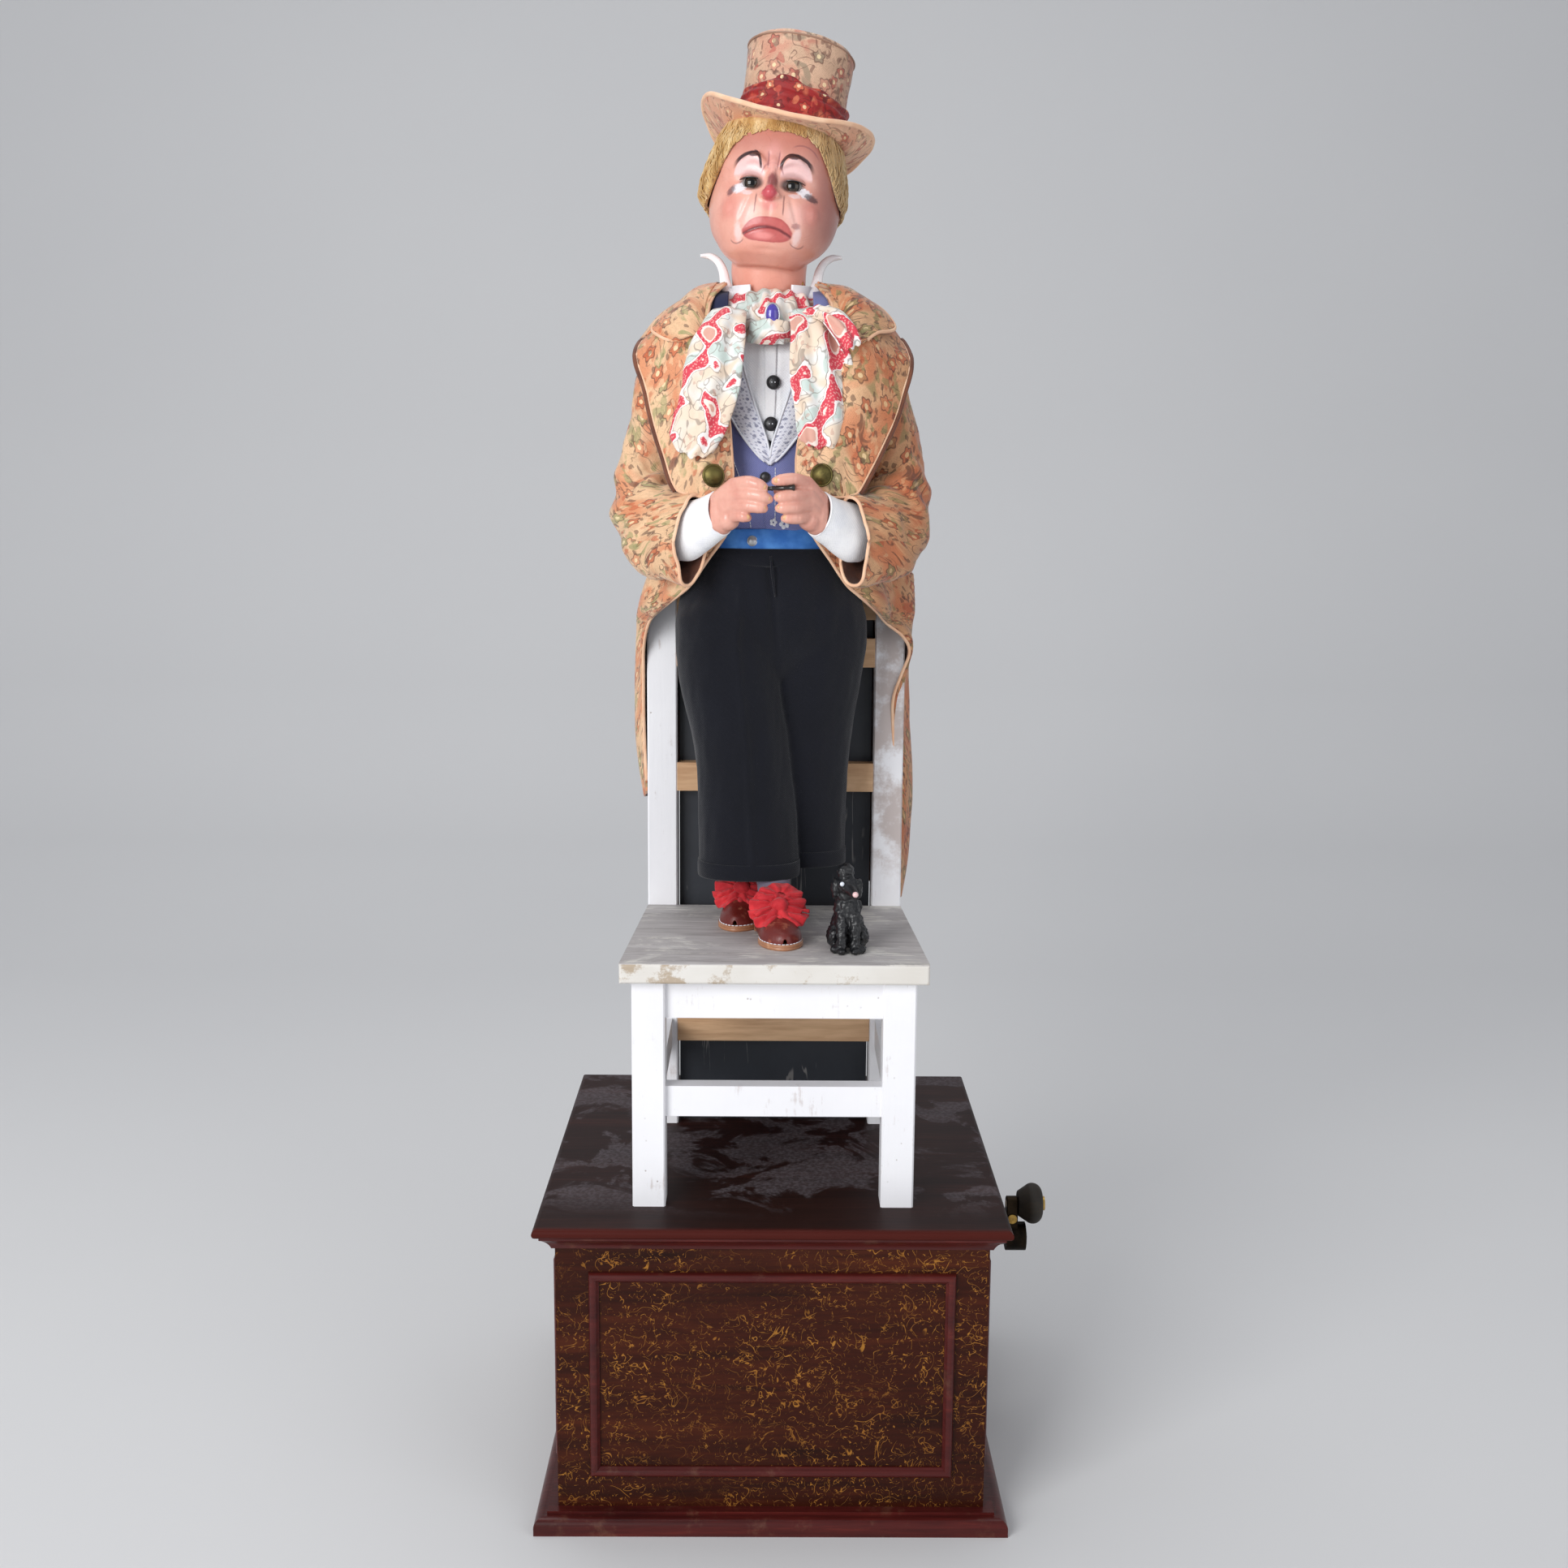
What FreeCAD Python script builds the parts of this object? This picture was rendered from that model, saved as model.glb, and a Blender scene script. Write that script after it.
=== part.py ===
"""Crank automaton: a clown stands on a small white chair, which stands on a mahogany case.

The case holds the gear train, three cams and three levers.  Three push rods run up a black
trunk behind the chair and move the head, the neck and the arms.
Frame: origin at the centre of the case's underside, X to the clown's left hand side as seen
from the front (right in front view), Y towards the back, Z up.  All sizes in millimetres.
"""

import FreeCAD
import Part
import math
import os
from FreeCAD import Vector as V

# ------------------------------------------------------------------ driving dimensions
# case
LID_W = 300.0            # the lid is square
LID_T = 6.5
CASE_W = 274.0           # outside of the walls, square
CASE_H = 199.0           # floor to the underside of the lid
WALL_T = 10.0
BOTTOM_T = 10.0
CORNICE_H = 10.0
CORNICE_OUT = 9.0
PLINTH_H = 12.5
PLINTH_OUT = 14.5
BEAD_W = 6.5
BEAD_OUT = 4.0
BEAD_SIDE = 21.0         # wall edge to the outside of the panel bead
BEAD_LOW = 34.0          # floor to the outside of the panel bead
BEAD_TOP = 26.5          # lid underside to the outside of the panel bead
SCREW_HEAD_R = 3.5
SCREW_R = 1.7
SCREW_L = 14.0
SCREW_IN = 24.0          # screws stand this far from the bottom board and the lid

# chair
LEG_T = 21.0             # square timber of legs and posts
CHAIR_W = 180.0          # outside of the legs
CHAIR_FRONT = -112.0     # Y of the front legs' front face
POST_FRONT = 40.0        # Y of the rear posts' front face
SEAT_UP = 163.0          # lid top to seat top
SEAT_T = 13.0
SEAT_FRONT_W = 194.0
SEAT_NOSE = 10.0         # seat overhang in front of the legs
POST_UP = 386.5          # lid top to post top
RAIL_T = 12.0
RAIL_SET = 5.0           # rails stand back from the leg faces
APRON_H = 26.0
STRETCHER_UP = 59.0
STRETCHER_H = 20.0
BATTENS_UP = (62.5, 245.5, 333.5)    # lid top to each free batten
BATTEN_H = 20.0
BATTEN_SET = 4.0         # the batten behind the seat stands this far below its top

# trunk behind the chair back
TRUNK_T = 3.0
TRUNK_DEPTH = 29.0
TRUNK_GAP = 1.0          # to each post
TRUNK_DROP = 9.0         # trunk top below the post tops

# drive
CRANK_UP = 137.5         # crank shaft above the floor
CRANK_Y = 0.0
CRANK_THROW = 24.5
CRANK_ARM_T = 8.0
CRANK_ARM_W = 13.0
CRANK_HUB_R = 10.0
CRANK_HUB_T = 14.0
CLAMP_UP = 15.0          # crank shaft to the clamp screw
CLAMP_R = 1.75
CLAMP_SLIT = 1.2
CRANK_STAND = 29.0       # case wall to the crank arm
SHAFT_R = 4.0
RUN_FIT = 0.05           # radial clearance of a running fit
BUSH_R = 7.0
BUSH_FLANGE_R = 11.0
BUSH_FLANGE_T = 2.5
KNOB_L = 17.0
KNOB_R = 14.0
KNOB_PIN_R = 2.5
MODULE = 1.5
PINION_TEETH = 18
WHEEL_TEETH = 45
PRESSURE_ANGLE = 20.0
BACKLASH = 0.16
GEAR_T = 8.0
PINION_T = 10.0
GEAR_X = 86.0            # inner face of the wheel

# bearing frame, cams and levers
PLATE_T = 8.0
PLATE_D = 150.0
PLATE_FOOT = 18.0
PLATE_LEFT = -48.0       # outer face of the left plate
PLATE_RIGHT = 74.0       # outer face of the right plate
CAM_T = 6.0
CAM_LIFT = (4.6, 1.4, 3.9)       # arms, nod, turn
CAM_LOBES = (1, 2, 1)
CAM_HUB_R = 8.0
TOE_R = 6.0
TOE_GAP = 0.3
PIVOT_Y = -62.0
LEVER_UP = 118.0         # lever pivot above the floor
LEVER_T = 4.0
LEVER_H = 9.0
LEVER_HUB_R = 7.0
LEVER_HUB_T = 10.0
ROD_Y = 66.0             # the rods' place in the trunk
ROD_R = 1.5
ROD_PITCH = 12.0
PAD_R = 4.5
PAD_T = 2.5
TOP_PAD_R = 3.4
LEVER_BAR = 3.2          # bars that a rod pushes from below
BOSS_R = 3.0
PUSH_GAP = 0.4           # gap between a rod's pad and what it pushes

# figure, heights above the seat
FIG_X = -5.0
HIP_UP = 221.5
TORSO_H = 180.0
CHANNEL_W = 48.0
CHANNEL_Y = -20.0
CHANNEL_ROOF = 8.0
ARM_AXLE_Y = 14.0
ARM_AXLE_UP = 373.5
ARM_AXLE_R = 3.0
ARM_AXLE_HALF = 76.0
ARM_LEVER = 24.0
BELL_ARM = 12.0          # horizontal arm of the bell crank
YAW_ARM = 20.0           # yaw arm and upright arm of the bell crank
BELL_UP = 369.5
BELL_T = 3.0
SPINDLE_R = 8.0
SPINDLE_BORE = 4.0
NECK_R = 23.0
NECK_BORE = 18.8
EAR_HALF = 2.4           # half depth of the spindle's two ears
NECK_GAP = 9.0           # torso top to the neck's lower edge
NOD_Y = -10.0
NOD_UP = 423.0
NOD_PIN_R = 1.5
CHIN_UP = 434.0
HEAD_H = 100.0
HAIR_T = 7.0
HAT_TILT = 10.0          # to the right
HAT_BACK = 8.0
HAT_UP = 512.5
HAT_X = 11.0             # hat to the side of the neck
HAT_R = 34.0
HAT_H = 61.0
BRIM_R = 55.0
BRIM_T = 3.0
CLOTH = 3.5
WAISTCOAT_T = 3.0
LAYER_GAP = 0.3
SHOULDER_HALF = 58.0     # coat side under the arms
SLEEVE_GAP = 0.5
COAT_OVER_POST = 6.0
TAIL_OUT = 9.0           # tails stand out from the posts
TAIL_DROP_LEFT = 157.0
TAIL_DROP_RIGHT = 230.0
BELT_W = 14.0
COLLAR_GAP = 4.0         # neck to collar
COLLAR_T = 1.6
COLLAR_H = 20.0
COAT_BUTTON_R = 7.5
SHIRT_BUTTON_R = 4.5
CUFF_R = 17.0
CUFF_T = 1.8
CUFF_L = 15.0
SHOE_L = 62.0
SHOE_W = 28.0
SHOE_H = 24.0
SOLE_T = 4.0
ANKLE_R = 9.5
HEM_UP = 38.0
DOG_H = 57.0

# ------------------------------------------------------------------ derived places
LID_TOP = CASE_H + LID_T
SEAT_TOP = LID_TOP + SEAT_UP
SEAT_LOW = SEAT_TOP - SEAT_T
POST_TOP = LID_TOP + POST_UP
POST_BACK = POST_FRONT + LEG_T
LEG_IN = CHAIR_W / 2 - LEG_T
WHEEL_R = MODULE * WHEEL_TEETH / 2
PINION_R = MODULE * PINION_TEETH / 2
CAM_UP = CRANK_UP - WHEEL_R - PINION_R
TOE_LOW = LEVER_UP - TOE_R
BATTEN_BACK = POST_FRONT + RAIL_T
TRUNK_TOP = POST_TOP - TRUNK_DROP
TRUNK_HALF = LEG_IN - TRUNK_GAP
HIP = SEAT_TOP + HIP_UP
TORSO_TOP = HIP + TORSO_H
ARM_AXLE = SEAT_TOP + ARM_AXLE_UP
BELL = SEAT_TOP + BELL_UP
YAW_ARM_UP = BELL + YAW_ARM
NOD = SEAT_TOP + NOD_UP
CHIN = SEAT_TOP + CHIN_UP
BELT_LOW = HIP + 30
COAT_LOW = POST_TOP + COAT_OVER_POST
TRUNK_BACK = BATTEN_BACK + TRUNK_DEPTH
FRONT_ANKLE = V(0, -40, SEAT_TOP + 24)
REAR_ANKLE = V(-19, 10, SEAT_TOP + 24)
LANES = {"arms": FIG_X + ROD_PITCH, "nod": FIG_X, "turn": FIG_X - ROD_PITCH}

PARTS = {}


# ------------------------------------------------------------------ small tools
def keep(name, *solids):
    """Files one node, as one solid or as a group of separate solids."""
    found = [s for shape in solids for s in shape.Solids]
    PARTS[name] = found[0] if len(found) == 1 else Part.makeCompound(found)


def block(x0, x1, y0, y1, z0, z1):
    return Part.makeBox(x1 - x0, y1 - y0, z1 - z0, V(x0, y0, z0))


def rod(start, end, r):
    return Part.makeCylinder(r, (end - start).Length, start, end - start)


def rod_x(x0, x1, y, z, r):
    return rod(V(x0, y, z), V(x1, y, z), r)


def ball(centre, r):
    return Part.makeSphere(r, centre)


def fuse(first, *rest):
    return first.multiFuse(list(rest)).removeSplitter() if rest else first


def outline(place, start, *steps):
    """A face from lines and arcs.  A step is a point, or (middle, end) of an arc."""
    edges, here = [], start
    for step in list(steps) + [start]:
        if isinstance(step[0], tuple):
            middle, end = step
            edges.append(Part.Arc(place(*here), place(*middle), place(*end)).toShape())
        else:
            end = step
            if end != here:
                edges.append(Part.LineSegment(place(*here), place(*end)).toShape())
        here = end
    return Part.Face(Part.Wire(edges))


def ring(cx, cy, z, rx, ry, square=2.0, sides=16):
    """A level polygon on an ellipse at square 2, nearer a rounded rectangle above it."""
    points = []
    for i in range(sides + 1):
        a = 2 * math.pi * (i + 0.5) / sides
        c, s = math.cos(a), math.sin(a)
        px = math.copysign(abs(c) ** (2 / square), c)
        py = math.copysign(abs(s) ** (2 / square), s)
        points.append(V(cx + rx * px, cy + ry * py, z))
    return Part.makePolygon(points)


def loft(sections, grow=0.0, sides=16):
    """A faceted solid through (cx, cy, z, rx, ry[, square]) sections, each grown by grow."""
    wires = []
    for cx, cy, z, rx, ry, *square in sections:
        wires.append(ring(cx, cy, z, rx + grow, ry + grow, *(square or [2.0]), sides))
    return Part.makeLoft(wires, True, True)


def limb(points, radii, sides=12, tip=0.5):
    """A faceted tube along points, closed by a narrower ring beyond each end."""
    count = len(points)
    spine = [points[0] - (points[1] - points[0]).normalize() * radii[0] * tip] + list(points)
    spine.append(points[-1] + (points[-1] - points[-2]).normalize() * radii[-1] * tip)
    sizes = [radii[0] * (1 - 0.4 * tip)] + list(radii) + [radii[-1] * (1 - 0.4 * tip)]
    wires = []
    for i, (centre, r) in enumerate(zip(spine, sizes)):
        along = spine[min(i + 1, count + 1)] - spine[max(i - 1, 0)]
        along.normalize()
        flat = V(1, 0, 0) if abs(along.x) < 0.8 else V(0, 1, 0)
        u = along.cross(flat).normalize()
        v = along.cross(u)
        turns = [2 * math.pi * (k + 0.5) / sides for k in range(sides + 1)]
        points = [centre + u * (r * math.cos(t)) + v * (r * math.sin(t)) for t in turns]
        wires.append(Part.makePolygon(points))
    return Part.makeLoft(wires, True, True)


def pebble(centre, rx, ry, rz, sides=12):
    """A faceted egg."""
    rows = (-1.0, -0.84, -0.46, 0.0, 0.46, 0.84, 1.0)
    level = []
    for t in rows:
        wide = max(math.sqrt(1 - t * t), 0.3)
        level.append((centre.x, centre.y, centre.z + t * rz, rx * wide, ry * wide))
    return loft(level, sides=sides)


def mitred_side(half_along, half_across, low, high, reach, *path):
    """One mitred length of a moulding on the -Y side; path is (out, up) from the frame's edge."""
    def place(out, up):
        return V(-half_along - reach, -half_across - out, up)

    bar = outline(place, *path).extrude(V(2 * (half_along + reach), 0, 0))
    far = reach + 1
    mitre = outline(
        lambda x, y: V(x, y, low - 1),
        (-half_along - far, -half_across - far),
        (half_along + far, -half_across - far),
        (half_along, -half_across),
        (-half_along, -half_across),
    ).extrude(V(0, 0, high - low + 2))
    return bar.common(mitre)


def mitred_frame(half_x, half_y, low, high, reach, *path):
    """Four mitred lengths round a rectangle in the XY plane."""
    sides = []
    for turn, along, across in ((0, half_x, half_y), (90, half_y, half_x)):
        side = mitred_side(along, across, low, high, reach, *path)
        for half_turn in (0, 180):
            copy = side.copy()
            copy.rotate(V(0, 0, 0), V(0, 0, 1), turn + half_turn)
            sides.append(copy)
    return sides


# ------------------------------------------------------------------ case
def make_case():
    half, inner = CASE_W / 2, CASE_W / 2 - WALL_T
    keep("bottom_board", block(-inner, inner, -inner, inner, 0, BOTTOM_T))
    keep("front_panel", block(-half, half, -half, -inner, 0, CASE_H))
    keep("left_panel", block(-half, -inner, -inner, inner, 0, CASE_H))
    bore = rod_x(inner - 1, half + 1, CRANK_Y, CRANK_UP, BUSH_R)
    keep("right_panel", block(inner, half, -inner, inner, 0, CASE_H).cut(bore))
    screws, holes = case_screws(half, inner)
    back = block(-half, half, inner, half, 0, CASE_H)
    keep("back_panel", back.cut(holes))
    keep("left_panel", PARTS["left_panel"].cut(holes))
    keep("right_panel", PARTS["right_panel"].cut(holes))
    keep("cabinet_screws", *screws)

    edge = LID_T / 2 - 0.01
    lid = block(-LID_W / 2, LID_W / 2, -LID_W / 2, LID_W / 2, CASE_H, LID_TOP)
    rims = [e for e in lid.Edges if abs(e.BoundBox.ZLength) < 0.01]
    lid = lid.makeFillet(edge, rims)
    slot_x = 2 * ROD_PITCH
    slot = block(FIG_X - slot_x, FIG_X + slot_x, ROD_Y - 2 * PAD_R, ROD_Y + 2 * PAD_R,
                 CASE_H - 1, LID_TOP + 1)
    keep("lid", lid.cut(slot))

    low = CASE_H - CORNICE_H
    nose = 2.0
    keep("cornice", *mitred_frame(
        half, half, low, CASE_H, CORNICE_OUT,
        (0, low), (nose, low),
        ((0.45 * CORNICE_OUT, CASE_H - 0.62 * CORNICE_H), (CORNICE_OUT, CASE_H - nose)),
        (CORNICE_OUT, CASE_H), (0, CASE_H)))
    step = 0.45 * PLINTH_OUT
    keep("plinth", *mitred_frame(
        half, half, 0, PLINTH_H, PLINTH_OUT,
        (0, 0), (PLINTH_OUT, 0), (PLINTH_OUT, 0.45 * PLINTH_H),
        ((0.86 * PLINTH_OUT, 0.76 * PLINTH_H), (step + nose, PLINTH_H - nose)),
        (step, PLINTH_H - nose), (step, PLINTH_H), (0, PLINTH_H)))
    keep("panel_beads", *panel_beads(half))


def case_screws(half, inner):
    """Countersunk screws that hold the removable back panel to the side walls."""
    screws = []
    for x in (-(half + inner) / 2, (half + inner) / 2):
        for z in (BOTTOM_T + SCREW_IN, CASE_H - SCREW_IN):
            head = Part.makeCone(SCREW_HEAD_R, SCREW_R, 2.0, V(x, half, z), V(0, -1, 0))
            stem = rod(V(x, half, z), V(x, half - SCREW_L, z), SCREW_R)
            slot = block(x - SCREW_HEAD_R, x + SCREW_HEAD_R, half - 0.7, half + 1, z - 0.4, z + 0.4)
            screws.append((head.fuse(stem), slot))
    holes = fuse(*[s for s, _ in screws])
    return [s.cut(slot) for s, slot in screws], holes


def panel_beads(half):
    """A rounded picture-frame bead on the front and on both sides."""
    width = CASE_W - 2 * BEAD_SIDE - 2 * BEAD_W
    height = CASE_H - BEAD_LOW - BEAD_TOP - 2 * BEAD_W
    middle = BEAD_LOW + BEAD_W + height / 2
    frame = mitred_frame(
        width / 2, height / 2, 0, BEAD_OUT, BEAD_W,
        (0, 0), (BEAD_W, 0), (BEAD_W, 0.3 * BEAD_OUT),
        ((0.5 * BEAD_W, BEAD_OUT), (0.18 * BEAD_W, 0.62 * BEAD_OUT)),
        (0, 0.3 * BEAD_OUT))
    beads = []
    for side in frame:
        side.rotate(V(0, 0, 0), V(1, 0, 0), 90)
        side.translate(V(0, -half, middle))
        for turn in (0, 90, 270):
            copy = side.copy()
            copy.rotate(V(0, 0, 0), V(0, 0, 1), turn)
            beads.append(copy)
    holder = rod_x(half - 1, half + BEAD_OUT + 1, CRANK_Y, CRANK_UP, BUSH_FLANGE_R + 1)
    return [b.cut(holder) for b in beads]


# ------------------------------------------------------------------ chair
def make_chair():
    out, front_back = CHAIR_W / 2, CHAIR_FRONT + LEG_T
    ease = 1.0
    legs, posts = [], []
    for side in (-1, 1):
        x0, x1 = sorted((side * LEG_IN, side * out))
        leg = block(x0, x1, CHAIR_FRONT, front_back, LID_TOP, SEAT_LOW)
        legs.append(leg.makeChamfer(ease, upright_edges(leg)))
        post = block(x0, x1, POST_FRONT, POST_BACK, LID_TOP, POST_TOP)
        posts.append(post.makeChamfer(ease, upright_edges(post)))
    keep("front_legs", *legs)
    keep("rear_posts", *posts)

    nose, rear = SEAT_FRONT_W / 2, CHAIR_W / 2
    seat = outline(
        lambda x, y: V(x, y, SEAT_LOW),
        (-nose, CHAIR_FRONT - SEAT_NOSE), (nose, CHAIR_FRONT - SEAT_NOSE),
        (rear, POST_FRONT), (-rear, POST_FRONT)).extrude(V(0, 0, SEAT_T))
    front_edges = [e for e in seat.Edges if e.BoundBox.YMax < POST_FRONT - 1]
    keep("seat", seat.makeFillet(1.8, front_edges))

    low, high = LID_TOP + STRETCHER_UP, LID_TOP + STRETCHER_UP + STRETCHER_H
    apron_low = SEAT_LOW - APRON_H
    y0 = CHAIR_FRONT + RAIL_SET
    x_in = out - RAIL_SET - RAIL_T
    rails = [block(-LEG_IN, LEG_IN, y0, y0 + RAIL_T, apron_low, SEAT_LOW),
             block(-LEG_IN, LEG_IN, y0, y0 + RAIL_T, low, high)]
    for side in (-1, 1):
        x0, x1 = sorted((side * x_in, side * (x_in + RAIL_T)))
        rails.append(block(x0, x1, front_back, POST_FRONT, apron_low, SEAT_LOW))
        rails.append(block(x0, x1, front_back, POST_FRONT, low, high))
    keep("chair_rails", *rails)

    lows = [LID_TOP + up for up in BATTENS_UP] + [SEAT_TOP - BATTEN_SET - BATTEN_H, POST_TOP - BATTEN_H]
    keep("back_battens", *[block(-LEG_IN, LEG_IN, POST_FRONT, BATTEN_BACK, z, z + BATTEN_H) for z in lows])


def upright_edges(shape):
    return [e for e in shape.Edges if e.BoundBox.ZLength > 5]


# ------------------------------------------------------------------ trunk
def make_trunk():
    y0, y1 = BATTEN_BACK, BATTEN_BACK + TRUNK_DEPTH
    shell = block(-TRUNK_HALF, TRUNK_HALF, y0, y1 - TRUNK_T, LID_TOP, TRUNK_TOP)
    hollow = block(-TRUNK_HALF + TRUNK_T, TRUNK_HALF - TRUNK_T, y0 + TRUNK_T, y1, LID_TOP - 1,
                   TRUNK_TOP - TRUNK_T)
    mouth_x = 2 * ROD_PITCH
    mouth = block(FIG_X - mouth_x, FIG_X + mouth_x, ROD_Y - 2 * PAD_R, y1, TRUNK_TOP - 2 * TRUNK_T,
                  TRUNK_TOP + 1)
    keep("rod_trunk", shell.cut(hollow).cut(mouth))
    keep("trunk_cover", block(-TRUNK_HALF, TRUNK_HALF, y1 - TRUNK_T, y1, LID_TOP, TRUNK_TOP))


# ------------------------------------------------------------------ gears, crank and cams
def involute_gear(teeth, y, z, x0, width, first):
    """A spur gear on an X axis with a tooth centred at angle first, in the YZ plane."""
    pitch = MODULE * teeth / 2
    base = pitch * math.cos(math.radians(PRESSURE_ANGLE))
    tip, root = pitch + MODULE, pitch - 1.25 * MODULE
    lean = math.tan(math.radians(PRESSURE_ANGLE)) - math.radians(PRESSURE_ANGLE)
    half_tooth = (math.pi * MODULE / 2 - BACKLASH) / 2 / pitch + lean

    def flank(r):
        """Half the tooth's angle at radius r."""
        if r <= base:
            return half_tooth
        press = math.acos(base / r)
        return half_tooth - (math.tan(press) - press)

    def at(r, a):
        return V(x0, y + r * math.cos(a), z + r * math.sin(a))

    low = max(base, root)
    middle = (low + tip) / 2
    edges = []
    for i in range(teeth):
        a = first + 2 * math.pi * i / teeth
        rise = [at(r, a - flank(r)) for r in (root, low, middle, tip)]
        fall = [at(r, a + flank(r)) for r in (tip, middle, low, root)]
        if low > root:
            edges.append(Part.LineSegment(rise[0], rise[1]).toShape())
        edges.append(Part.Arc(rise[1], rise[2], rise[3]).toShape())
        edges.append(Part.Arc(rise[3], at(tip, a), fall[0]).toShape())
        edges.append(Part.Arc(fall[0], fall[1], fall[2]).toShape())
        if low > root:
            edges.append(Part.LineSegment(fall[2], fall[3]).toShape())
        after = a + 2 * math.pi / teeth
        end = at(root, after - flank(root))
        edges.append(Part.Arc(fall[3], at(root, a + math.pi / teeth), end).toShape())
    return Part.Face(Part.Wire(edges)).extrude(V(width, 0, 0))


def make_drive():
    half, inner = CASE_W / 2, CASE_W / 2 - WALL_T
    arm_x = half + CRANK_STAND
    end_x = arm_x + CRANK_ARM_T
    stub = 3.0
    plate_in = PLATE_RIGHT - PLATE_T
    bush = rod_x(inner - stub, half, CRANK_Y, CRANK_UP, BUSH_R)
    flange = rod_x(half, half + BUSH_FLANGE_T, CRANK_Y, CRANK_UP, BUSH_FLANGE_R)
    bore = rod_x(inner - 2 * stub, half + 2 * stub, CRANK_Y, CRANK_UP, SHAFT_R + RUN_FIT)
    PARTS["bushes"] = [bush.fuse(flange).removeSplitter().cut(bore)]

    shaft = rod_x(plate_in - stub, arm_x + CRANK_HUB_T + 1, CRANK_Y, CRANK_UP, SHAFT_R)
    collar = rod_x(arm_x - 3 * stub, arm_x, CRANK_Y, CRANK_UP, SHAFT_R + 2)
    keep("crank_shaft", shaft.fuse(collar).removeSplitter())

    pinion = involute_gear(PINION_TEETH, CRANK_Y, CRANK_UP, GEAR_X - 1, PINION_T, -math.pi / 2)
    pinion_hub = rod_x(GEAR_X - 1 + PINION_T, GEAR_X + PINION_T + 5, CRANK_Y, CRANK_UP, 0.66 * PINION_R)
    hole = rod_x(GEAR_X - 5, GEAR_X + 2 * PINION_T, CRANK_Y, CRANK_UP, SHAFT_R)
    keep("pinion", fuse(pinion, pinion_hub).cut(hole))
    make_crank(arm_x, end_x)

    wheel = involute_gear(WHEEL_TEETH, CRANK_Y, CAM_UP, GEAR_X, GEAR_T,
                          math.pi / 2 + math.pi / WHEEL_TEETH)
    hub_r, rim_r = CAM_HUB_R, WHEEL_R - 3 * MODULE
    spokes = 5
    web = rod_x(GEAR_X - 1, GEAR_X + GEAR_T + 1, CRANK_Y, CAM_UP, rim_r)
    web = web.cut(rod_x(GEAR_X - 2, GEAR_X + GEAR_T + 2, CRANK_Y, CAM_UP, hub_r))
    spoke_w = 5.0
    for i in range(spokes):
        bar = block(GEAR_X - 2, GEAR_X + GEAR_T + 2, -spoke_w / 2, spoke_w / 2, 0, WHEEL_R)
        bar.rotate(V(0, 0, 0), V(1, 0, 0), 360 * i / spokes)
        bar.translate(V(0, CRANK_Y, CAM_UP))
        web = web.cut(bar)
    hole = rod_x(GEAR_X - 1, GEAR_X + GEAR_T + 1, CRANK_Y, CAM_UP, SHAFT_R)
    keep("cam_wheel", wheel.cut(web).cut(hole))
    keep("camshaft", rod_x(PLATE_LEFT - stub, GEAR_X + GEAR_T + stub, CRANK_Y, CAM_UP, SHAFT_R))


def make_crank(arm_x, end_x):
    """Cast arm with a hub, slit above the shaft and clamped by a cross screw; a pinned free knob."""
    y, z = CRANK_Y, CRANK_UP
    knob_z = z + CRANK_THROW
    r = CRANK_ARM_W / 2
    arm = outline(
        lambda u, v: V(arm_x, y + u, v),
        (-r, z), ((0, z - r), (r, z)), (0.8 * r, knob_z), ((0, knob_z + 0.8 * r), (-0.8 * r, knob_z)),
    ).extrude(V(CRANK_ARM_T, 0, 0))
    arm = arm.makeChamfer(0.6, [e for e in arm.Edges if e.BoundBox.XLength < 0.01])
    hub_end = arm_x + CRANK_HUB_T
    arm = fuse(arm, rod_x(arm_x, hub_end, y, z, CRANK_HUB_R))
    arm = arm.cut(rod_x(arm_x - 1, hub_end + 1, y, z, SHAFT_R))
    arm = arm.cut(rod_x(arm_x - 1, end_x + 1, y, knob_z, KNOB_PIN_R))
    arm = arm.cut(block(arm_x - 1, hub_end + 1, y - CLAMP_SLIT / 2, y + CLAMP_SLIT / 2,
                        z, z + CLAMP_UP + 2 * CLAMP_R))
    clamp_x, clamp_z = arm_x + CRANK_ARM_T / 2, z + CLAMP_UP

    def clamp_rod(front, back, radius):
        return rod(V(clamp_x, y + front, clamp_z), V(clamp_x, y + back, clamp_z), radius)

    head_r, under_head = 1.9 * CLAMP_R, -0.65 * r
    arm = arm.cut(clamp_rod(-2 * r, under_head, head_r)).cut(clamp_rod(-2 * r, 2 * r, CLAMP_R))
    clamp = clamp_rod(-r, 0.8 * r, CLAMP_R).fuse(clamp_rod(-r, under_head, head_r))
    keep("crank_arm", arm)

    gap = 0.3
    knob_x = end_x + gap
    pin = rod_x(arm_x, knob_x + KNOB_L + gap, y, knob_z, KNOB_PIN_R)
    cap = rod_x(knob_x + KNOB_L + gap, knob_x + KNOB_L + gap + 1.5, y, knob_z, 2 * KNOB_PIN_R)
    keep("crank_fasteners", clamp.removeSplitter(), pin.fuse(cap).removeSplitter())

    neck = 0.62 * KNOB_R
    knob = outline(
        lambda u, v: V(knob_x + u, y, knob_z + v),
        (0, KNOB_PIN_R + RUN_FIT), (0, neck), (0.35 * KNOB_L, 0.9 * KNOB_R),
        ((0.7 * KNOB_L, KNOB_R), (KNOB_L, 0.6 * KNOB_R)), (KNOB_L, KNOB_PIN_R + RUN_FIT))
    keep("crank_knob", knob.revolve(V(0, y, knob_z), V(1, 0, 0), 360))


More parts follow.
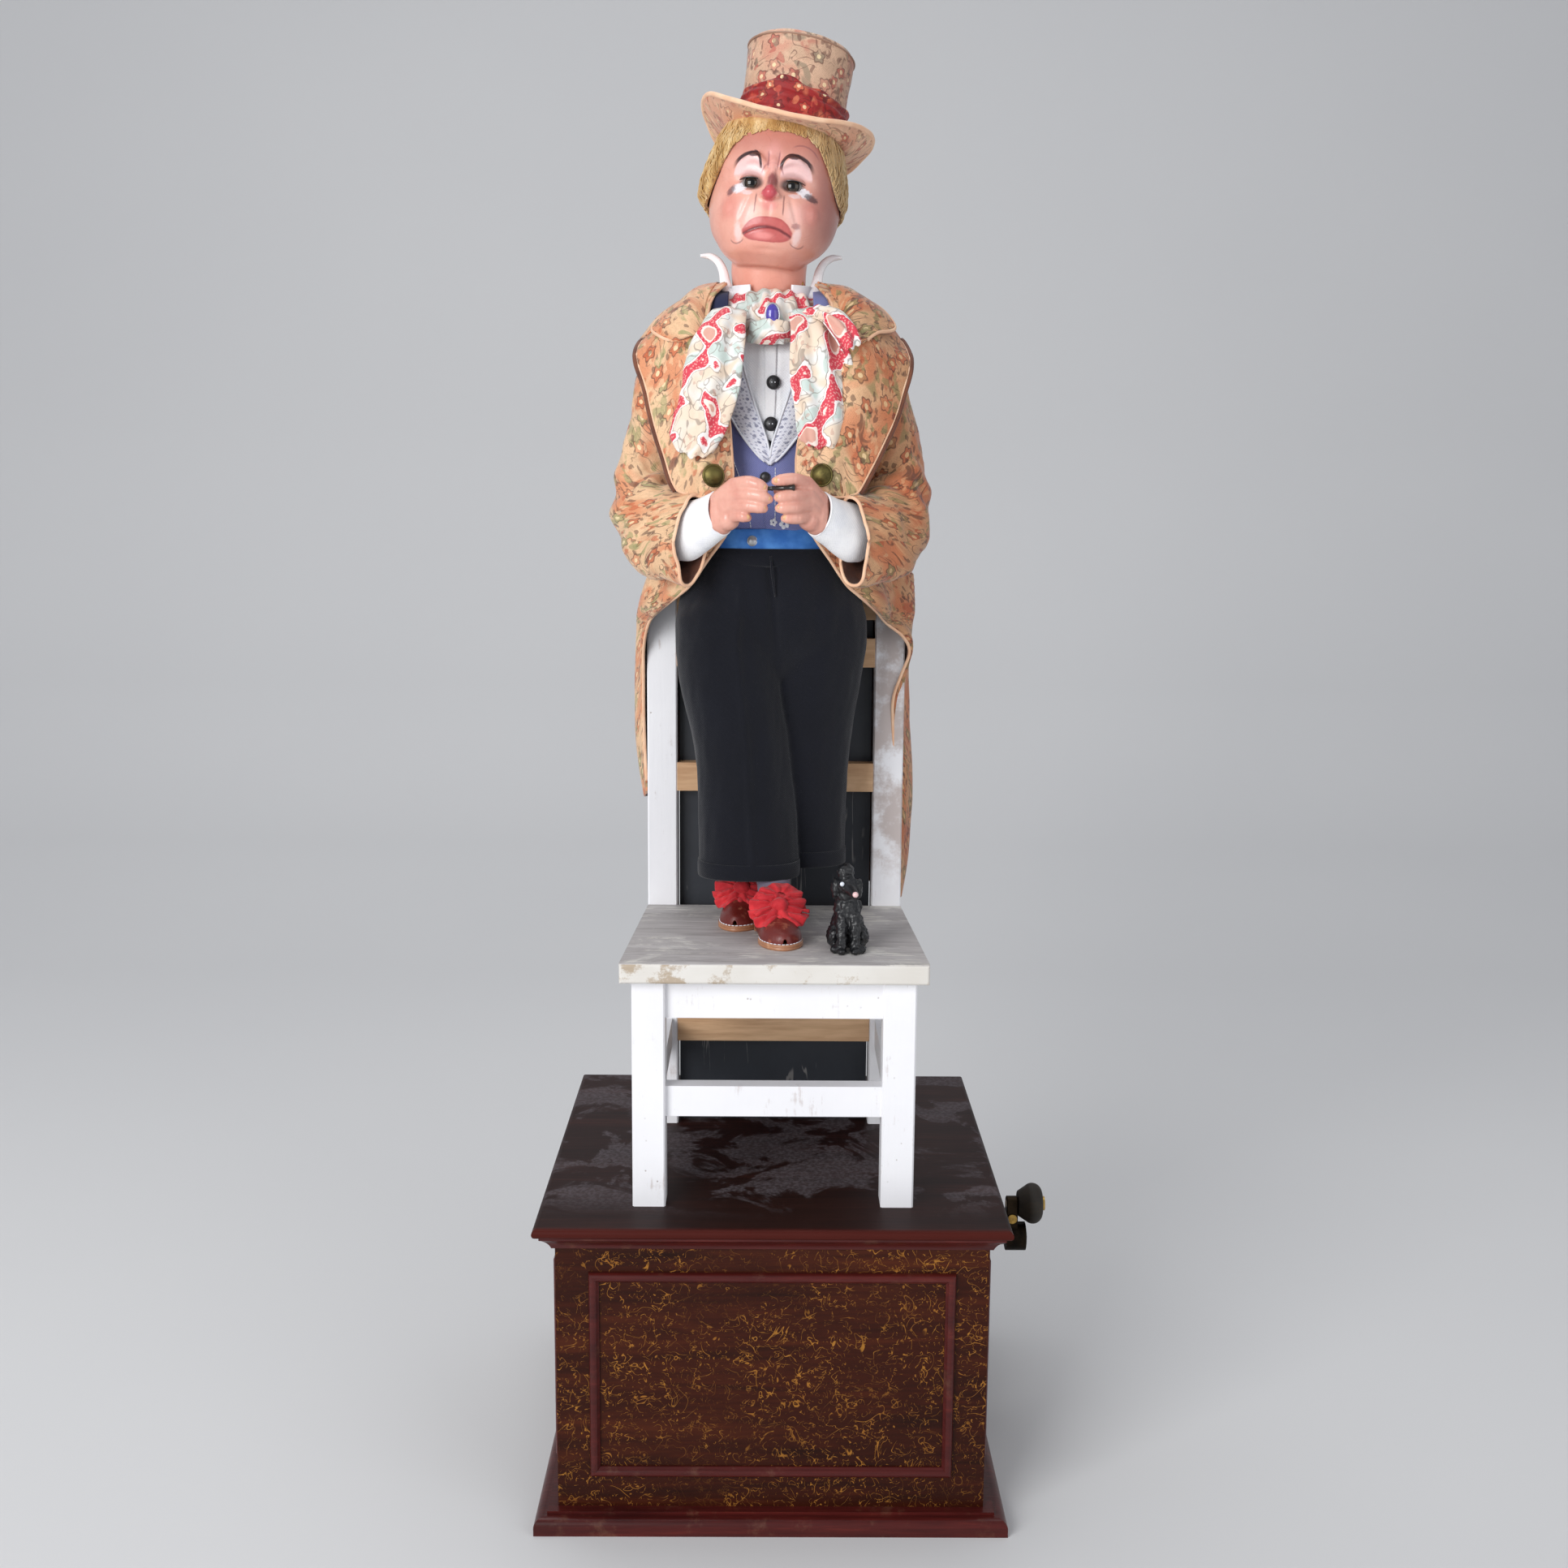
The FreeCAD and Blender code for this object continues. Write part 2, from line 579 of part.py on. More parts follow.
def cam(lane, lift, lobes, drop):
    """An eccentric for one lobe, an ellipse for two; drop is how far its toe sinks below rest."""
    top = TOE_LOW - CAM_UP - TOE_GAP - drop
    x0 = lane - CAM_T / 2
    if lobes == 1:
        disc = rod_x(x0, x0 + CAM_T, CRANK_Y, CAM_UP + lift / 2, top - lift / 2)
    else:
        oval = Part.Ellipse(V(x0, CRANK_Y, CAM_UP + top), V(x0, CRANK_Y + top - lift, CAM_UP),
                            V(x0, CRANK_Y, CAM_UP))
        disc = Part.Face(Part.Wire(oval.toShape())).extrude(V(CAM_T, 0, 0))
    hub_t = CAM_T + 2.5
    hub = rod_x(lane - hub_t / 2, lane + hub_t / 2, CRANK_Y, CAM_UP, CAM_HUB_R)
    hole = rod_x(lane - hub_t, lane + hub_t, CRANK_Y, CAM_UP, SHAFT_R)
    return fuse(disc, hub).cut(hole)


def make_levers():
    pivot = rod_x(PLATE_LEFT, PLATE_RIGHT, PIVOT_Y, LEVER_UP, SHAFT_R)
    long_arm, toe_arm = ROD_Y - PIVOT_Y, CRANK_Y - PIVOT_Y
    for name, lane in LANES.items():
        hub = rod_x(lane - LEVER_HUB_T / 2, lane + LEVER_HUB_T / 2, PIVOT_Y, LEVER_UP, LEVER_HUB_R)
        x0, x1 = lane - LEVER_T / 2, lane + LEVER_T / 2
        bar = outline(
            lambda y, z: V(x0, PIVOT_Y + y, LEVER_UP + z),
            (0, -LEVER_H / 2), (toe_arm, -LEVER_H / 2), (long_arm, -LEVER_H / 3),
            (long_arm, LEVER_H / 3), (toe_arm, LEVER_H / 2), (0, LEVER_H / 2),
        ).extrude(V(LEVER_T, 0, 0))
        toe = rod_x(x0 - 1, x1 + 1, CRANK_Y, LEVER_UP, TOE_R)
        tip = rod_x(x0 - 1, x1 + 1, ROD_Y, LEVER_UP, BOSS_R + 1)
        hole = rod_x(lane - LEVER_HUB_T, lane + LEVER_HUB_T, PIVOT_Y, LEVER_UP, SHAFT_R + RUN_FIT)
        keep(name + "_lever", fuse(bar, hub, toe, tip).cut(hole))

    turn_drop = BELL_ARM * math.radians(18) * toe_arm / long_arm
    drops = {"arms": 0.0, "nod": 0.0, "turn": turn_drop}
    keep("cams", *[cam(LANES[n], lift, lobes, drops[n])
                   for n, lift, lobes in zip(LANES, CAM_LIFT, CAM_LOBES)])

    plates = []
    for x0, x1, foot in ((PLATE_LEFT, PLATE_LEFT + PLATE_T, 1), (PLATE_RIGHT - PLATE_T, PLATE_RIGHT, -1)):
        y0 = PIVOT_Y - 2 * LEVER_HUB_R
        y1 = y0 + PLATE_D
        top = CRANK_UP + 3 * SHAFT_R
        low = BOTTOM_T
        shoulder = LEVER_UP + 2 * LEVER_HUB_R
        side = outline(
            lambda y, z: V(x0, y, z),
            (y0, low), (y1, low), (y1, low + PLATE_FOOT), (CRANK_Y + 3 * SHAFT_R, top - SHAFT_R),
            ((CRANK_Y, top), (CRANK_Y - 3 * SHAFT_R, top - SHAFT_R)), (y0, shoulder),
        ).extrude(V(PLATE_T, 0, 0))
        fx0, fx1 = sorted((x1 if foot > 0 else x0, (x1 if foot > 0 else x0) + foot * PLATE_FOOT))
        plate = fuse(side, block(fx0, fx1, y0, y1, low, low + PLATE_T))
        holes = [rod_x(x0 - 1, x1 + 1, CRANK_Y, CAM_UP, SHAFT_R + RUN_FIT),
                 rod_x(x0 - 1, x1 + 1, PIVOT_Y, LEVER_UP, SHAFT_R)]
        if foot < 0:
            holes.append(rod_x(x0 - 1, x1 + 1, CRANK_Y, CRANK_UP, SHAFT_R + RUN_FIT))
        plates.append(plate.cut(fuse(*holes)))
    keep("bearing_plates", *plates)

    pin_y = ARM_AXLE_Y + ARM_AXLE_R + 1
    bar_y = pin_y + BELL_T + 4
    bar = block(FIG_X - CHANNEL_W / 2, FIG_X + CHANNEL_W / 2, bar_y, bar_y + 5, BELL - 4, BELL + 4)
    stud = rod(V(FIG_X, pin_y - 0.5, BELL), V(FIG_X, bar_y, BELL), 2.0)
    keep("pivot_rods", pivot, bar.fuse(stud).removeSplitter())


# ------------------------------------------------------------------ push rods and neck
def push_rod(lane, top_y, top_z, top_r):
    """A steel rod: pad on its lever, straight up the trunk, then forward and up to its own pad."""
    foot = LEVER_UP + BOSS_R + 1 + PUSH_GAP
    bend_low, bend_high = TRUNK_TOP + 22, HIP + 105
    points = (V(lane, ROD_Y, foot + ROD_R), V(lane, ROD_Y, bend_low),
              V(lane, top_y, bend_high), V(lane, top_y, top_z - ROD_R))
    stem = limb(points, [ROD_R] * 4, sides=8)
    low_pad = rod(V(lane, ROD_Y, foot), V(lane, ROD_Y, foot + PAD_T), PAD_R)
    top_pad = rod(V(lane, top_y, top_z - PAD_T), V(lane, top_y, top_z), top_r)
    return fuse(stem, low_pad, top_pad)


def make_rods():
    bell_y = ARM_AXLE_Y + ARM_AXLE_R + 1 + BELL_T / 2
    arm_pad = ARM_AXLE - BOSS_R - PUSH_GAP
    bell_pad = BELL - BOSS_R - PUSH_GAP
    nod_pad = NOD - BOSS_R - PUSH_GAP
    for name, y, z, r in (("arms", ARM_AXLE_Y - ARM_LEVER, arm_pad, TOP_PAD_R),
                          ("turn", bell_y, bell_pad, TOP_PAD_R),
                          ("nod", 0.0, nod_pad, SPINDLE_BORE - 1.0)):
        keep(name + "_rod", push_rod(LANES[name], y, z, r))

    y0 = bell_y - BELL_T / 2
    hub = rod(V(FIG_X, y0, BELL), V(FIG_X, y0 + BELL_T, BELL), 5.0)
    thin = LEVER_BAR / 2
    flat = block(FIG_X - BELL_ARM, FIG_X, y0, y0 + BELL_T, BELL - thin, BELL + thin)
    boss = rod(V(FIG_X - BELL_ARM, y0, BELL), V(FIG_X - BELL_ARM, y0 + BELL_T, BELL), BOSS_R)
    upright = block(FIG_X - thin, FIG_X + thin, y0, y0 + BELL_T, BELL, YAW_ARM_UP)
    tip = ball(V(FIG_X, bell_y, YAW_ARM_UP), BOSS_R)
    hole = rod(V(FIG_X, y0 - 1, BELL), V(FIG_X, y0 + BELL_T + 1, BELL), 2.0 + RUN_FIT)
    keep("turn_bell_crank", fuse(hub, flat, boss, upright, tip).cut(hole))
    make_neck(bell_y)


def make_neck(bell_y):
    """A hollow spindle in a bush: yaw arm with a fork below, two ears with the nod pin above."""
    flange_t, head_t = 3.0, 3.0
    top = TORSO_TOP + flange_t
    bush = rod(V(FIG_X, 0, TORSO_TOP - 9), V(FIG_X, 0, TORSO_TOP), SPINDLE_R + 4)
    flange = rod(V(FIG_X, 0, TORSO_TOP), V(FIG_X, 0, top), SPINDLE_R + 7)
    bore = rod(V(FIG_X, 0, TORSO_TOP - 20), V(FIG_X, 0, top + 1), SPINDLE_R + RUN_FIT)
    keep("bushes", *PARTS["bushes"], bush.fuse(flange).removeSplitter().cut(bore))

    gap, arm_t, side = 0.3, 4.0, 4.5
    arm_z = YAW_ARM_UP - arm_t / 2
    stem = rod(V(FIG_X, 0, arm_z), V(FIG_X, 0, top + gap + head_t), SPINDLE_R)
    cap = rod(V(FIG_X, 0, top + gap), V(FIG_X, 0, top + gap + head_t), SPINDLE_R + 4)
    arm = block(FIG_X - SPINDLE_R, FIG_X + SPINDLE_R, 0, bell_y + 6, arm_z, arm_z + arm_t)
    slot_half = BOSS_R + 0.6
    slot = block(FIG_X - slot_half, FIG_X + slot_half, bell_y - 5, bell_y + 10, arm_z - 1, arm_z + arm_t + 1)
    ears = []
    for x in (FIG_X - side - 3, FIG_X + side):
        ears.append(block(x, x + 3, NOD_Y - EAR_HALF, NOD_Y + EAR_HALF, top + gap, NOD + 4))
    pin = rod_x(FIG_X - NECK_BORE - 2, FIG_X + NECK_BORE + 2, NOD_Y, NOD, NOD_PIN_R)
    bore = rod(V(FIG_X, 0, arm_z - 1), V(FIG_X, 0, NOD + 20), SPINDLE_BORE)
    spindle = fuse(stem, cap, arm, *ears).cut(slot).cut(bore)
    keep("neck_spindle", fuse(spindle, pin))


# ------------------------------------------------------------------ figure: body and legs
def torso_loft(grow=0.0):
    """The carved body from hip to shoulder; clothes are the same shape grown outwards."""
    shape = ((0.0, 46, 33), (0.28, 46, 35), (0.6, 48, 38), (0.86, 50, 34), (1.0, 44, 27))
    return loft([(FIG_X, 0, HIP + t * TORSO_H, rx, ry) for t, rx, ry in shape], grow)


def make_torso():
    half = CHANNEL_W / 2
    channel = block(FIG_X - half, FIG_X + half, CHANNEL_Y, 100, HIP - 1, TORSO_TOP - CHANNEL_ROOF)
    bush = rod(V(FIG_X, 0, TORSO_TOP - 20), V(FIG_X, 0, TORSO_TOP + 1), SPINDLE_R + 4)
    bore = rod_x(FIG_X - 80, FIG_X + 80, ARM_AXLE_Y, ARM_AXLE, ARM_AXLE_R + RUN_FIT)
    keep("torso_core", torso_loft().cut(channel).cut(bush).cut(bore))


def leg_paths():
    """Hip, knee and ankle of the forward leg and of the one crossed behind it."""
    drop = HIP - 10
    return ((V(-32, -6, drop), V(-22, -20, (drop + FRONT_ANKLE.z) / 2), FRONT_ANKLE),
            (V(26, 6, drop), V(12, 10, (drop + REAR_ANKLE.z) / 2), REAR_ANKLE))


def make_legs():
    pelvis_half, pelvis_h = 44.0, 22.0
    pelvis = block(FIG_X - pelvis_half, FIG_X + pelvis_half, CHANNEL_Y, POST_FRONT, HIP - pelvis_h, HIP)
    legs = [limb(path, (16, 13, ANKLE_R)) for path in leg_paths()]
    below = block(-200, 200, -200, 200, 0, HIP)
    core = fuse(pelvis, *[leg.common(below) for leg in legs])
    trousers = make_trousers()
    shoes = [make_shoe(FRONT_ANKLE, 9), make_shoe(REAR_ANKLE, -10)]
    keep("shoes", *[shoe.cut(core) for shoe, _ in shoes])
    keep("rosettes", *[bow.cut(core).cut(trousers) for _, bow in shoes])
    keep("leg_cores", core)
    keep("trousers", trousers.cut(core).cut(torso_loft(LAYER_GAP)))


def make_trousers():
    """Wide trousers: a seat section and two straight legs, the forward one in front."""
    knee = SEAT_TOP + 117
    thigh = SEAT_TOP + 161
    hem = SEAT_TOP + HEM_UP
    overlap = HIP - 25
    front = loft([(-34, -8, overlap + 15, 34, 30), (-31, -12, thigh, 34, 30),
                  (-21, -17, knee, 33, 28), (-18, -25, hem, 34, 27)])
    rear = loft([(28, -2, overlap + 15, 34, 30), (26, 2, thigh, 35, 30),
                 (19, 5, knee, 33, 28), (15, 5, hem + 3, 34, 27)])
    hips = loft([(FIG_X, -2, BELT_LOW, 51, 38), (FIG_X + 1, -3, HIP - 4, 64, 38, 2.3),
                 (FIG_X + 2, -4, overlap - 6, 66, 35, 2.3)])
    return fuse(front, rear, hips)


def make_shoe(ankle, turn):
    """Sole and heel, rounded upper with an ankle opening, and a gathered rosette on top."""
    half, heel_h = SHOE_W / 2, 5.0
    toe, back = -0.7 * SHOE_L, 0.3 * SHOE_L
    sole = outline(
        lambda x, y: V(x, y, 0),
        (-0.8 * half, back - 8), ((0, back), (0.8 * half, back - 8)), (0.7 * half, -4),
        ((half, toe + 22), (0.72 * half, toe + 7)), ((0, toe), (-0.72 * half, toe + 7)),
        ((-half, toe + 22), (-0.7 * half, -4)))
    sole = sole.extrude(V(0, 0, SOLE_T))
    arch = rod_x(-half - 1, half + 1, 0, -3, 5.0)
    upper = loft([(0, (toe + back) / 2, SOLE_T, 0.93 * half, SHOE_L / 2 - 1.5, 2.6),
                  (0, (toe + back) / 2 + 1, SOLE_T + 8, 0.92 * half, SHOE_L / 2 - 3, 2.4),
                  (0, 2, SHOE_H - 3, 0.72 * half, 0.34 * SHOE_L, 2.2),
                  (0, 6, SHOE_H, 0.62 * half, 0.22 * SHOE_L)])
    opening = rod(V(0, 5, SHOE_H - 4), V(0, 5, SHOE_H + 2), 0.5 * half)
    shoe = fuse(sole.cut(arch), upper.cut(opening))
    bow = loft([(0, -16, SHOE_H - 9, 16, 9, 2.4), (0, -15, SHOE_H + 2, 18, 8, 2.4),
                (0, -13, SHOE_H + 10, 12, 5)])
    bow = bow.cut(shoe)
    for piece in (shoe, bow):
        piece.rotate(V(0, 0, 0), V(0, 0, 1), turn)
        piece.translate(V(ankle.x, ankle.y - 5, SEAT_TOP))
    return shoe, bow


# ------------------------------------------------------------------ figure: clothes
def coat_loft(grow=0.0, deeper=0.0):
    """Skirt spread over the chair posts, straight body, square shoulders."""
    z = COAT_LOW
    return loft([(2, 17, z - deeper, 92, 70, 2.9), (1, 16, z + 12, 84, 65, 2.8),
                 (-2, 10, z + 23, 66, 56, 2.6), (FIG_X, 6, z + 42, 58, 51, 2.4),
                 (FIG_X, 1, z + 100, 57, 48, 2.4), (FIG_X, 2, z + 150, 58, 43, 2.5),
                 (FIG_X, 3, TORSO_TOP + 8, 58, 38, 2.6), (FIG_X, 3, TORSO_TOP + 18, 42, 32, 2.3)],
                grow, sides=24)


def front_prism(y0, y1, *points):
    """A prism along Y through the figure's front from (x, z) points."""
    return outline(lambda x, z: V(x, y0, z), *points).extrude(V(0, y1 - y0, 0))


def make_coat():
    far = 200.0
    outer = coat_loft()
    waist, neck = BELT_LOW + 12, TORSO_TOP + 30
    gape = front_prism(
        -far, 0, (FIG_X - 66, COAT_LOW - 20), (FIG_X - 23, waist), (FIG_X - 19, waist + 50),
        (FIG_X - 30, neck), (FIG_X + 30, neck), (FIG_X + 19, waist + 50), (FIG_X + 23, waist),
        (FIG_X + 60, COAT_LOW - 20))
    side = SHOULDER_HALF
    arms_clear = [block(x0, x1, -far, far, BELT_LOW + 12, TORSO_TOP + 50)
                  for x0, x1 in ((FIG_X - far, FIG_X - side), (FIG_X + side, FIG_X + far))]
    axle = rod_x(-far, far, ARM_AXLE_Y, ARM_AXLE, ARM_AXLE_R + 3)
    shell = outer.cut(coat_loft(-CLOTH, deeper=2)).cut(gape).cut(axle)
    for gap in arms_clear:
        shell = shell.cut(gap)
    keep("coat", shell)
    make_tails()

    button_z = SEAT_TOP + 299.5
    buttons = []
    for x in (FIG_X - 36, FIG_X + 31):
        button = pebble(V(x, 0, button_z), COAT_BUTTON_R, 4.0, COAT_BUTTON_R)
        button.translate(V(0, front_of(coat_loft(), x, button_z) - 0.5, 0))
        buttons.append(button.cut(outer))
    keep("coat_buttons", *buttons)


def front_of(shape, x, z):
    """The Y where a line from the front meets the shape at this X and Z."""
    cut = shape.common(Part.LineSegment(V(x, -300, z), V(x, 300, z)).toShape())
    return cut.BoundBox.YMin


def make_tails():
    """Two long tails that hang behind the trunk and wrap round the posts' outer sides."""
    out = CHAIR_W / 2 + TAIL_OUT
    back = TRUNK_BACK + 1 + CLOTH
    r = 9.0
    tails = []
    for side, drop, split in ((-1, TAIL_DROP_LEFT, -6), (1, TAIL_DROP_RIGHT, 2)):
        x_out, x_in, x_mid = side * out, side * (out - CLOTH), split
        s = side
        plan = outline(
            lambda x, y: V(x, y, COAT_LOW - drop),
            (x_in, POST_FRONT + 8), (x_out, POST_FRONT + 8), (x_out, back - r),
            ((x_out - s * 0.3 * r, back - 0.3 * r), (x_out - s * r, back)),
            (x_mid, back), (x_mid, back - CLOTH), (x_out - s * r, back - CLOTH),
            ((x_in - s * 0.2 * r, back - CLOTH - 0.2 * r), (x_in, back - r)))
        tail = plan.extrude(V(0, 0, drop))
        tails.append(tail.cut(front_prism(
            POST_BACK, back + 10, (x_mid, COAT_LOW - drop - 5), (x_mid, COAT_LOW - 0.72 * drop),
            (x_out - s * 2 * r, COAT_LOW - drop - 5))))
    keep("coat_tails", *tails)


def make_shirt():
    """Waistcoat with a deep V, the shirt front inside it, belt, collar, studs and brooch."""
    far = 200.0
    low, top = BELT_LOW + BELT_W, TORSO_TOP - 2
    inner = torso_loft(LAYER_GAP)
    outer = torso_loft(LAYER_GAP + WAISTCOAT_T)
    shell = outer.cut(inner)
    vee_low = SEAT_TOP + 313.5
    vee = ((FIG_X, vee_low), (FIG_X - 24, TORSO_TOP + 20), (FIG_X + 24, TORSO_TOP + 20))
    front = block(-far, far, -far, 4, low, top)
    front = front.cut(rod_x(-far, far, ARM_AXLE_Y, ARM_AXLE, ARM_AXLE_R + 3))
    panel = shell.common(front)
    keep("waistcoat", panel.cut(front_prism(-far, 0, *vee)))
    keep("shirt_front", panel.common(front_prism(-far, 0, *vee)))
    belt = shell.common(block(-far, far, -far, CHANNEL_Y + 30, BELT_LOW, low))
    keep("belt", belt)

    studs = []
    for z in (vee_low + 18, vee_low + 44):
        y = front_of(outer, FIG_X + 2, z)
        studs.append(pebble(V(FIG_X + 2, y, z), SHIRT_BUTTON_R, 2.5, SHIRT_BUTTON_R).cut(outer))
    keep("shirt_buttons", *studs)

    r = NECK_R + COLLAR_GAP
    foot = TORSO_TOP
    band = rod(V(FIG_X, 0, foot), V(FIG_X, 0, foot + COLLAR_H), r + COLLAR_T)
    band = band.cut(rod(V(FIG_X, 0, foot - 1), V(FIG_X, 0, foot + COLLAR_H + 1), r))
    gape = front_prism(-far, 0, (FIG_X, foot + 6), (FIG_X - 14, foot + COLLAR_H + 5),
                       (FIG_X + 14, foot + COLLAR_H + 5))
    band = band.cut(gape)
    horns = []
    for side in (-1, 1):
        x = FIG_X + side * (r + 2)
        horn = limb((V(x - side * 1, -13, foot + 14), V(x + side * 9, -15, foot + 22),
                     V(x + side * 14.5, -15, foot + 36)), (4.5, 3.2, 1.2), sides=8)
        horns.append(horn.cut(rod(V(FIG_X, 0, foot), V(FIG_X, 0, foot + 60), r)))
    keep("collar", fuse(band, *horns).cut(PARTS["coat"]))


def make_cravat():
    """A gathered neckcloth: a knot with two broad ends laid over the lapels."""
    far = 200.0
    thick = 7.0
    near, outer = coat_loft(LAYER_GAP), coat_loft(thick)
    knot_z = TORSO_TOP - 3
    ends = []
    for side in (-1, 1):
        end = front_prism(
            -far, -8, (FIG_X + side * 4, knot_z + 6), (FIG_X + side * 30, knot_z + 8),
            (FIG_X + side * 49, knot_z - 20), (FIG_X + side * 45, knot_z - 62),
            (FIG_X + side * 16, knot_z - 46))
        ends.append(end.common(outer).cut(near))
    knot = pebble(V(FIG_X, -40, knot_z), 19, 12, 17)
    vest = torso_loft(2 * LAYER_GAP + WAISTCOAT_T)
    collar = rod(V(FIG_X, 0, TORSO_TOP - 10), V(FIG_X, 0, TORSO_TOP + 60),
                 NECK_R + COLLAR_GAP + COLLAR_T + LAYER_GAP)
    cloth = fuse(knot, *ends).cut(vest).cut(collar).cut(PARTS["coat"])
    front = front_of(knot, FIG_X + 1, knot_z + 2)
    gem = pebble(V(FIG_X + 1, front, knot_z + 2), 5.5, 4, 8)
    keep("cravat", cloth)
    keep("brooch", gem.cut(cloth))


def make_dog():
    """A small sitting poodle on the seat."""
    x, y, z = 47.0, -82.0, SEAT_TOP
    h = DOG_H
    body = pebble(V(x, y + 6, z + 0.26 * h), 11.5, 15, 0.26 * h)
    chest = pebble(V(x - 1, y - 2, z + 0.48 * h), 8, 8.5, 0.24 * h)
    head = pebble(V(x - 1, y - 4, z + 0.76 * h), 7.2, 7.2, 7.2)
    muzzle = limb((V(x, y - 9, z + 0.74 * h), V(x + 4, y - 18, z + 0.7 * h)), (4, 3))
    top = pebble(V(x - 2, y - 1, z + 0.9 * h), 0.1 * h, 0.1 * h, 0.1 * h, sides=8)
    fore = [limb((V(x + side * 4, y - 7, z + 0.4 * h), V(x + side * 4.5, y - 11, z + 3.5)), (4, 3.5))
            for side in (-1, 1)]
    ears = [pebble(V(x - 1 + side * 8, y - 2, z + 0.72 * h), 3, 4, 7) for side in (-1, 1)]
    dog = fuse(body, chest, head, muzzle, top, *fore, *ears)
    keep("dog_figure", dog.common(block(-200, 200, -200, 200, z, z + 100)))


# ------------------------------------------------------------------ figure: arms
def arm_points(side):
    """Shoulder, upper arm, elbow, wrist and palm on one side."""
    return [V(FIG_X + side * dx, y, SEAT_TOP + up) for dx, y, up in (
        (57, 8, 385.5), (77, 6, 346.5), (86, -12, 273.5), (50, -57, 265.5), (24, -74, 281))]


def make_arms():
    far = 200.0
    side = SHOULDER_HALF + SLEEVE_GAP
    body = block(FIG_X - side, FIG_X + side, -34, far, 0, 2 * TORSO_TOP)
    axle = rod_x(FIG_X - ARM_AXLE_HALF, FIG_X + ARM_AXLE_HALF, ARM_AXLE_Y, ARM_AXLE, ARM_AXLE_R)
    lane = LANES["arms"]
    thin = LEVER_BAR / 2
    lever = block(lane - 2, lane + 2, ARM_AXLE_Y - ARM_LEVER, ARM_AXLE_Y, ARM_AXLE - thin, ARM_AXLE + thin)
    boss = rod_x(lane - 4, lane + 4, ARM_AXLE_Y - ARM_LEVER, ARM_AXLE, BOSS_R)
    axle = fuse(axle, lever, boss)
    keep("arm_axle", axle)

    sleeves, cuffs, hands = [], [], []
    for side in (-1, 1):
        shoulder, upper, elbow, wrist, palm = arm_points(side)
        sleeve = limb((shoulder, upper, elbow, wrist), (28, 21, 20, 16)).cut(body)
        aim = (palm - wrist).normalize()
        hand = limb((wrist + aim * 2, palm), (10, 14))
        fingers = []
        for i in range(4):
            z = palm.z + 12 - 8 * i
            y = palm.y - 11
            fingers.append(limb((V(palm.x - side * 4, y, z), V(FIG_X - side * 4, y - 5, z - 4)), (5, 4)))
        hand = fuse(hand, *fingers)
        cuff = rod(wrist, wrist + aim * CUFF_L, CUFF_R).cut(
            rod(wrist - aim, wrist + aim * (CUFF_L + 1), CUFF_R - CUFF_T))
        plug = rod(wrist, wrist + aim * CUFF_T, CUFF_R - CUFF_T)
        cuff = fuse(cuff, plug).cut(hand)
        beyond = rod(wrist, wrist + aim * 60, CUFF_R + 20)
        sleeves.append(sleeve.cut(beyond).cut(axle))
        cuffs.append(cuff)
        hands.append(hand.cut(sleeves[-1]))
    hands[1] = hands[1].cut(hands[0])
    whistle = rod_x(FIG_X - 3, FIG_X + 14, hands[0].BoundBox.YMin + 4, SEAT_TOP + 299, 1.8)
    keep("sleeves", *sleeves)
    keep("cuffs", *cuffs)
    keep("hands", *hands)
    keep("held_whistle", whistle.cut(hands[0]).cut(hands[1]))


# ------------------------------------------------------------------ figure: head and hat
def head_loft(grow=0.0):
    shape = ((0.0, -20, 16, 16), (0.05, -17, 27, 26), (0.18, -9, 37, 37), (0.44, -3, 41, 43),
             (0.7, 0, 39, 42), (0.9, 1, 32, 34), (1.0, 1, 18, 20))
    return loft([(FIG_X, cy, CHIN + t * HEAD_H, rx, ry) for t, cy, rx, ry in shape], grow, sides=24)


def make_head():
    neck_low = TORSO_TOP + NECK_GAP
    neck = rod(V(FIG_X, 0, neck_low), V(FIG_X, 0, CHIN + 0.3 * HEAD_H), NECK_R)
    bore_top = NOD + 14
    bore = rod(V(FIG_X, 0, neck_low - 1), V(FIG_X, 0, bore_top), NECK_BORE)
    nose = pebble(V(FIG_X - 1, -49, CHIN + 0.36 * HEAD_H), 6.5, 8, 7)
    ears = [pebble(V(FIG_X + side * 38, 2, CHIN + 0.4 * HEAD_H), 5, 6, 9) for side in (-1, 1)]
    pin_bore = rod_x(FIG_X - 60, FIG_X + 60, NOD_Y, NOD, NOD_PIN_R + RUN_FIT)
    skull = fuse(head_loft(), neck, nose, *ears).cut(bore).cut(pin_bore)
    bar = rod_x(FIG_X - NECK_R + 1, FIG_X + NECK_R - 1, 0, NOD, BOSS_R)
    keep("head", fuse(skull, bar))
    hat = make_hat()
    wig = head_loft(HAIR_T).cut(head_loft(0.0)).cut(fuse(*ears))
    far, high = 100, CHIN + 0.8 * HEAD_H
    sides = block(-far, far, -22, far, CHIN + 0.33 * HEAD_H, high)
    nape = block(-far, far, 34, far, CHIN + 0.16 * HEAD_H, high)
    keep("hair", wig.common(fuse(sides, nape)).cut(hat).cut(PARTS["head"]))


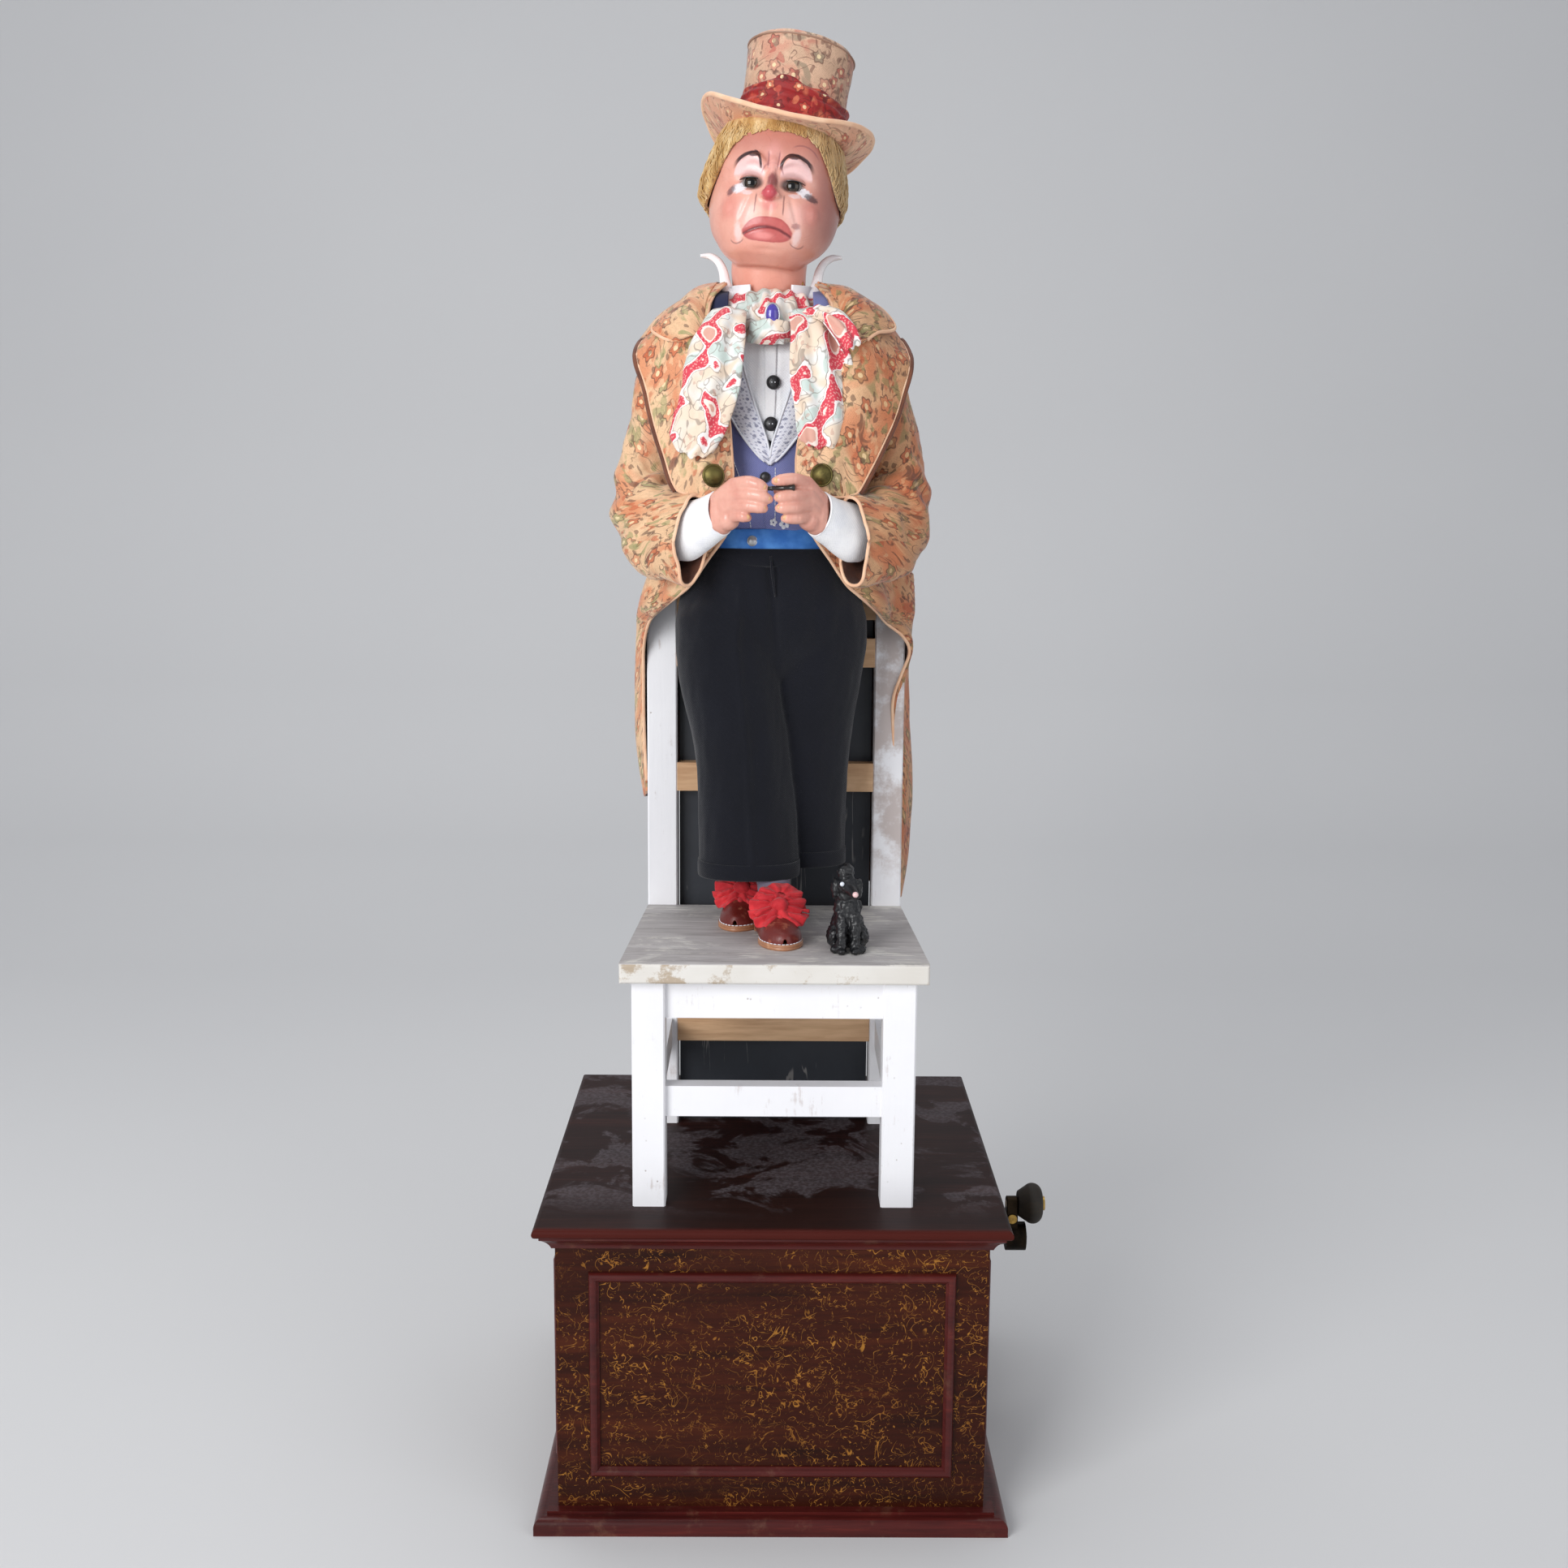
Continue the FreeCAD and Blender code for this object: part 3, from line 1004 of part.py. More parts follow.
def make_hat():
    """A top hat, tilted sideways and back, with a brim that curls up at the sides."""
    turn = 4.0
    crown = outline(
        lambda x, z: V(x, 0, z),
        (0, 0), (HAT_R, 0), (HAT_R + 1, HAT_H - turn), (HAT_R - turn, HAT_H), (0, HAT_H))
    crown = crown.revolve(V(0, 0, 0), V(0, 0, 1), 360)
    curl = 2.4 * BRIM_R
    roll = Part.makeCylinder(curl + BRIM_T, 4 * BRIM_R, V(0, -2 * BRIM_R, curl), V(0, 1, 0))
    roll = roll.cut(Part.makeCylinder(curl, 4 * BRIM_R, V(0, -2 * BRIM_R, curl), V(0, 1, 0)))
    plan = Part.makeCylinder(BRIM_R, curl, V(0, 0, -BRIM_R))
    brim = roll.common(plan)
    hat = fuse(crown, brim)
    hat.rotate(V(0, 0, 0), V(1, 0, 0), -HAT_BACK)
    hat.rotate(V(0, 0, 0), V(0, 1, 0), HAT_TILT)
    hat.translate(V(FIG_X + HAT_X, 0, SEAT_TOP + HAT_UP))
    hat = hat.cut(head_loft(0.2))
    biggest = max(hat.Solids, key=lambda s: s.Volume)
    keep("hat", biggest)
    return biggest


def main():
    os.makedirs("parts", exist_ok=True)
    make_case()
    make_chair()
    make_trunk()
    make_drive()
    make_levers()
    make_rods()
    make_torso()
    make_legs()
    make_coat()
    make_shirt()
    make_cravat()
    make_dog()
    make_arms()
    make_head()
    for name, shape in PARTS.items():
        shape.exportStep("parts/" + name + ".step")


main()
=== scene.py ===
"""The looks of the crank automaton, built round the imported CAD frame.

Lengths of the pieces are in millimetres and become metres in make_object(); camera, lamps and
backdrop are in metres.  The case, chair, trunk and mechanism keep their CAD shapes and get
materials.  The figure's clothes, hands, head, hair and hat, the shoes and the poodle are new
meshes that stand for the CAD's plain solids.
"""
import math
import random

import bmesh
import bpy
import numpy as np
from mathutils import Matrix, Vector, noise
from mathutils.bvhtree import BVHTree


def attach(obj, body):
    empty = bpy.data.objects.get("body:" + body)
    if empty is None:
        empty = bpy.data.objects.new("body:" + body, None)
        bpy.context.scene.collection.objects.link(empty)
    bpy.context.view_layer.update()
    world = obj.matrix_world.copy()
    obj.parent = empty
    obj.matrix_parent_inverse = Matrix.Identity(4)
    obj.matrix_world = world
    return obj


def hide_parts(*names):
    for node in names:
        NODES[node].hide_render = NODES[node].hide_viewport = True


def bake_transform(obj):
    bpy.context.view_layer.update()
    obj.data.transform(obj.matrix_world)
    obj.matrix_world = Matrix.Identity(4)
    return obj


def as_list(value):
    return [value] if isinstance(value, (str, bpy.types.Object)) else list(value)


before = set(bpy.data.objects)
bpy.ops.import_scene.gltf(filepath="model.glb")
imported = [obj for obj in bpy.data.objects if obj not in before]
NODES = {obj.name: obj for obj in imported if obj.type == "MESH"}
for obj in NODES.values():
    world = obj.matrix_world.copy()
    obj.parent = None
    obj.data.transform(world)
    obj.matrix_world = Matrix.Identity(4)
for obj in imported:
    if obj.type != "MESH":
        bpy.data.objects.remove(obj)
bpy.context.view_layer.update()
ROOT = "case_and_figure"
MM = 0.001

SIDES = ((-1, "left"), (1, "right"))

# the camera of the matched view, in metres and degrees
CAMERA_AT = (-0.0032, -1.1638, 0.6505)
PITCH, ROLL_OFF, YAW = 9.17, 0.44, -0.45
LENS, SENSOR = 39.67, 36.0

# places shared with the CAD source, in millimetres
FIG_X = -5.0
SEAT = 368.5
HIP = 590.0
TORSO_H = 180.0
FRONT_ANKLE = (0.0, -40.0)
REAR_ANKLE = (-19.0, 10.0)
FRONT_TURN, REAR_TURN = 9, -10         # degrees
HAT_BASE = (6.0, 0.0, 881.0)
HAT_TILT = math.radians(10.0)
HAT_BACK = math.radians(8.0)
COAT_THICK = 1.5
COAT_EDGE = 1.15


# ------------------------------------------------------------------ materials
def tint(r, g, b):
    """A colour written 0 to 255, as the linear colour that nodes take."""
    def linear(c):
        c /= 255
        return c / 12.92 if c <= 0.04045 else ((c + 0.055) / 1.055) ** 2.4
    return linear(r), linear(g), linear(b), 1.0


def colour_of(value):
    """What a colour socket takes; three numbers are a colour written 0 to 255."""
    return tint(*value) if isinstance(value, tuple) and len(value) == 3 else value


class Wire:
    """An output of a material's nodes, which reckons with others and with numbers."""

    def __init__(self, paint, socket):
        self.paint, self.socket = paint, socket

    def __abs__(self):
        return self.paint.math("ABSOLUTE", self)


for sign, operation in (("add", "ADD"), ("sub", "SUBTRACT"), ("mul", "MULTIPLY"),
                        ("truediv", "DIVIDE")):
    def direct(self, other, operation=operation):
        return self.paint.math(operation, self, other)

    def turned(self, other, operation=operation):
        return self.paint.math(operation, other, self)

    setattr(Wire, "__%s__" % sign, direct)
    setattr(Wire, "__r%s__" % sign, turned)


class Paint:
    """One material; its keyword arguments are constants on the shader's own sockets."""

    def __init__(self, name, **constants):
        self.material = bpy.data.materials.new(name)
        self.material.use_nodes = True
        self.tree = self.material.node_tree
        self.shader = self.tree.nodes["Principled BSDF"]
        for socket, value in constants.items():
            self.shader.inputs[socket.replace("_", " ")].default_value = value

    def node(self, kind, inputs=(), out=0, **settings):
        made = self.tree.nodes.new("ShaderNode" + kind)
        for name, value in settings.items():
            setattr(made, name, value)
        for key, value in dict(inputs).items():
            self.feed(made.inputs[key], value)
        return Wire(self, made.outputs[out])

    def feed(self, socket, value):
        if isinstance(value, Wire):
            self.tree.links.new(value.socket, socket)
        else:
            socket.default_value = value

    def math(self, operation, *values):
        return self.node("Math", enumerate(values), operation=operation)

    def place(self, scale=(1, 1, 1)):
        """The object's own coordinates in metres, stretched by scale."""
        here = self.node("TexCoord", out="Object")
        return self.node("Mapping", {"Vector": here, "Scale": scale}, vector_type="POINT")

    def flat(self, scale=1.0):
        """The cloth's own coordinates, in millimetres along and across it."""
        here = self.node("TexCoord", out="UV")
        return self.node("Mapping", {"Vector": here, "Scale": (scale, scale, scale)})

    def shifted(self, vector, scale, location):
        return self.node("Mapping", {"Vector": vector, "Scale": scale, "Location": location})

    def axis(self, vector, which):
        return self.node("SeparateXYZ", {"Vector": vector}, out=which)

    def noise(self, at, scale, detail=3.0, rough=0.5, warp=0.0, out="Fac"):
        values = {"Vector": at, "Scale": scale, "Detail": detail, "Roughness": rough,
                  "Distortion": warp}
        return self.node("TexNoise", values, out=out)

    def cells(self, at, scale, out="Distance", feature="F1", jitter=1.0, dims="3D"):
        values = {"Vector": at, "Scale": scale, "Randomness": jitter}
        return self.node("TexVoronoi", values, out=out, feature=feature, voronoi_dimensions=dims)

    def step(self, value, low, high):
        """0 below low, 1 above high and smooth between; low above high turns it round."""
        values = {"Value": value, "From Min": low, "From Max": high}
        return self.node("MapRange", values, interpolation_type="SMOOTHSTEP")

    def mix(self, share, first, second, how="MIX"):
        made = self.tree.nodes.new("ShaderNodeMix")
        made.data_type, made.blend_type = "RGBA", how
        for key, value in ((0, share), (6, colour_of(first)), (7, colour_of(second))):
            self.feed(made.inputs[key], value)
        return Wire(self, made.outputs[2])

    def layers(self, colour, *coats):
        """Lays coats of (mask, colour) over a colour, one after the other."""
        for mask, coat in coats:
            colour = self.mix(mask, colour, coat)
        return colour

    def ramp(self, value, *stops):
        made = self.tree.nodes.new("ShaderNodeValToRGB")
        bar = made.color_ramp.elements
        while len(bar) < len(stops):
            bar.new(0.5)
        for element, (position, colour) in zip(bar, stops):
            element.position, element.color = position, colour_of(colour)
        self.feed(made.inputs[0], value)
        return Wire(self, made.outputs[0])

    def finish(self, colour, rough, height=None, depth=0.0003):
        self.feed(self.shader.inputs["Base Color"], colour)
        self.feed(self.shader.inputs["Roughness"], rough)
        if height is not None:
            bump = {"Height": height, "Distance": depth, "Strength": 1.0}
            self.feed(self.shader.inputs["Normal"], self.node("Bump", bump))
        return self.material


def grain(p, along, fine=1.0):
    """Wood grain, long on the axis given by its name."""
    scale = [60.0 * fine, 60.0 * fine, 60.0 * fine]
    scale["XYZ".index(along)] = 5.0 * fine
    at = p.place(scale)
    broad = p.noise(at, 1.0, 4.0, 0.6, 0.6)
    thin = p.noise(at, 6.0, 3.0, 0.6)
    return broad, thin


def mahogany():
    p = Paint("case_mahogany", Specular_IOR_Level=0.16)
    broad, thin = grain(p, "X")
    wood = p.ramp(broad * 0.7 + thin * 0.3, (0.3, (32, 10, 4)), (0.5, (52, 18, 7)),
                  (0.7, (74, 31, 12)))
    here = p.place()
    marks = None
    for scale, width, shift in ((38.0, 0.0045, 0.0), (75.0, 0.007, 3.1), (140.0, 0.011, 7.7)):
        at = p.node("Mapping", {"Vector": here, "Location": (shift, shift, shift),
                                "Rotation": (shift, shift, shift)})
        line = p.step(abs(p.noise(at, scale, 1.5, 0.5, 1.4) - 0.5), width * 1.6, width * 0.5)
        gate = p.step(p.noise(at, scale * 1.7, 2.0), 0.48, 0.56)
        mark = line * gate
        marks = mark if marks is None else p.math("MAXIMUM", marks, mark)
    chips = p.step(p.cells(here, 420.0), 0.16, 0.06) * p.step(p.noise(here, 60.0, 3.0), 0.55, 0.63)
    worn = p.step(p.noise(here, 14.0, 4.0, 0.65), 0.36, 0.54)
    marks = p.math("MAXIMUM", marks, chips) * (worn * 0.85 + 0.15)
    gold = p.mix(p.noise(here, 90.0), (118, 66, 24), (190, 132, 52))
    colour = p.mix(marks * 0.85, wood, gold)
    return p.finish(colour, p.step(broad, 0.2, 0.8) * 0.15 + 0.3 + marks * 0.15,
                    thin * 0.25 - marks * 0.7, 0.00012)


def moulding():
    p = Paint("case_moulding", Coat_Weight=0.1, Coat_Roughness=0.2, Specular_IOR_Level=0.25)
    broad, thin = grain(p, "X", 1.3)
    wood = p.ramp(broad * 0.6 + thin * 0.4, (0.3, (52, 15, 14)), (0.55, (78, 25, 22)),
                  (0.75, (104, 38, 30)))
    here = p.place()
    dust = p.step(p.noise(here, 45.0, 5.0, 0.7), 0.55, 0.72)
    colour = p.mix(dust * 0.3, wood, (120, 84, 62))
    return p.finish(colour, 0.3 + dust * 0.25, thin, 0.00008)


def dark_lid():
    p = Paint("lid_dark", Specular_IOR_Level=0.09)
    broad, thin = grain(p, "X")
    here = p.place()
    wood = p.ramp(broad * 0.6 + thin * 0.4, (0.3, (26, 14, 13)), (0.55, (44, 23, 20)),
                  (0.75, (62, 32, 26)))
    blotch = p.noise(here, 17.0, 5.0, 0.62, 0.7)
    dusty = p.step(blotch, 0.5, 0.545)
    speckle = p.step(p.noise(here, 420.0, 2.0), 0.35, 0.7)
    away = p.step(p.axis(here, 1), -0.135, -0.08)
    dust = dusty * (speckle * 0.5 + 0.35) * away
    edge = p.step(p.axis(here, 1), -0.143, -0.149)
    colour = p.mix(dust * 0.6, wood, (118, 112, 116))
    colour = p.mix(edge * 0.5, colour, (92, 30, 22))
    return p.finish(colour, 0.46 + dust * 0.4, thin * 0.5 + dust * 0.3, 0.00006)


def chair_white():
    p = Paint("chair_paint", Coat_Weight=0.1, Coat_Roughness=0.4)
    here = p.place()
    thin = grain(p, "Z", 1.2)[1]
    cloud = p.noise(here, 9.0, 5.0, 0.6)
    white = p.mix(cloud, (228, 227, 231), (250, 250, 252))
    rubbed = p.step(p.noise(here, 26.0, 6.0, 0.72) + (thin - 0.5) * 0.5, 0.6, 0.74)
    right = p.step(p.axis(here, 0), 0.04, 0.075) * p.step(p.axis(here, 2), 0.37, 0.42)
    scuffed = p.step(p.noise(here, 30.0, 5.0, 0.7), 0.42, 0.62)
    wear = p.math("MAXIMUM", rubbed * 0.45, right * scuffed * 0.75)
    chips = p.step(p.cells(here, 120.0), 0.1, 0.04) * p.step(cloud, 0.5, 0.6)
    colour = p.mix(wear, white, (176, 158, 150))
    colour = p.mix(chips * 0.6, colour, (120, 92, 68))
    return p.finish(colour, 0.42 + wear * 0.25, thin * 0.6 - chips, 0.00018)


def seat_white():
    """The seat: worn to grey-brown wood on its top, cream and chipped round its edge."""
    p = Paint("seat_paint", Coat_Weight=0.06, Coat_Roughness=0.5)
    here = p.place()
    broad, thin = grain(p, "X", 1.1)
    up = p.step(p.axis(p.node("NewGeometry", out="Normal"), 2), 0.6, 0.9)
    patch = p.noise(here, 16.0, 6.0, 0.68, 0.5)
    white = p.mix(p.noise(here, 24.0, 4.0), (206, 200, 190), (232, 230, 226))
    wood = p.ramp(broad * 0.5 + thin * 0.5, (0.3, (142, 136, 134)), (0.5, (184, 179, 178)),
                  (0.7, (212, 208, 206)))
    bare_top = p.step(patch + (thin - 0.5) * 0.7, 0.36, 0.5)
    bare_side = p.step(p.noise(here, 60.0, 5.0, 0.7) + (broad - 0.5) * 0.4, 0.56, 0.68)
    top = p.mix(bare_top, white, wood)
    side = p.mix(bare_side * 0.8, white, (168, 146, 118))
    colour = p.mix(up, side, top)
    return p.finish(colour, 0.5 + up * 0.15, thin - bare_top * up, 0.0002)


def bare_wood(name, dark, light, along="X"):
    p = Paint(name)
    broad, thin = grain(p, along)
    stain = p.noise(p.place(), 30.0, 4.0, 0.6)
    wood = p.ramp(broad * 0.55 + thin * 0.45, (0.3, dark), (0.7, light))
    colour = p.mix(p.step(stain, 0.55, 0.75) * 0.4, wood, dark)
    return p.finish(colour, 0.6 + thin * 0.12, thin, 0.00015)


def scratched_paint():
    p = Paint("trunk_paint", Coat_Weight=0.15, Coat_Roughness=0.35)
    here = p.place()
    base = p.mix(p.noise(here, 18.0, 5.0, 0.6), (20, 24, 31), (42, 47, 56))
    upright = p.noise(p.place((70.0, 70.0, 6.0)), 1.0, 2.0, 0.5, 0.8)
    streak = p.step(abs(upright - 0.5), 0.012, 0.003)
    gate = p.step(p.noise(here, 40.0, 3.0), 0.5, 0.62)
    colour = p.mix(streak * gate * 0.8, base, (120, 118, 116))
    return p.finish(colour, 0.45 + p.noise(here, 60.0) * 0.2, p.noise(here, 300.0, 3.0), 0.0001)


def metal(name, shine, stain, rough=0.28):
    p = Paint(name, Metallic=0.92)
    here = p.place()
    cloud = p.noise(here, 70.0, 5.0, 0.65)
    fine = p.noise(p.place((900.0, 900.0, 60.0)), 1.0, 2.0)
    colour = p.mix(p.step(cloud, 0.42, 0.7), shine, stain)
    return p.finish(colour, rough + cloud * 0.18, fine, 0.00003)


def black_horn():
    p = Paint("dark_horn", Coat_Weight=0.5, Coat_Roughness=0.2)
    here = p.place()
    swirl = p.noise(here, 220.0, 4.0, 0.6, 1.5)
    return p.finish(p.mix(swirl, (12, 10, 10), (48, 38, 32)), 0.28 + swirl * 0.1, swirl, 0.00005)


PAINT = {material.name.split(".")[0]: material for material in (
    mahogany(), moulding(), dark_lid(), bare_wood("inner_ply", (150, 112, 74), (206, 170, 124)),
    chair_white(), bare_wood("bare_wood", (176, 132, 94), (228, 190, 150)), scratched_paint(),
    metal("brass", (196, 160, 84), (112, 84, 42)),
    metal("steel", (186, 188, 190), (120, 118, 116), 0.3),
    bare_wood("knob_wood", (22, 17, 12), (50, 40, 26)),
    bare_wood("carved_wood", (176, 138, 92), (218, 186, 140), "Z"), black_horn())}
SEAT_PAINT = seat_white()
BRONZE = metal("old_bronze", (46, 36, 25), (22, 18, 14), 0.42)


def dress_cad():
    """Gives the material slots of the CAD nodes their finished paints."""
    for name, node in NODES.items():
        for place in node.material_slots:
            found = PAINT.get(place.material.name.split(".")[0])
            if found is not None:
                place.material = found
    for name, paint in (("seat", SEAT_PAINT), ("crank_arm", BRONZE)):
        for place in NODES[name].material_slots:
            place.material = paint


# ------------------------------------------------------------------ stage
def look_matrix(location, forward, roll=0.0):
    level = forward.cross(Vector((0, 0, 1))).normalized()
    over = level.cross(forward)
    right = level * math.cos(roll) + over * math.sin(roll)
    up = right.cross(forward)
    turn = Matrix((right, up, -forward)).transposed().to_4x4()
    return Matrix.Translation(location) @ turn


def add(name, data):
    """A new object in the scene."""
    made = bpy.data.objects.new(name, data)
    bpy.context.scene.collection.objects.link(made)
    return made


def make_camera():
    data = bpy.data.cameras.new("camera")
    data.lens, data.sensor_width = LENS, SENSOR
    data.clip_start, data.clip_end = 0.05, 20.0
    camera = add("camera", data)
    pitch, roll, yaw = (math.radians(angle) for angle in (PITCH, ROLL_OFF, YAW))
    forward = Vector((-math.sin(yaw) * math.cos(pitch), math.cos(yaw) * math.cos(pitch),
                      -math.sin(pitch)))
    camera.matrix_world = look_matrix(Vector(CAMERA_AT), forward, roll)
    bpy.context.scene.camera = camera


def make_stage():
    """A pale floor that sweeps up behind, two soft lamps in front and one above."""
    rows = []
    for y, z in ((-3.0, 0.0), (1.2, 0.0), (1.8, 0.06), (2.2, 0.3), (2.4, 0.8), (2.4, 4.0)):
        rows.append([(x, y, z) for x in (-4.0, -1.5, 1.5, 4.0)])
    verts = [point for row in rows for point in row]
    faces = [(r * 4 + c, r * 4 + c + 1, r * 4 + c + 5,
              r * 4 + c + 4) for r in range(5) for c in range(3)]
    mesh = bpy.data.meshes.new("sweep")
    mesh.from_pydata(verts, [], faces)
    mesh.polygons.foreach_set("use_smooth", [True] * len(mesh.polygons))
    add("sweep", mesh)
    p = Paint("backdrop")
    cloud = p.noise(p.place(), 1.5, 2.0)
    mesh.materials.append(p.finish(p.mix(cloud, (0.66, 0.66, 0.665, 1), (0.7, 0.7, 0.7, 1)), 0.9))

    for name, spot, aim, size, power in (
            ("key", (-1.5, -2.2, 1.25), (0, 0, 0.55), 1.5, 57.0),
            ("fill", (1.9, -1.9, 1.1), (0, 0, 0.5), 1.8, 13.0),
            ("top", (-0.2, 0.4, 2.6), (0, 0, 0.5), 1.4, 16.0)):
        data = bpy.data.lights.new(name, "AREA")
        data.size, data.energy = size, power
        here = Vector(spot)
        add(name, data).matrix_world = look_matrix(here, (Vector(aim) - here).normalized())
    world = bpy.data.worlds.new("studio")
    world.use_nodes = True
    light = world.node_tree.nodes["Background"].inputs
    light["Color"].default_value, light["Strength"].default_value = (0.9, 0.93, 1.0, 1.0), 0.42
    bpy.context.scene.world = world
    bpy.context.scene.view_settings.view_transform = "Standard"


make_camera()
make_stage()
dress_cad()


# ------------------------------------------------------------------ mesh tools
def spline(points, count, closed=False):
    """count points on a smooth curve through the given ones; a point may itself be a row."""
    p = np.asarray(points, float)
    n = len(p)
    t = np.linspace(0, n if closed else n - 1, count, endpoint=not closed)
    i = np.minimum(t.astype(int), n - 1 if closed else n - 2)
    f = (t - i).reshape((-1,) + (1,) * (p.ndim - 1))
    if closed:
        a, b, c, d = (p[(i + k) % n] for k in (-1, 0, 1, 2))
    else:
        q = np.concatenate([[2 * p[0] - p[1]], p, [2 * p[-1] - p[-2]]])
        a, b, c, d = (q[i + k] for k in range(4))
    return 0.5 * (2 * b + (c - a) * f + (2 * a - 5 * b + 4 * c - d) * f ** 2
                  + (3 * b - a - 3 * c + d) * f ** 3)


def widths(radii, count):
    """Radii along a smooth line of count points."""
    return spline([[r] for r in radii], count)[:, 0]


def circle(count):
    """The angles of a full turn in equal steps."""
    return np.linspace(0, 2 * math.pi, count, endpoint=False)


def shares(grid):
    """How far each point of a grid is across and down it, from 0 to 1."""
    down, across = grid.shape[:2]
    return np.linspace(0, 1, across)[None, :], np.linspace(0, 1, down)[:, None]


def dense(rows, down, across, closed=False):
    """A fine grid through coarse rows of points."""
    return spline([spline(row, across, closed) for row in rows], down)


def normals(grid, closed=False):
    if closed:
        over = np.roll(grid, -1, 1) - np.roll(grid, 1, 1)
    else:
        over = np.gradient(grid, axis=1)
    out = np.cross(over, np.gradient(grid, axis=0))
    size = np.linalg.norm(out, axis=2, keepdims=True)
    return out / np.maximum(size, 1e-9)


def pushed(grid, amount, closed=False):
    """The grid with each point moved along its normal."""
    return grid + normals(grid, closed) * amount[..., None]


def wander(points, scale, seed, stretch=(1, 1, 1)):
    """Smooth noise from -1 to 1 at each point; scale is the size of a lump in mm."""
    shift = Vector((seed * 17.3, seed * 5.1, seed * 9.7))
    flat = points.reshape(-1, 3) / scale / np.array(stretch)
    return np.array([noise.noise(Vector(p) + shift) for p in flat]).reshape(points.shape[:-1])


def crumple(grid, amount, scale, seed, closed=False, stretch=(1, 1, 1), where=1.0):
    """Pushes a grid in and out by up to amount, in lumps of the size of scale."""
    return pushed(grid, wander(grid, scale, seed, stretch) * amount * where, closed)


def cloth_uv(grid, closed):
    """Distances in mm along and across the cloth, measured from its middle column."""
    step = np.linalg.norm(np.diff(grid, axis=1), axis=2)
    u = np.concatenate([np.zeros((len(grid), 1)), np.cumsum(step, axis=1)], axis=1)
    u -= u[:, [grid.shape[1] // 2]]
    if closed:
        last = np.linalg.norm(grid[:, 0] - grid[:, -1], axis=1)
        u = np.concatenate([u, (u[:, -1] + last)[:, None]], axis=1)
    fall = np.linalg.norm(np.diff(grid, axis=0), axis=2)
    v = np.concatenate([np.zeros((1, grid.shape[1])), np.cumsum(fall, axis=0)], axis=0)
    if closed:
        v = np.concatenate([v, v[:, :1]], axis=1)
    # pieces cut from one cloth show different parts of its print
    return np.stack([u + 1.7 * np.round(grid[..., 0].mean()), v], axis=2)


def make_object(name, verts, faces, paints, body=ROOT, slot=None, replaces=(), ride=True):
    """A mesh in millimetres becomes a piece in metres that rides on a body."""
    mesh = bpy.data.meshes.new(name)
    mesh.from_pydata([tuple(float(c) * MM for c in v) for v in verts], [],
                     [tuple(f) for f in faces])
    mesh.polygons.foreach_set("use_smooth", [True] * len(mesh.polygons))
    for paint in paints if isinstance(paints, (list, tuple)) else [paints]:
        mesh.materials.append(paint)
    made = add(name, mesh)
    if replaces:
        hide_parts(*replaces)
    if ride:
        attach(made, body)
    return made


def grid_faces(rows, columns, closed=False, first=0):
    faces = []
    for r in range(rows - 1):
        for c in range(columns if closed else columns - 1):
            d = (c + 1) % columns
            faces.append((first + r * columns + c, first + r * columns + d,
                          first + (r + 1) * columns + d, first + (r + 1) * columns + c))
    return faces


def grid_piece(name, grid, paints, closed=False, caps=False, thick=0.0, **how):
    """A piece from a grid of points; thick gives it both faces of a cloth."""
    rows, columns = grid.shape[:2]
    verts = list(grid.reshape(-1, 3))
    faces = grid_faces(rows, columns, closed)
    uvs = cloth_uv(grid, closed)
    corner_uv = []
    for r in range(rows - 1):
        for c in range(columns if closed else columns - 1):
            corner_uv += [uvs[r, c], uvs[r, c + 1], uvs[r + 1, c + 1], uvs[r + 1, c]]
    if caps:
        for row, flip in ((0, False), (rows - 1, True)):
            middle = len(verts)
            verts.append(grid[row].mean(axis=0))
            for c in range(columns):
                d = (c + 1) % columns
                ends = (row * columns + d, row * columns + c, middle)
                faces.append(ends[::-1] if flip else ends)
                corner_uv += [verts[k][:2] for k in faces[-1]]
    made = make_object(name, verts, faces, paints, **how)
    layer = made.data.uv_layers.new(name="UVMap")
    layer.data.foreach_set("uv", np.array(corner_uv, float).ravel())
    if thick:
        shell = made.modifiers.new("thickness", "SOLIDIFY")
        shell.thickness, shell.offset = thick * MM, 0.0
        shell.use_even_offset = False
        if len(made.data.materials) > 1:
            shell.material_offset = 1
            shell.material_offset_rim = 0
    return made


def cloth(name, grid, paints, held, rests_on, closed=False, **how):
    """A loose cloth from its grid; the flat widths and the area of the grid are worked out here."""
    piece = grid_piece(name, grid, paints, closed=closed, **how)
    over = np.linalg.norm(np.diff(grid, axis=1), axis=2).sum(axis=1)
    a, b = grid[:-1, :-1], grid[1:, 1:]
    c, d = grid[:-1, 1:], grid[1:, :-1]
    area = (np.linalg.norm(np.cross(b - a, d - c), axis=2) / 2).sum()
    if closed:
        over = over + np.linalg.norm(grid[:, 0] - grid[:, -1], axis=1)
        a, b, c, d = grid[:-1, -1], grid[1:, 0], grid[:-1, 0], grid[1:, -1]
        area += (np.linalg.norm(np.cross(b - a, d - c), axis=1) / 2).sum()
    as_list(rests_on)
    return piece


def tube(name, points, radii, paint, sides=10, count=None, caps=True, **how):
    """A smooth tube along points, of the radii given there."""
    count = count or 4 * len(points)
    line = spline(points, count)
    sizes = widths(np.broadcast_to(radii, len(points)), count)
    return grid_piece(name, tube_grid(line, sizes, sides), paint, closed=True, caps=caps, **how)


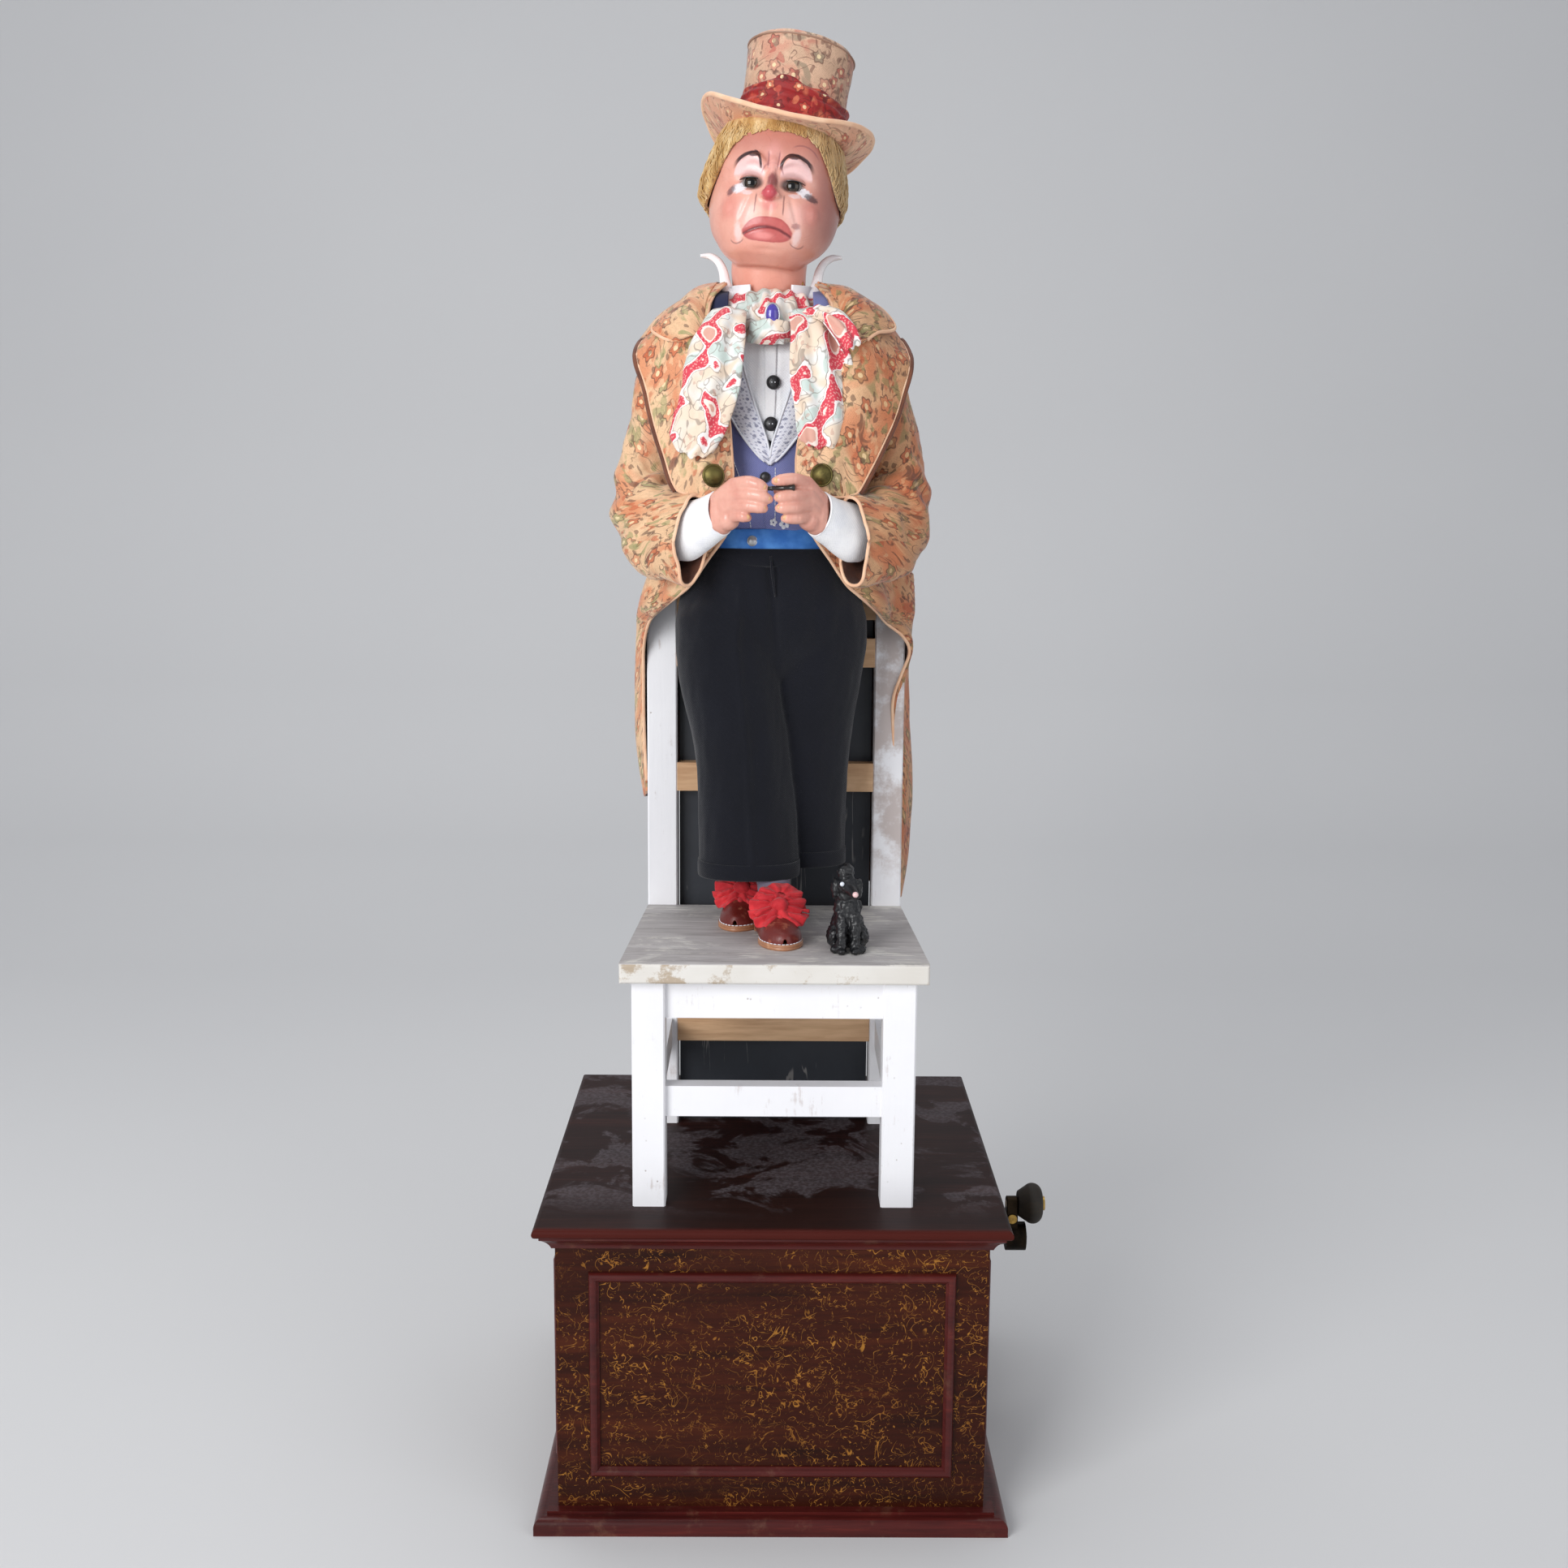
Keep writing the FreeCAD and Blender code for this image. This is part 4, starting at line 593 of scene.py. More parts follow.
def tube_grid(line, sizes, sides):
    along = np.gradient(line, axis=0)
    along /= np.linalg.norm(along, axis=1, keepdims=True)
    side = np.cross(along[0], (0, 0, 1) if abs(along[0][2]) < 0.9 else (0, 1, 0))
    rows = []
    for centre, t, r in zip(line, along, sizes):
        side = side - t * side.dot(t)
        side /= np.linalg.norm(side)
        other = np.cross(t, side)
        turns = circle(sides)
        rows.append([centre + r * (side * math.cos(a) + other * math.sin(a)) for a in turns])
    return np.array(rows)


def capsule_mesh(bm, points, radii, sides=14, count=14):
    """Adds a closed rounded limb to bm, in millimetres."""
    line = spline(points, count)
    sizes = widths(radii, count)
    first = (line[1] - line[0]) / np.linalg.norm(line[1] - line[0])
    last = (line[-1] - line[-2]) / np.linalg.norm(line[-1] - line[-2])
    rows, wide = [], []
    for k in (0.98, 0.8, 0.45):
        rows.append(line[0] - first * sizes[0] * k)
        wide.append(sizes[0] * math.sqrt(1 - k * k))
    rows += list(line)
    wide += list(sizes)
    for k in (0.45, 0.8, 0.98):
        rows.append(line[-1] + last * sizes[-1] * k)
        wide.append(sizes[-1] * math.sqrt(1 - k * k))
    add_grid(bm, tube_grid(np.array(rows), wide, sides))


def add_grid(bm, grid):
    """Adds a closed tube grid with flat ends to bm."""
    rows, columns = grid.shape[:2]
    verts = [[bm.verts.new(p) for p in row] for row in grid]
    for r in range(rows - 1):
        for c in range(columns):
            d = (c + 1) % columns
            bm.faces.new((verts[r][c], verts[r][d], verts[r + 1][d], verts[r + 1][c]))
    bm.faces.new(verts[0][::-1])
    bm.faces.new(verts[-1])


def egg(centre, rx, ry, rz, tilt=0.0, rows=14, sides=20):
    """A closed egg grid, tilted about X."""
    grid = []
    for k in range(rows):
        up = -math.cos(math.pi * (k + 0.35) / (rows - 0.3))
        wide = math.sqrt(max(1 - up * up, 0.0))
        row = []
        for s in range(sides):
            a = 2 * math.pi * s / sides
            y, z = ry * wide * math.sin(a), rz * up
            row.append((centre[0] + rx * wide * math.cos(a),
                        centre[1] + y * math.cos(tilt) - z * math.sin(tilt),
                        centre[2] + y * math.sin(tilt) + z * math.cos(tilt)))
        grid.append(row)
    return np.array(grid)


def melted(bm, voxel, rounds=4):
    """The outer skin of overlapping closed forms, in mm: points, faces and outward normals."""
    mesh = bpy.data.meshes.new("melt")
    bmesh.ops.recalc_face_normals(bm, faces=bm.faces)
    bm.to_mesh(mesh)
    bm.free()
    lump = add("melt", mesh)
    skin = lump.modifiers.new("skin", "REMESH")
    skin.mode, skin.voxel_size = "VOXEL", voxel
    soft = lump.modifiers.new("soft", "SMOOTH")
    soft.iterations, soft.factor = rounds, 0.5
    graph = bpy.context.evaluated_depsgraph_get()
    done = bpy.data.meshes.new_from_object(lump.evaluated_get(graph))
    verts = np.zeros(len(done.vertices) * 3)
    done.vertices.foreach_get("co", verts)
    faces = [tuple(f.vertices) for f in done.polygons]
    outward = np.zeros(len(done.vertices) * 3)
    done.vertices.foreach_get("normal", outward)
    bpy.data.objects.remove(lump)
    bpy.data.meshes.remove(done)
    return verts.reshape(-1, 3), faces, outward.reshape(-1, 3)


def section(z, cx, cy, rx, ry, square, angles):
    """Points at height z round a rounded section, at the angles given."""
    c, s = np.cos(angles), np.sin(angles)
    x = cx + rx * np.sign(c) * np.abs(c) ** (2 / square)
    y = cy + ry * np.sign(s) * np.abs(s) ** (2 / square)
    return np.stack([x, y, np.full(len(angles), z)], axis=1)


def body_grid(table, down, sides=48):
    """A closed grid through level sections (z, cx, cy, rx, ry, square)."""
    return np.array([section(*row, circle(sides)) for row in spline(table, down)])


def at_height(table, z):
    """The section of a table of level sections at height z."""
    heights = [row[0] for row in table]
    return [float(np.interp(z, heights, [row[k] for row in table])) for k in range(1, 6)]


def front(table, x, z, out=0.0):
    """Y of the front of a body there, grown by out."""
    cx, cy, rx, ry, square = at_height(table, z)
    t = min(abs(x - cx) / (rx + out), 0.999)
    return cy - (ry + out) * (1 - t ** square) ** (1 / square)


# ------------------------------------------------------------------ cloth materials
def woven(p, uv, threads_per_mm=1.6):
    """Height of a plain weave on the cloth's own coordinates."""
    over = p.math("SINE", p.axis(uv, 0) * (2 * math.pi * threads_per_mm / 2))
    down = p.math("SINE", p.axis(uv, 1) * (2 * math.pi * threads_per_mm / 2))
    return over * down


def petals(p, uv, size, seed, count=5.0, rim=0.12):
    """Flower masks on a jittered grid: inside, ring and heart, each 0 to 1."""
    at = p.shifted(uv, (1 / size,) * 3, (seed, seed * 2.3, 0))
    centre = p.cells(at, 1.0, out="Position", jitter=0.75, dims="2D")
    away = p.node("VectorMath", {0: at, 1: centre}, operation="SUBTRACT")
    x, y = p.axis(away, 0), p.axis(away, 1)
    r = p.math("SQRT", x * x + y * y)
    turn = p.math("ARCTAN2", y, x)
    hue = p.node("TexWhiteNoise", {"Vector": centre}, out="Value", noise_dimensions="3D")
    wave = p.math("SINE", turn * count + hue * 6.28)
    reach = r / (wave * 0.16 + 0.84)
    inside = p.step(reach, 0.30, 0.28)
    ring = p.step(abs(reach - 0.29), rim * 0.35, rim * 0.2)
    heart = p.step(r, 0.1, 0.085)
    return inside, ring, heart, hue


def curls(p, uv, size, seed, width=0.018):
    """Thin wandering stems."""
    at = p.shifted(uv, (1 / size,) * 3, (seed, seed * 1.7, 0))
    field = p.noise(at, 1.0, 1.0, 0.5, 1.1)
    return p.step(abs(field - 0.5), width * 1.5, width * 0.6)


def flecks(p, uv, size, seed, share, reach=0.3):
    """Small bent leaf shapes in a share of the cells of a loose grid."""
    at = p.shifted(uv, (1 / size, 0.7 / size, 1), (seed, seed * 1.3, 0))
    sway = p.node("VectorMath", {0: p.noise(at, 1.3, 1.0, out="Color"), "Scale": 1.1},
                  operation="SCALE")
    bent = p.node("VectorMath", {0: at, 1: sway}, operation="ADD")
    near = p.cells(bent, 1.0, dims="2D")
    pick = p.axis(p.cells(bent, 1.0, out="Color", dims="2D"), 0)
    return p.step(near, reach + 0.05, reach - 0.05) * p.step(pick, 1 - share, 1.02 - share)


def brocade(name, ground, blush, deep, leaf, dark, size=17.0, zone=0.56, sheen=0.35, worn=0.0,
            brown_and_shade_tint=(206, 170, 140)):
    """A traditional floral satin: soft washes of colour, flowers, leaves and stems.

    worn multiplies the cloth's right side with brown_and_shade_tint: partly browned cloth
    and partly painted shade, on the side away from the key light.
    """
    p = Paint(name, Sheen_Weight=sheen, Sheen_Roughness=0.35, Specular_IOR_Level=0.45)
    uv = p.flat()
    wash = p.noise(p.flat(1 / 36.0), 1.0, 2.0, 0.5, 0.7)
    other = p.noise(p.shifted(p.flat(1 / 26.0), (1, 1, 1), (7.1, 3.3, 0)), 1.0, 2.0, 0.55, 1.0)
    third = p.noise(p.shifted(p.flat(1 / 19.0), (1, 1, 1), (2.7, 9.3, 0)), 1.0, 1.5, 0.5, 1.2)
    pale = tuple(min(int(c * 1.05) + 4, 255) for c in ground)
    colour = p.mix(p.step(third, 0.38, 0.6), ground, pale)
    colour = p.layers(
        colour, (p.step(wash, 0.44, 0.62), blush),
        (p.step(other, zone, zone + 0.1) * 0.6, deep),
        (p.step(third, 0.58, 0.66) * p.step(wash, 0.6, 0.48) * 0.75, leaf))
    stems = curls(p, uv, 17.0, 2.0, 0.014) * p.step(other, 0.42, 0.5)
    colour = p.mix(stems * 0.65, colour, dark)
    inside, ring, heart, hue = petals(p, uv, size, 1.0)
    bloom = p.mix(p.step(hue, 0.4, 0.5), blush, deep)
    bloom = p.mix(p.step(hue, 0.74, 0.8), bloom, leaf)
    gate = p.step(hue, 0.22, 0.24)
    colour = p.layers(
        colour, (inside * gate * 0.75, bloom),
        (ring * gate * 0.6, dark),
        (heart * gate * 0.8, (250, 226, 178)))
    small = flecks(p, uv, 4.6, 3.0, 0.3)
    colour = p.mix(small * 0.6, colour, dark)
    leaves = flecks(p, uv, 6.4, 8.0, 0.26, 0.34)
    colour = p.mix(leaves * 0.65, colour, p.mix(p.step(third, 0.45, 0.5), deep, leaf))
    lights = flecks(p, uv, 5.2, 14.0, 0.3)
    colour = p.mix(lights * 0.6, colour, pale)
    fine = p.noise(uv, 1.1, 2.0)
    colour = p.mix(p.step(fine, 0.45, 0.8) * 0.3, colour, dark)
    if worn:
        here = p.place()
        # the right side darkens: partly browned cloth, partly painted shade away from the key light
        brown = p.step(p.axis(here, 0) + (p.noise(here, 14.0, 3.0) - 0.5) * 0.09, 0.012, 0.075)
        colour = p.mix(brown * worn, colour, brown_and_shade_tint, "MULTIPLY")
    height = woven(p, uv) * 0.25 + inside * gate * 0.8 + ring * 0.4 + leaves * 0.6 - small * 0.4
    return p.finish(colour, 0.44 + fine * 0.16, height, 0.0002)


def wool(name, dark, light, rough=0.9):
    p = Paint(name, Sheen_Weight=0.18, Sheen_Roughness=0.5, Specular_IOR_Level=0.2)
    here = p.place()
    twill = p.math("SINE", p.axis(here, 0) * 5200.0 + p.axis(here, 2) * 5200.0)
    cloud = p.noise(here, 26.0, 4.0, 0.6)
    fuzz = p.noise(here, 1500.0, 3.0, 0.7)
    colour = p.mix(cloud * 0.6 + fuzz * 0.4, dark, light)
    lint = p.step(p.cells(here, 260.0), 0.05, 0.02) * 0.25
    colour = p.mix(lint, colour, (120, 122, 135))
    return p.finish(colour, rough, twill * 0.25 + fuzz, 0.00022)


def linen(name, light, shade, weave=1.1):
    p = Paint(name, Sheen_Weight=0.1, Specular_IOR_Level=0.3)
    uv = p.flat()
    cloud = p.noise(p.place(), 60.0, 4.0, 0.6)
    colour = p.mix(p.step(cloud, 0.4, 0.8), light, shade)
    return p.finish(colour, 0.78, woven(p, uv, weave) * 0.6 + p.noise(uv, 0.6, 3.0), 0.0001)


def denim(name, base, thread):
    p = Paint(name, Sheen_Weight=0.1, Specular_IOR_Level=0.25)
    uv = p.flat()
    slant = p.math("SINE", (p.axis(uv, 0) + p.axis(uv, 1)) * 5.6)
    fade = p.noise(p.place(), 45.0, 5.0, 0.65)
    flecks = p.noise(uv, 2.2, 3.0, 0.7)
    colour = p.mix(p.step(slant + flecks, 0.6, 1.5) * 0.5, base, thread)
    colour = p.mix(p.step(fade, 0.5, 0.75) * 0.3, colour, thread)
    return p.finish(colour, 0.82, slant * 0.5 + flecks, 0.00015)


def dotted(name):
    """Nearly white lapel cloth with rows of small grey-blue marks."""
    p = Paint(name, Specular_IOR_Level=0.25)
    uv = p.flat()
    base = p.mix(p.noise(uv, 0.2, 3.0), (222, 224, 238), (240, 241, 247))
    marks = p.step(p.cells(p.flat(1 / 2.7), 1.0, jitter=0.35, dims="2D"), 0.3, 0.2)
    broad = p.step(p.cells(p.flat(1 / 6.2), 1.0, jitter=0.5, dims="2D"), 0.2, 0.14)
    colour = p.mix(marks * 0.5, base, (112, 116, 152))
    colour = p.mix(broad * 0.6, colour, (72, 78, 118))
    return p.finish(colour, 0.8, woven(p, uv), 0.0001)


def neckcloth():
    """A white, cream and mint print with dotted coral shapes outlined in white and brown."""
    p = Paint("neckcloth", Sheen_Weight=0.15, Sheen_Roughness=0.4, Specular_IOR_Level=0.35)
    uv = p.flat()
    zone = p.noise(p.flat(1 / 24.0), 1.0, 1.5, 0.5, 0.9)
    colour = p.mix(p.step(zone, 0.4, 0.58), (236, 216, 194), (234, 235, 232))
    colour = p.mix(p.step(zone, 0.55, 0.6) * 0.85, colour, (200, 216, 208))
    lines = curls(p, uv, 15.0, 4.0, 0.016)
    colour = p.mix(lines * 0.6, colour, (134, 118, 108))
    small = flecks(p, uv, 4.4, 5.0, 0.34, 0.26)
    colour = p.mix(small * 0.45, colour, (198, 146, 128))
    specks = p.step(p.cells(p.flat(1 / 1.9), 1.0, dims="2D"), 0.34, 0.2)
    coral = p.mix(specks * 0.6, (218, 70, 86), (250, 190, 182))
    at = p.shifted(uv, (1 / 18.0,) * 3, (5.3, 1.9, 0))
    field = p.noise(at, 1.0, 0.4, 0.5, 0.35) + (p.noise(uv, 0.35, 2.0) - 0.5) * 0.05
    colour = p.layers(
        colour, (p.step(field, 0.505, 0.515) * 0.55, (126, 108, 100)),
        (p.step(field, 0.518, 0.526), (250, 244, 240)),
        (p.step(field, 0.55, 0.56), coral),
        (p.step(field, 0.655, 0.665), (250, 232, 220)),
        (p.step(field, 0.70, 0.71) * 0.8, (216, 150, 130)))
    return p.finish(colour, 0.62, woven(p, uv) * 0.4 + p.noise(uv, 0.7), 0.0001)


def satin(name, base, light):
    p = Paint(name, Sheen_Weight=0.2, Specular_IOR_Level=0.4)
    uv = p.flat()
    fine = p.noise(uv, 1.5, 3.0, 0.6)
    cloud = p.noise(p.place(), 90.0, 3.0)
    colour = p.mix(p.step(cloud, 0.35, 0.75), base, light)
    return p.finish(colour, 0.55 + fine * 0.2, woven(p, uv, 2.2) * 0.5 + fine, 0.0001)


def leather(name, base, light, worn):
    p = Paint(name, Coat_Weight=0.2, Coat_Roughness=0.3)
    here = p.place()
    pebble = p.cells(here, 700.0)
    scuff = p.step(p.noise(here, 110.0, 6.0, 0.7), 0.55, 0.68)
    colour = p.mix(p.noise(here, 60.0, 4.0), base, light)
    colour = p.mix(scuff * 0.7, colour, worn)
    return p.finish(colour, 0.42 + scuff * 0.25, pebble * 0.6 - scuff * 0.4, 0.00012)


def resin(name, dark, light):
    p = Paint(name, Coat_Weight=0.25, Coat_Roughness=0.3)
    here = p.place()
    return p.finish(p.mix(p.noise(here, 350.0, 4.0, 0.7), dark, light), 0.42,
                    p.noise(here, 900.0, 3.0), 0.0002)


def bead(name, base, light):
    p = Paint(name, Coat_Weight=0.8, Coat_Roughness=0.08)
    return p.finish(p.mix(p.noise(p.place(), 300.0, 3.0), base, light), 0.18)


# worn darkens the right sides of the coat and the hat: partly browned cloth, partly painted shade
COAT_CLOTH = brocade("brocade", (224, 184, 144), (222, 148, 106), (196, 98, 58), (160, 156, 106),
                     (84, 56, 44), worn=0.7)
HAT_CLOTH = brocade("hat_brocade", (204, 168, 140), (208, 148, 124), (186, 94, 80), (146, 130, 108),
                    (106, 68, 56), 15.0, 0.6, worn=0.9, brown_and_shade_tint=(200, 172, 158))
BRIM_CLOTH = brocade("brim_brocade", (236, 190, 156), (230, 168, 134), (196, 92, 66),
                     (222, 184, 144), (150, 92, 66), 14.0, 0.6)
BAND_CLOTH = brocade("band_brocade", (150, 24, 24), (122, 18, 22), (224, 128, 92), (206, 86, 66),
                     (92, 14, 16), 13.0, 0.52)
LINING = satin("lining", (96, 52, 34), (128, 74, 48))
FACING = satin("facing", (236, 186, 150), (246, 206, 172))
WOOL = wool("wool", (8, 9, 15), (21, 23, 33))
LINEN = linen("white_linen", (252, 252, 253), (236, 237, 242))
DENIM = denim("denim_blue", (116, 122, 176), (162, 168, 212))
DARK_DENIM = denim("dark_denim", (30, 36, 66), (62, 72, 116))
LAPEL = dotted("lapel_check")
BELT_BLUE = satin("belt_blue", (46, 112, 196), (84, 150, 226))
NECKCLOTH = neckcloth()
RED_SILK = satin("red_silk", (186, 20, 34), (222, 48, 56))
SHOE_LEATHER = leather("shoe_leather", (86, 24, 20), (122, 38, 30), (168, 96, 72))
WELT = leather("welt", (150, 96, 66), (186, 132, 96), (206, 160, 124))
STOCKING = linen("stocking", (112, 104, 120), (84, 78, 96), 1.8)
BLACK_RESIN = resin("black_resin", (6, 6, 8), (22, 23, 27))
BLACK_BUTTON = resin("black_button", (12, 12, 14), (40, 40, 44))
WHITE_BEAD = bead("white_bead", (232, 236, 244), (206, 214, 226))
PINK_BEAD = bead("pink_bead", (240, 206, 204), (226, 178, 180))
GEM = bead("gem_glass", (44, 30, 128), (104, 88, 196))
PIPING = linen("piping", (236, 238, 244), (206, 210, 222), 2.0)
SILVER = metal("silver", (204, 206, 210), (150, 150, 150), 0.25)
BRASS = metal("olive_brass", (122, 112, 66), (66, 58, 34), 0.42)


# ------------------------------------------------------------------ trousers, shoes, rosettes
def make_trousers():
    """Wide wool trousers: two legs and a seat melted into one skin, then folded."""
    bm = bmesh.new()
    left = [(406.5, -17.5, -25, 33.5, 26, 2.3), (430, -18, -24.5, 33, 26, 2.3),
            (465, -20, -21, 32, 27, 2.2), (495, -23, -18, 32.5, 28, 2.2),
            (530, -30, -14, 34, 30, 2.2), (565, -33, -11, 34, 31, 2.2),
            (585, -32, -8, 31, 30, 2.2), (602, -28, -6, 20, 22, 2.1)]
    right = [(409.5, 15, 5, 33, 26, 2.3), (430, 15.5, 5, 32.5, 26, 2.3), (465, 17, 5, 32, 27, 2.2),
             (495, 19, 5, 32.5, 28, 2.2), (530, 24, 3, 33, 30, 2.2), (565, 27, 0, 34, 31, 2.2),
             (585, 26, -2, 31, 30, 2.2), (602, 20, -2, 20, 22, 2.1)]
    seat = [(528, -3, -4, 22, 14, 2.2), (548, -3, -5, 46, 25, 2.3), (564, -3, -5, 57, 31, 2.4),
            (578, -4, -4, 61, 34.5, 2.4), (592, -4, -3, 60, 37, 2.3),
            (606, -5, -2, 54, 38, 2.2), (621, -5, -1, 50.5, 38.5, 2.0)]
    for table in (left, right, seat):
        add_grid(bm, body_grid(table, 30, 40))
    verts, faces, out = melted(bm, 1.9, 5)
    x, y, z = verts.T
    fold = wander(verts, 13.0, 3, (1, 1, 5.5)) * 1.3 + wander(verts, 5.0, 4, (1, 1, 3)) * 0.35
    lean = wander(verts, 16.0, 8, (1.6, 1.6, 1)) * 0.9 * np.clip((z - 520) / 60, 0, 1)
    crease_x = np.interp(z, (407, 495, 560, 610), (-14, -19, -26, -22))
    crease = 1.6 * np.exp(-((x - crease_x) / 2.2) ** 2) * (y < -10) * (z < 600)
    crotch = (-3.0 * np.exp(-((x + 4 - (610 - z) * 0.07) / 3.0) ** 2) * (y < 0)
              * np.clip((z - 540) / 30, 0, 1))
    lift = (fold + lean) * np.clip((z - 408) / 14, 0.25, 1) + crease + crotch
    verts = verts + out * lift[:, None]
    make_object("trousers_cloth", verts, faces, WOOL, slot="wool", replaces=("trousers",))
    turns = circle(72)
    for side, table in (("left", left), ("right", right)):
        z, cx, cy, rx, ry, square = table[0]
        rows = []
        for dz, grow in ((-0.6, -1.0), (-0.9, 0.4), (1.2, 0.9), (9.0, 0.8), (9.6, -0.4)):
            rows.append(section(z + dz, cx, cy, rx + grow, ry + grow, square, turns))
        grid_piece("hem_" + side, dense(rows, 10, len(turns), True), WOOL, closed=True, slot="wool")
    tube("fly_seam", [(FIG_X + 1, -40.5, 618), (FIG_X + 2, -42, 606), (FIG_X + 4, -40, 592)],
         (0.7, 0.8, 0.5), WOOL, slot="wool")


def stockings():
    for name, points, nodes in (
            ("stocking_front", [(-8, -22, 440), (-3, -32, 415), (0, -42, 394), (0, -46, 386)],
             ("leg_cores",)),
            ("stocking_rear", [(2, 9, 440), (-8, 9.5, 415), (-18.5, 9, 394), (-19, 5, 386)], ())):
        grid = tube_grid(spline(points, 26), widths((13, 12, 10.5, 11), 26), 28)
        grid = crumple(grid, 0.5, 5.0, 6, closed=True, stretch=(1, 1, 0.5))
        grid_piece(name, grid, STOCKING, closed=True, caps=True, slot="denim_blue", replaces=nodes)


def shoe_place(ankle, turn):
    a = math.radians(turn)

    def place(p):
        x, y, z = p
        return (ankle[0] + x * math.cos(a) - y * math.sin(a),
                ankle[1] - 5 + x * math.sin(a) + y * math.cos(a), SEAT + z)
    return place


def moved(grid, place):
    return np.array([[place(p) for p in row] for row in grid])


def make_shoe(name, ankle, turn, nodes):
    """A slipper with a pointed toe, a sole with its welt, a heel block and a topline roll."""
    place = shoe_place(ankle, turn)
    # from heel to toe: y, half width, height of the crown, how full its sides are
    run = [(18.4, 3.0, 11.0, 2.0), (17.2, 8.0, 17.5, 2.2), (12, 11.2, 20.5, 2.4),
           (2, 11.8, 21.5, 2.4),
           (-10, 12.0, 20.5, 2.3), (-20, 13.2, 17.5, 2.2), (-30, 12.6, 14.5, 2.1),
           (-37, 9.6, 12.0, 2.0),
           (-41.5, 5.2, 9.6, 2.0), (-43.2, 1.4, 6.8, 2.0)]
    rows = []
    for y, half, high, full in run:
        low = 3.2
        row = []
        for a in np.linspace(-0.25, math.pi + 0.25, 22):
            c, s = math.cos(a), math.sin(a)
            px = half * math.copysign(abs(c) ** (2 / full), c)
            pz = low + 0.6 + (high - low) * (max(s, 0) ** (2 / full)) + min(s, 0) * 3.0
            row.append((px, y, max(pz, low)))
        rows.append(row)
    grid = moved(dense(rows, 46, 40), place)
    grid = crumple(grid, 0.35, 6.0, 11)
    grid_piece(name + "_upper", grid, SHOE_LEATHER, thick=1.0, slot="shoe_leather", replaces=nodes)
    outline = [(-11.4, 12), (-7.5, 18.2), (0, 20), (7.5, 18.2), (11.4, 12), (11.6, 0), (11.8, -12),
               (14.0, -23),
               (12.6, -33), (7.6, -41), (0, -44.6), (-7.6, -41), (-12.6, -33), (-14.0, -23),
               (-11.8, -12), (-11.6, 0)]
    ring = spline(outline, 96, closed=True)
    rows = []
    # the lower half of the sole arches up in front of the heel block
    for grow, z in ((-1.2, 0.0), (0.0, 0.0), (0.5, 0.5), (0.6, 1.6), (0.2, 2.0), (0.5, 2.4),
                    (0.5, 3.3), (-0.4, 3.8), (-1.8, 3.9)):
        x, y = (ring * (1 + grow / 13, 1 + grow / 32)).T
        lower = z < 2.2
        arch = 2.6 * np.exp(-((y + 2) / 8.0) ** 2) if lower else 0 * y
        rows.append(np.stack([x, y, np.minimum(z + arch, 3.2 if lower else z)], axis=1))
    grid_piece(name + "_sole", moved(np.array(rows), place), WELT, closed=True, caps=True,
               slot="shoe_leather")
    stitch = [np.array((x * 0.985, y * 0.985, 4.0)) for x, y in ring[::2]]
    bm = bmesh.new()
    for a, b in zip(stitch, stitch[1:] + stitch[:1]):
        capsule_mesh(bm, [place(a + (b - a) * 0.2), place(a + (b - a) * 0.75)], (0.32, 0.32), 6, 3)
    from_bm(name + "_stitches", bm, PIPING, slot="shoe_leather")
    roll = [(-9.5, 9, 21), (-10.5, 0, 21.6), (-8.5, -9, 21), (0, -13, 20.6), (8.5, -9, 21),
            (10.5, 0, 21.6),
            (9.5, 9, 21), (0, 15.5, 20)]
    line = np.array([place(p) for p in spline(roll, 60, closed=True)])
    ring_tube(name + "_topline", line, 1.1, SHOE_LEATHER, slot="shoe_leather")


def from_bm(name, bm, paint, **how):
    """A piece straight from a bmesh in millimetres."""
    bmesh.ops.recalc_face_normals(bm, faces=bm.faces)
    bm.verts.ensure_lookup_table()
    bm.verts.index_update()
    verts = [tuple(v.co) for v in bm.verts]
    faces = [[v.index for v in f.verts] for f in bm.faces]
    bm.free()
    return make_object(name, verts, faces, paint, **how)


def ring_tube(name, line, radius, paint, sides=8, **how):
    """A closed ring of cord along a closed line of points."""
    along = np.roll(line, -1, 0) - np.roll(line, 1, 0)
    along /= np.linalg.norm(along, axis=1, keepdims=True)
    up = np.array((0.0, 0.0, 1.0))
    rows = []
    for centre, t in zip(line, along):
        side = np.cross(t, up)
        size = np.linalg.norm(side)
        side = side / size if size > 0.1 else np.array((1.0, 0, 0))
        other = np.cross(t, side)
        turns = circle(sides)
        rows.append([centre + radius * (side * math.cos(a) + other * math.sin(a)) for a in turns])
    return hoop(name, rows, paint, **how)


def hoop(name, rows, paint, **how):
    """A ring of closed sections whose last joins the first."""
    rows = np.array(rows)
    count, sides = rows.shape[:2]
    faces = []
    for r in range(count):
        s = (r + 1) % count
        for c in range(sides):
            d = (c + 1) % sides
            faces.append((r * sides + c, r * sides + d, s * sides + d, s * sides + c))
    return make_object(name, rows.reshape(-1, 3), faces, paint, **how)


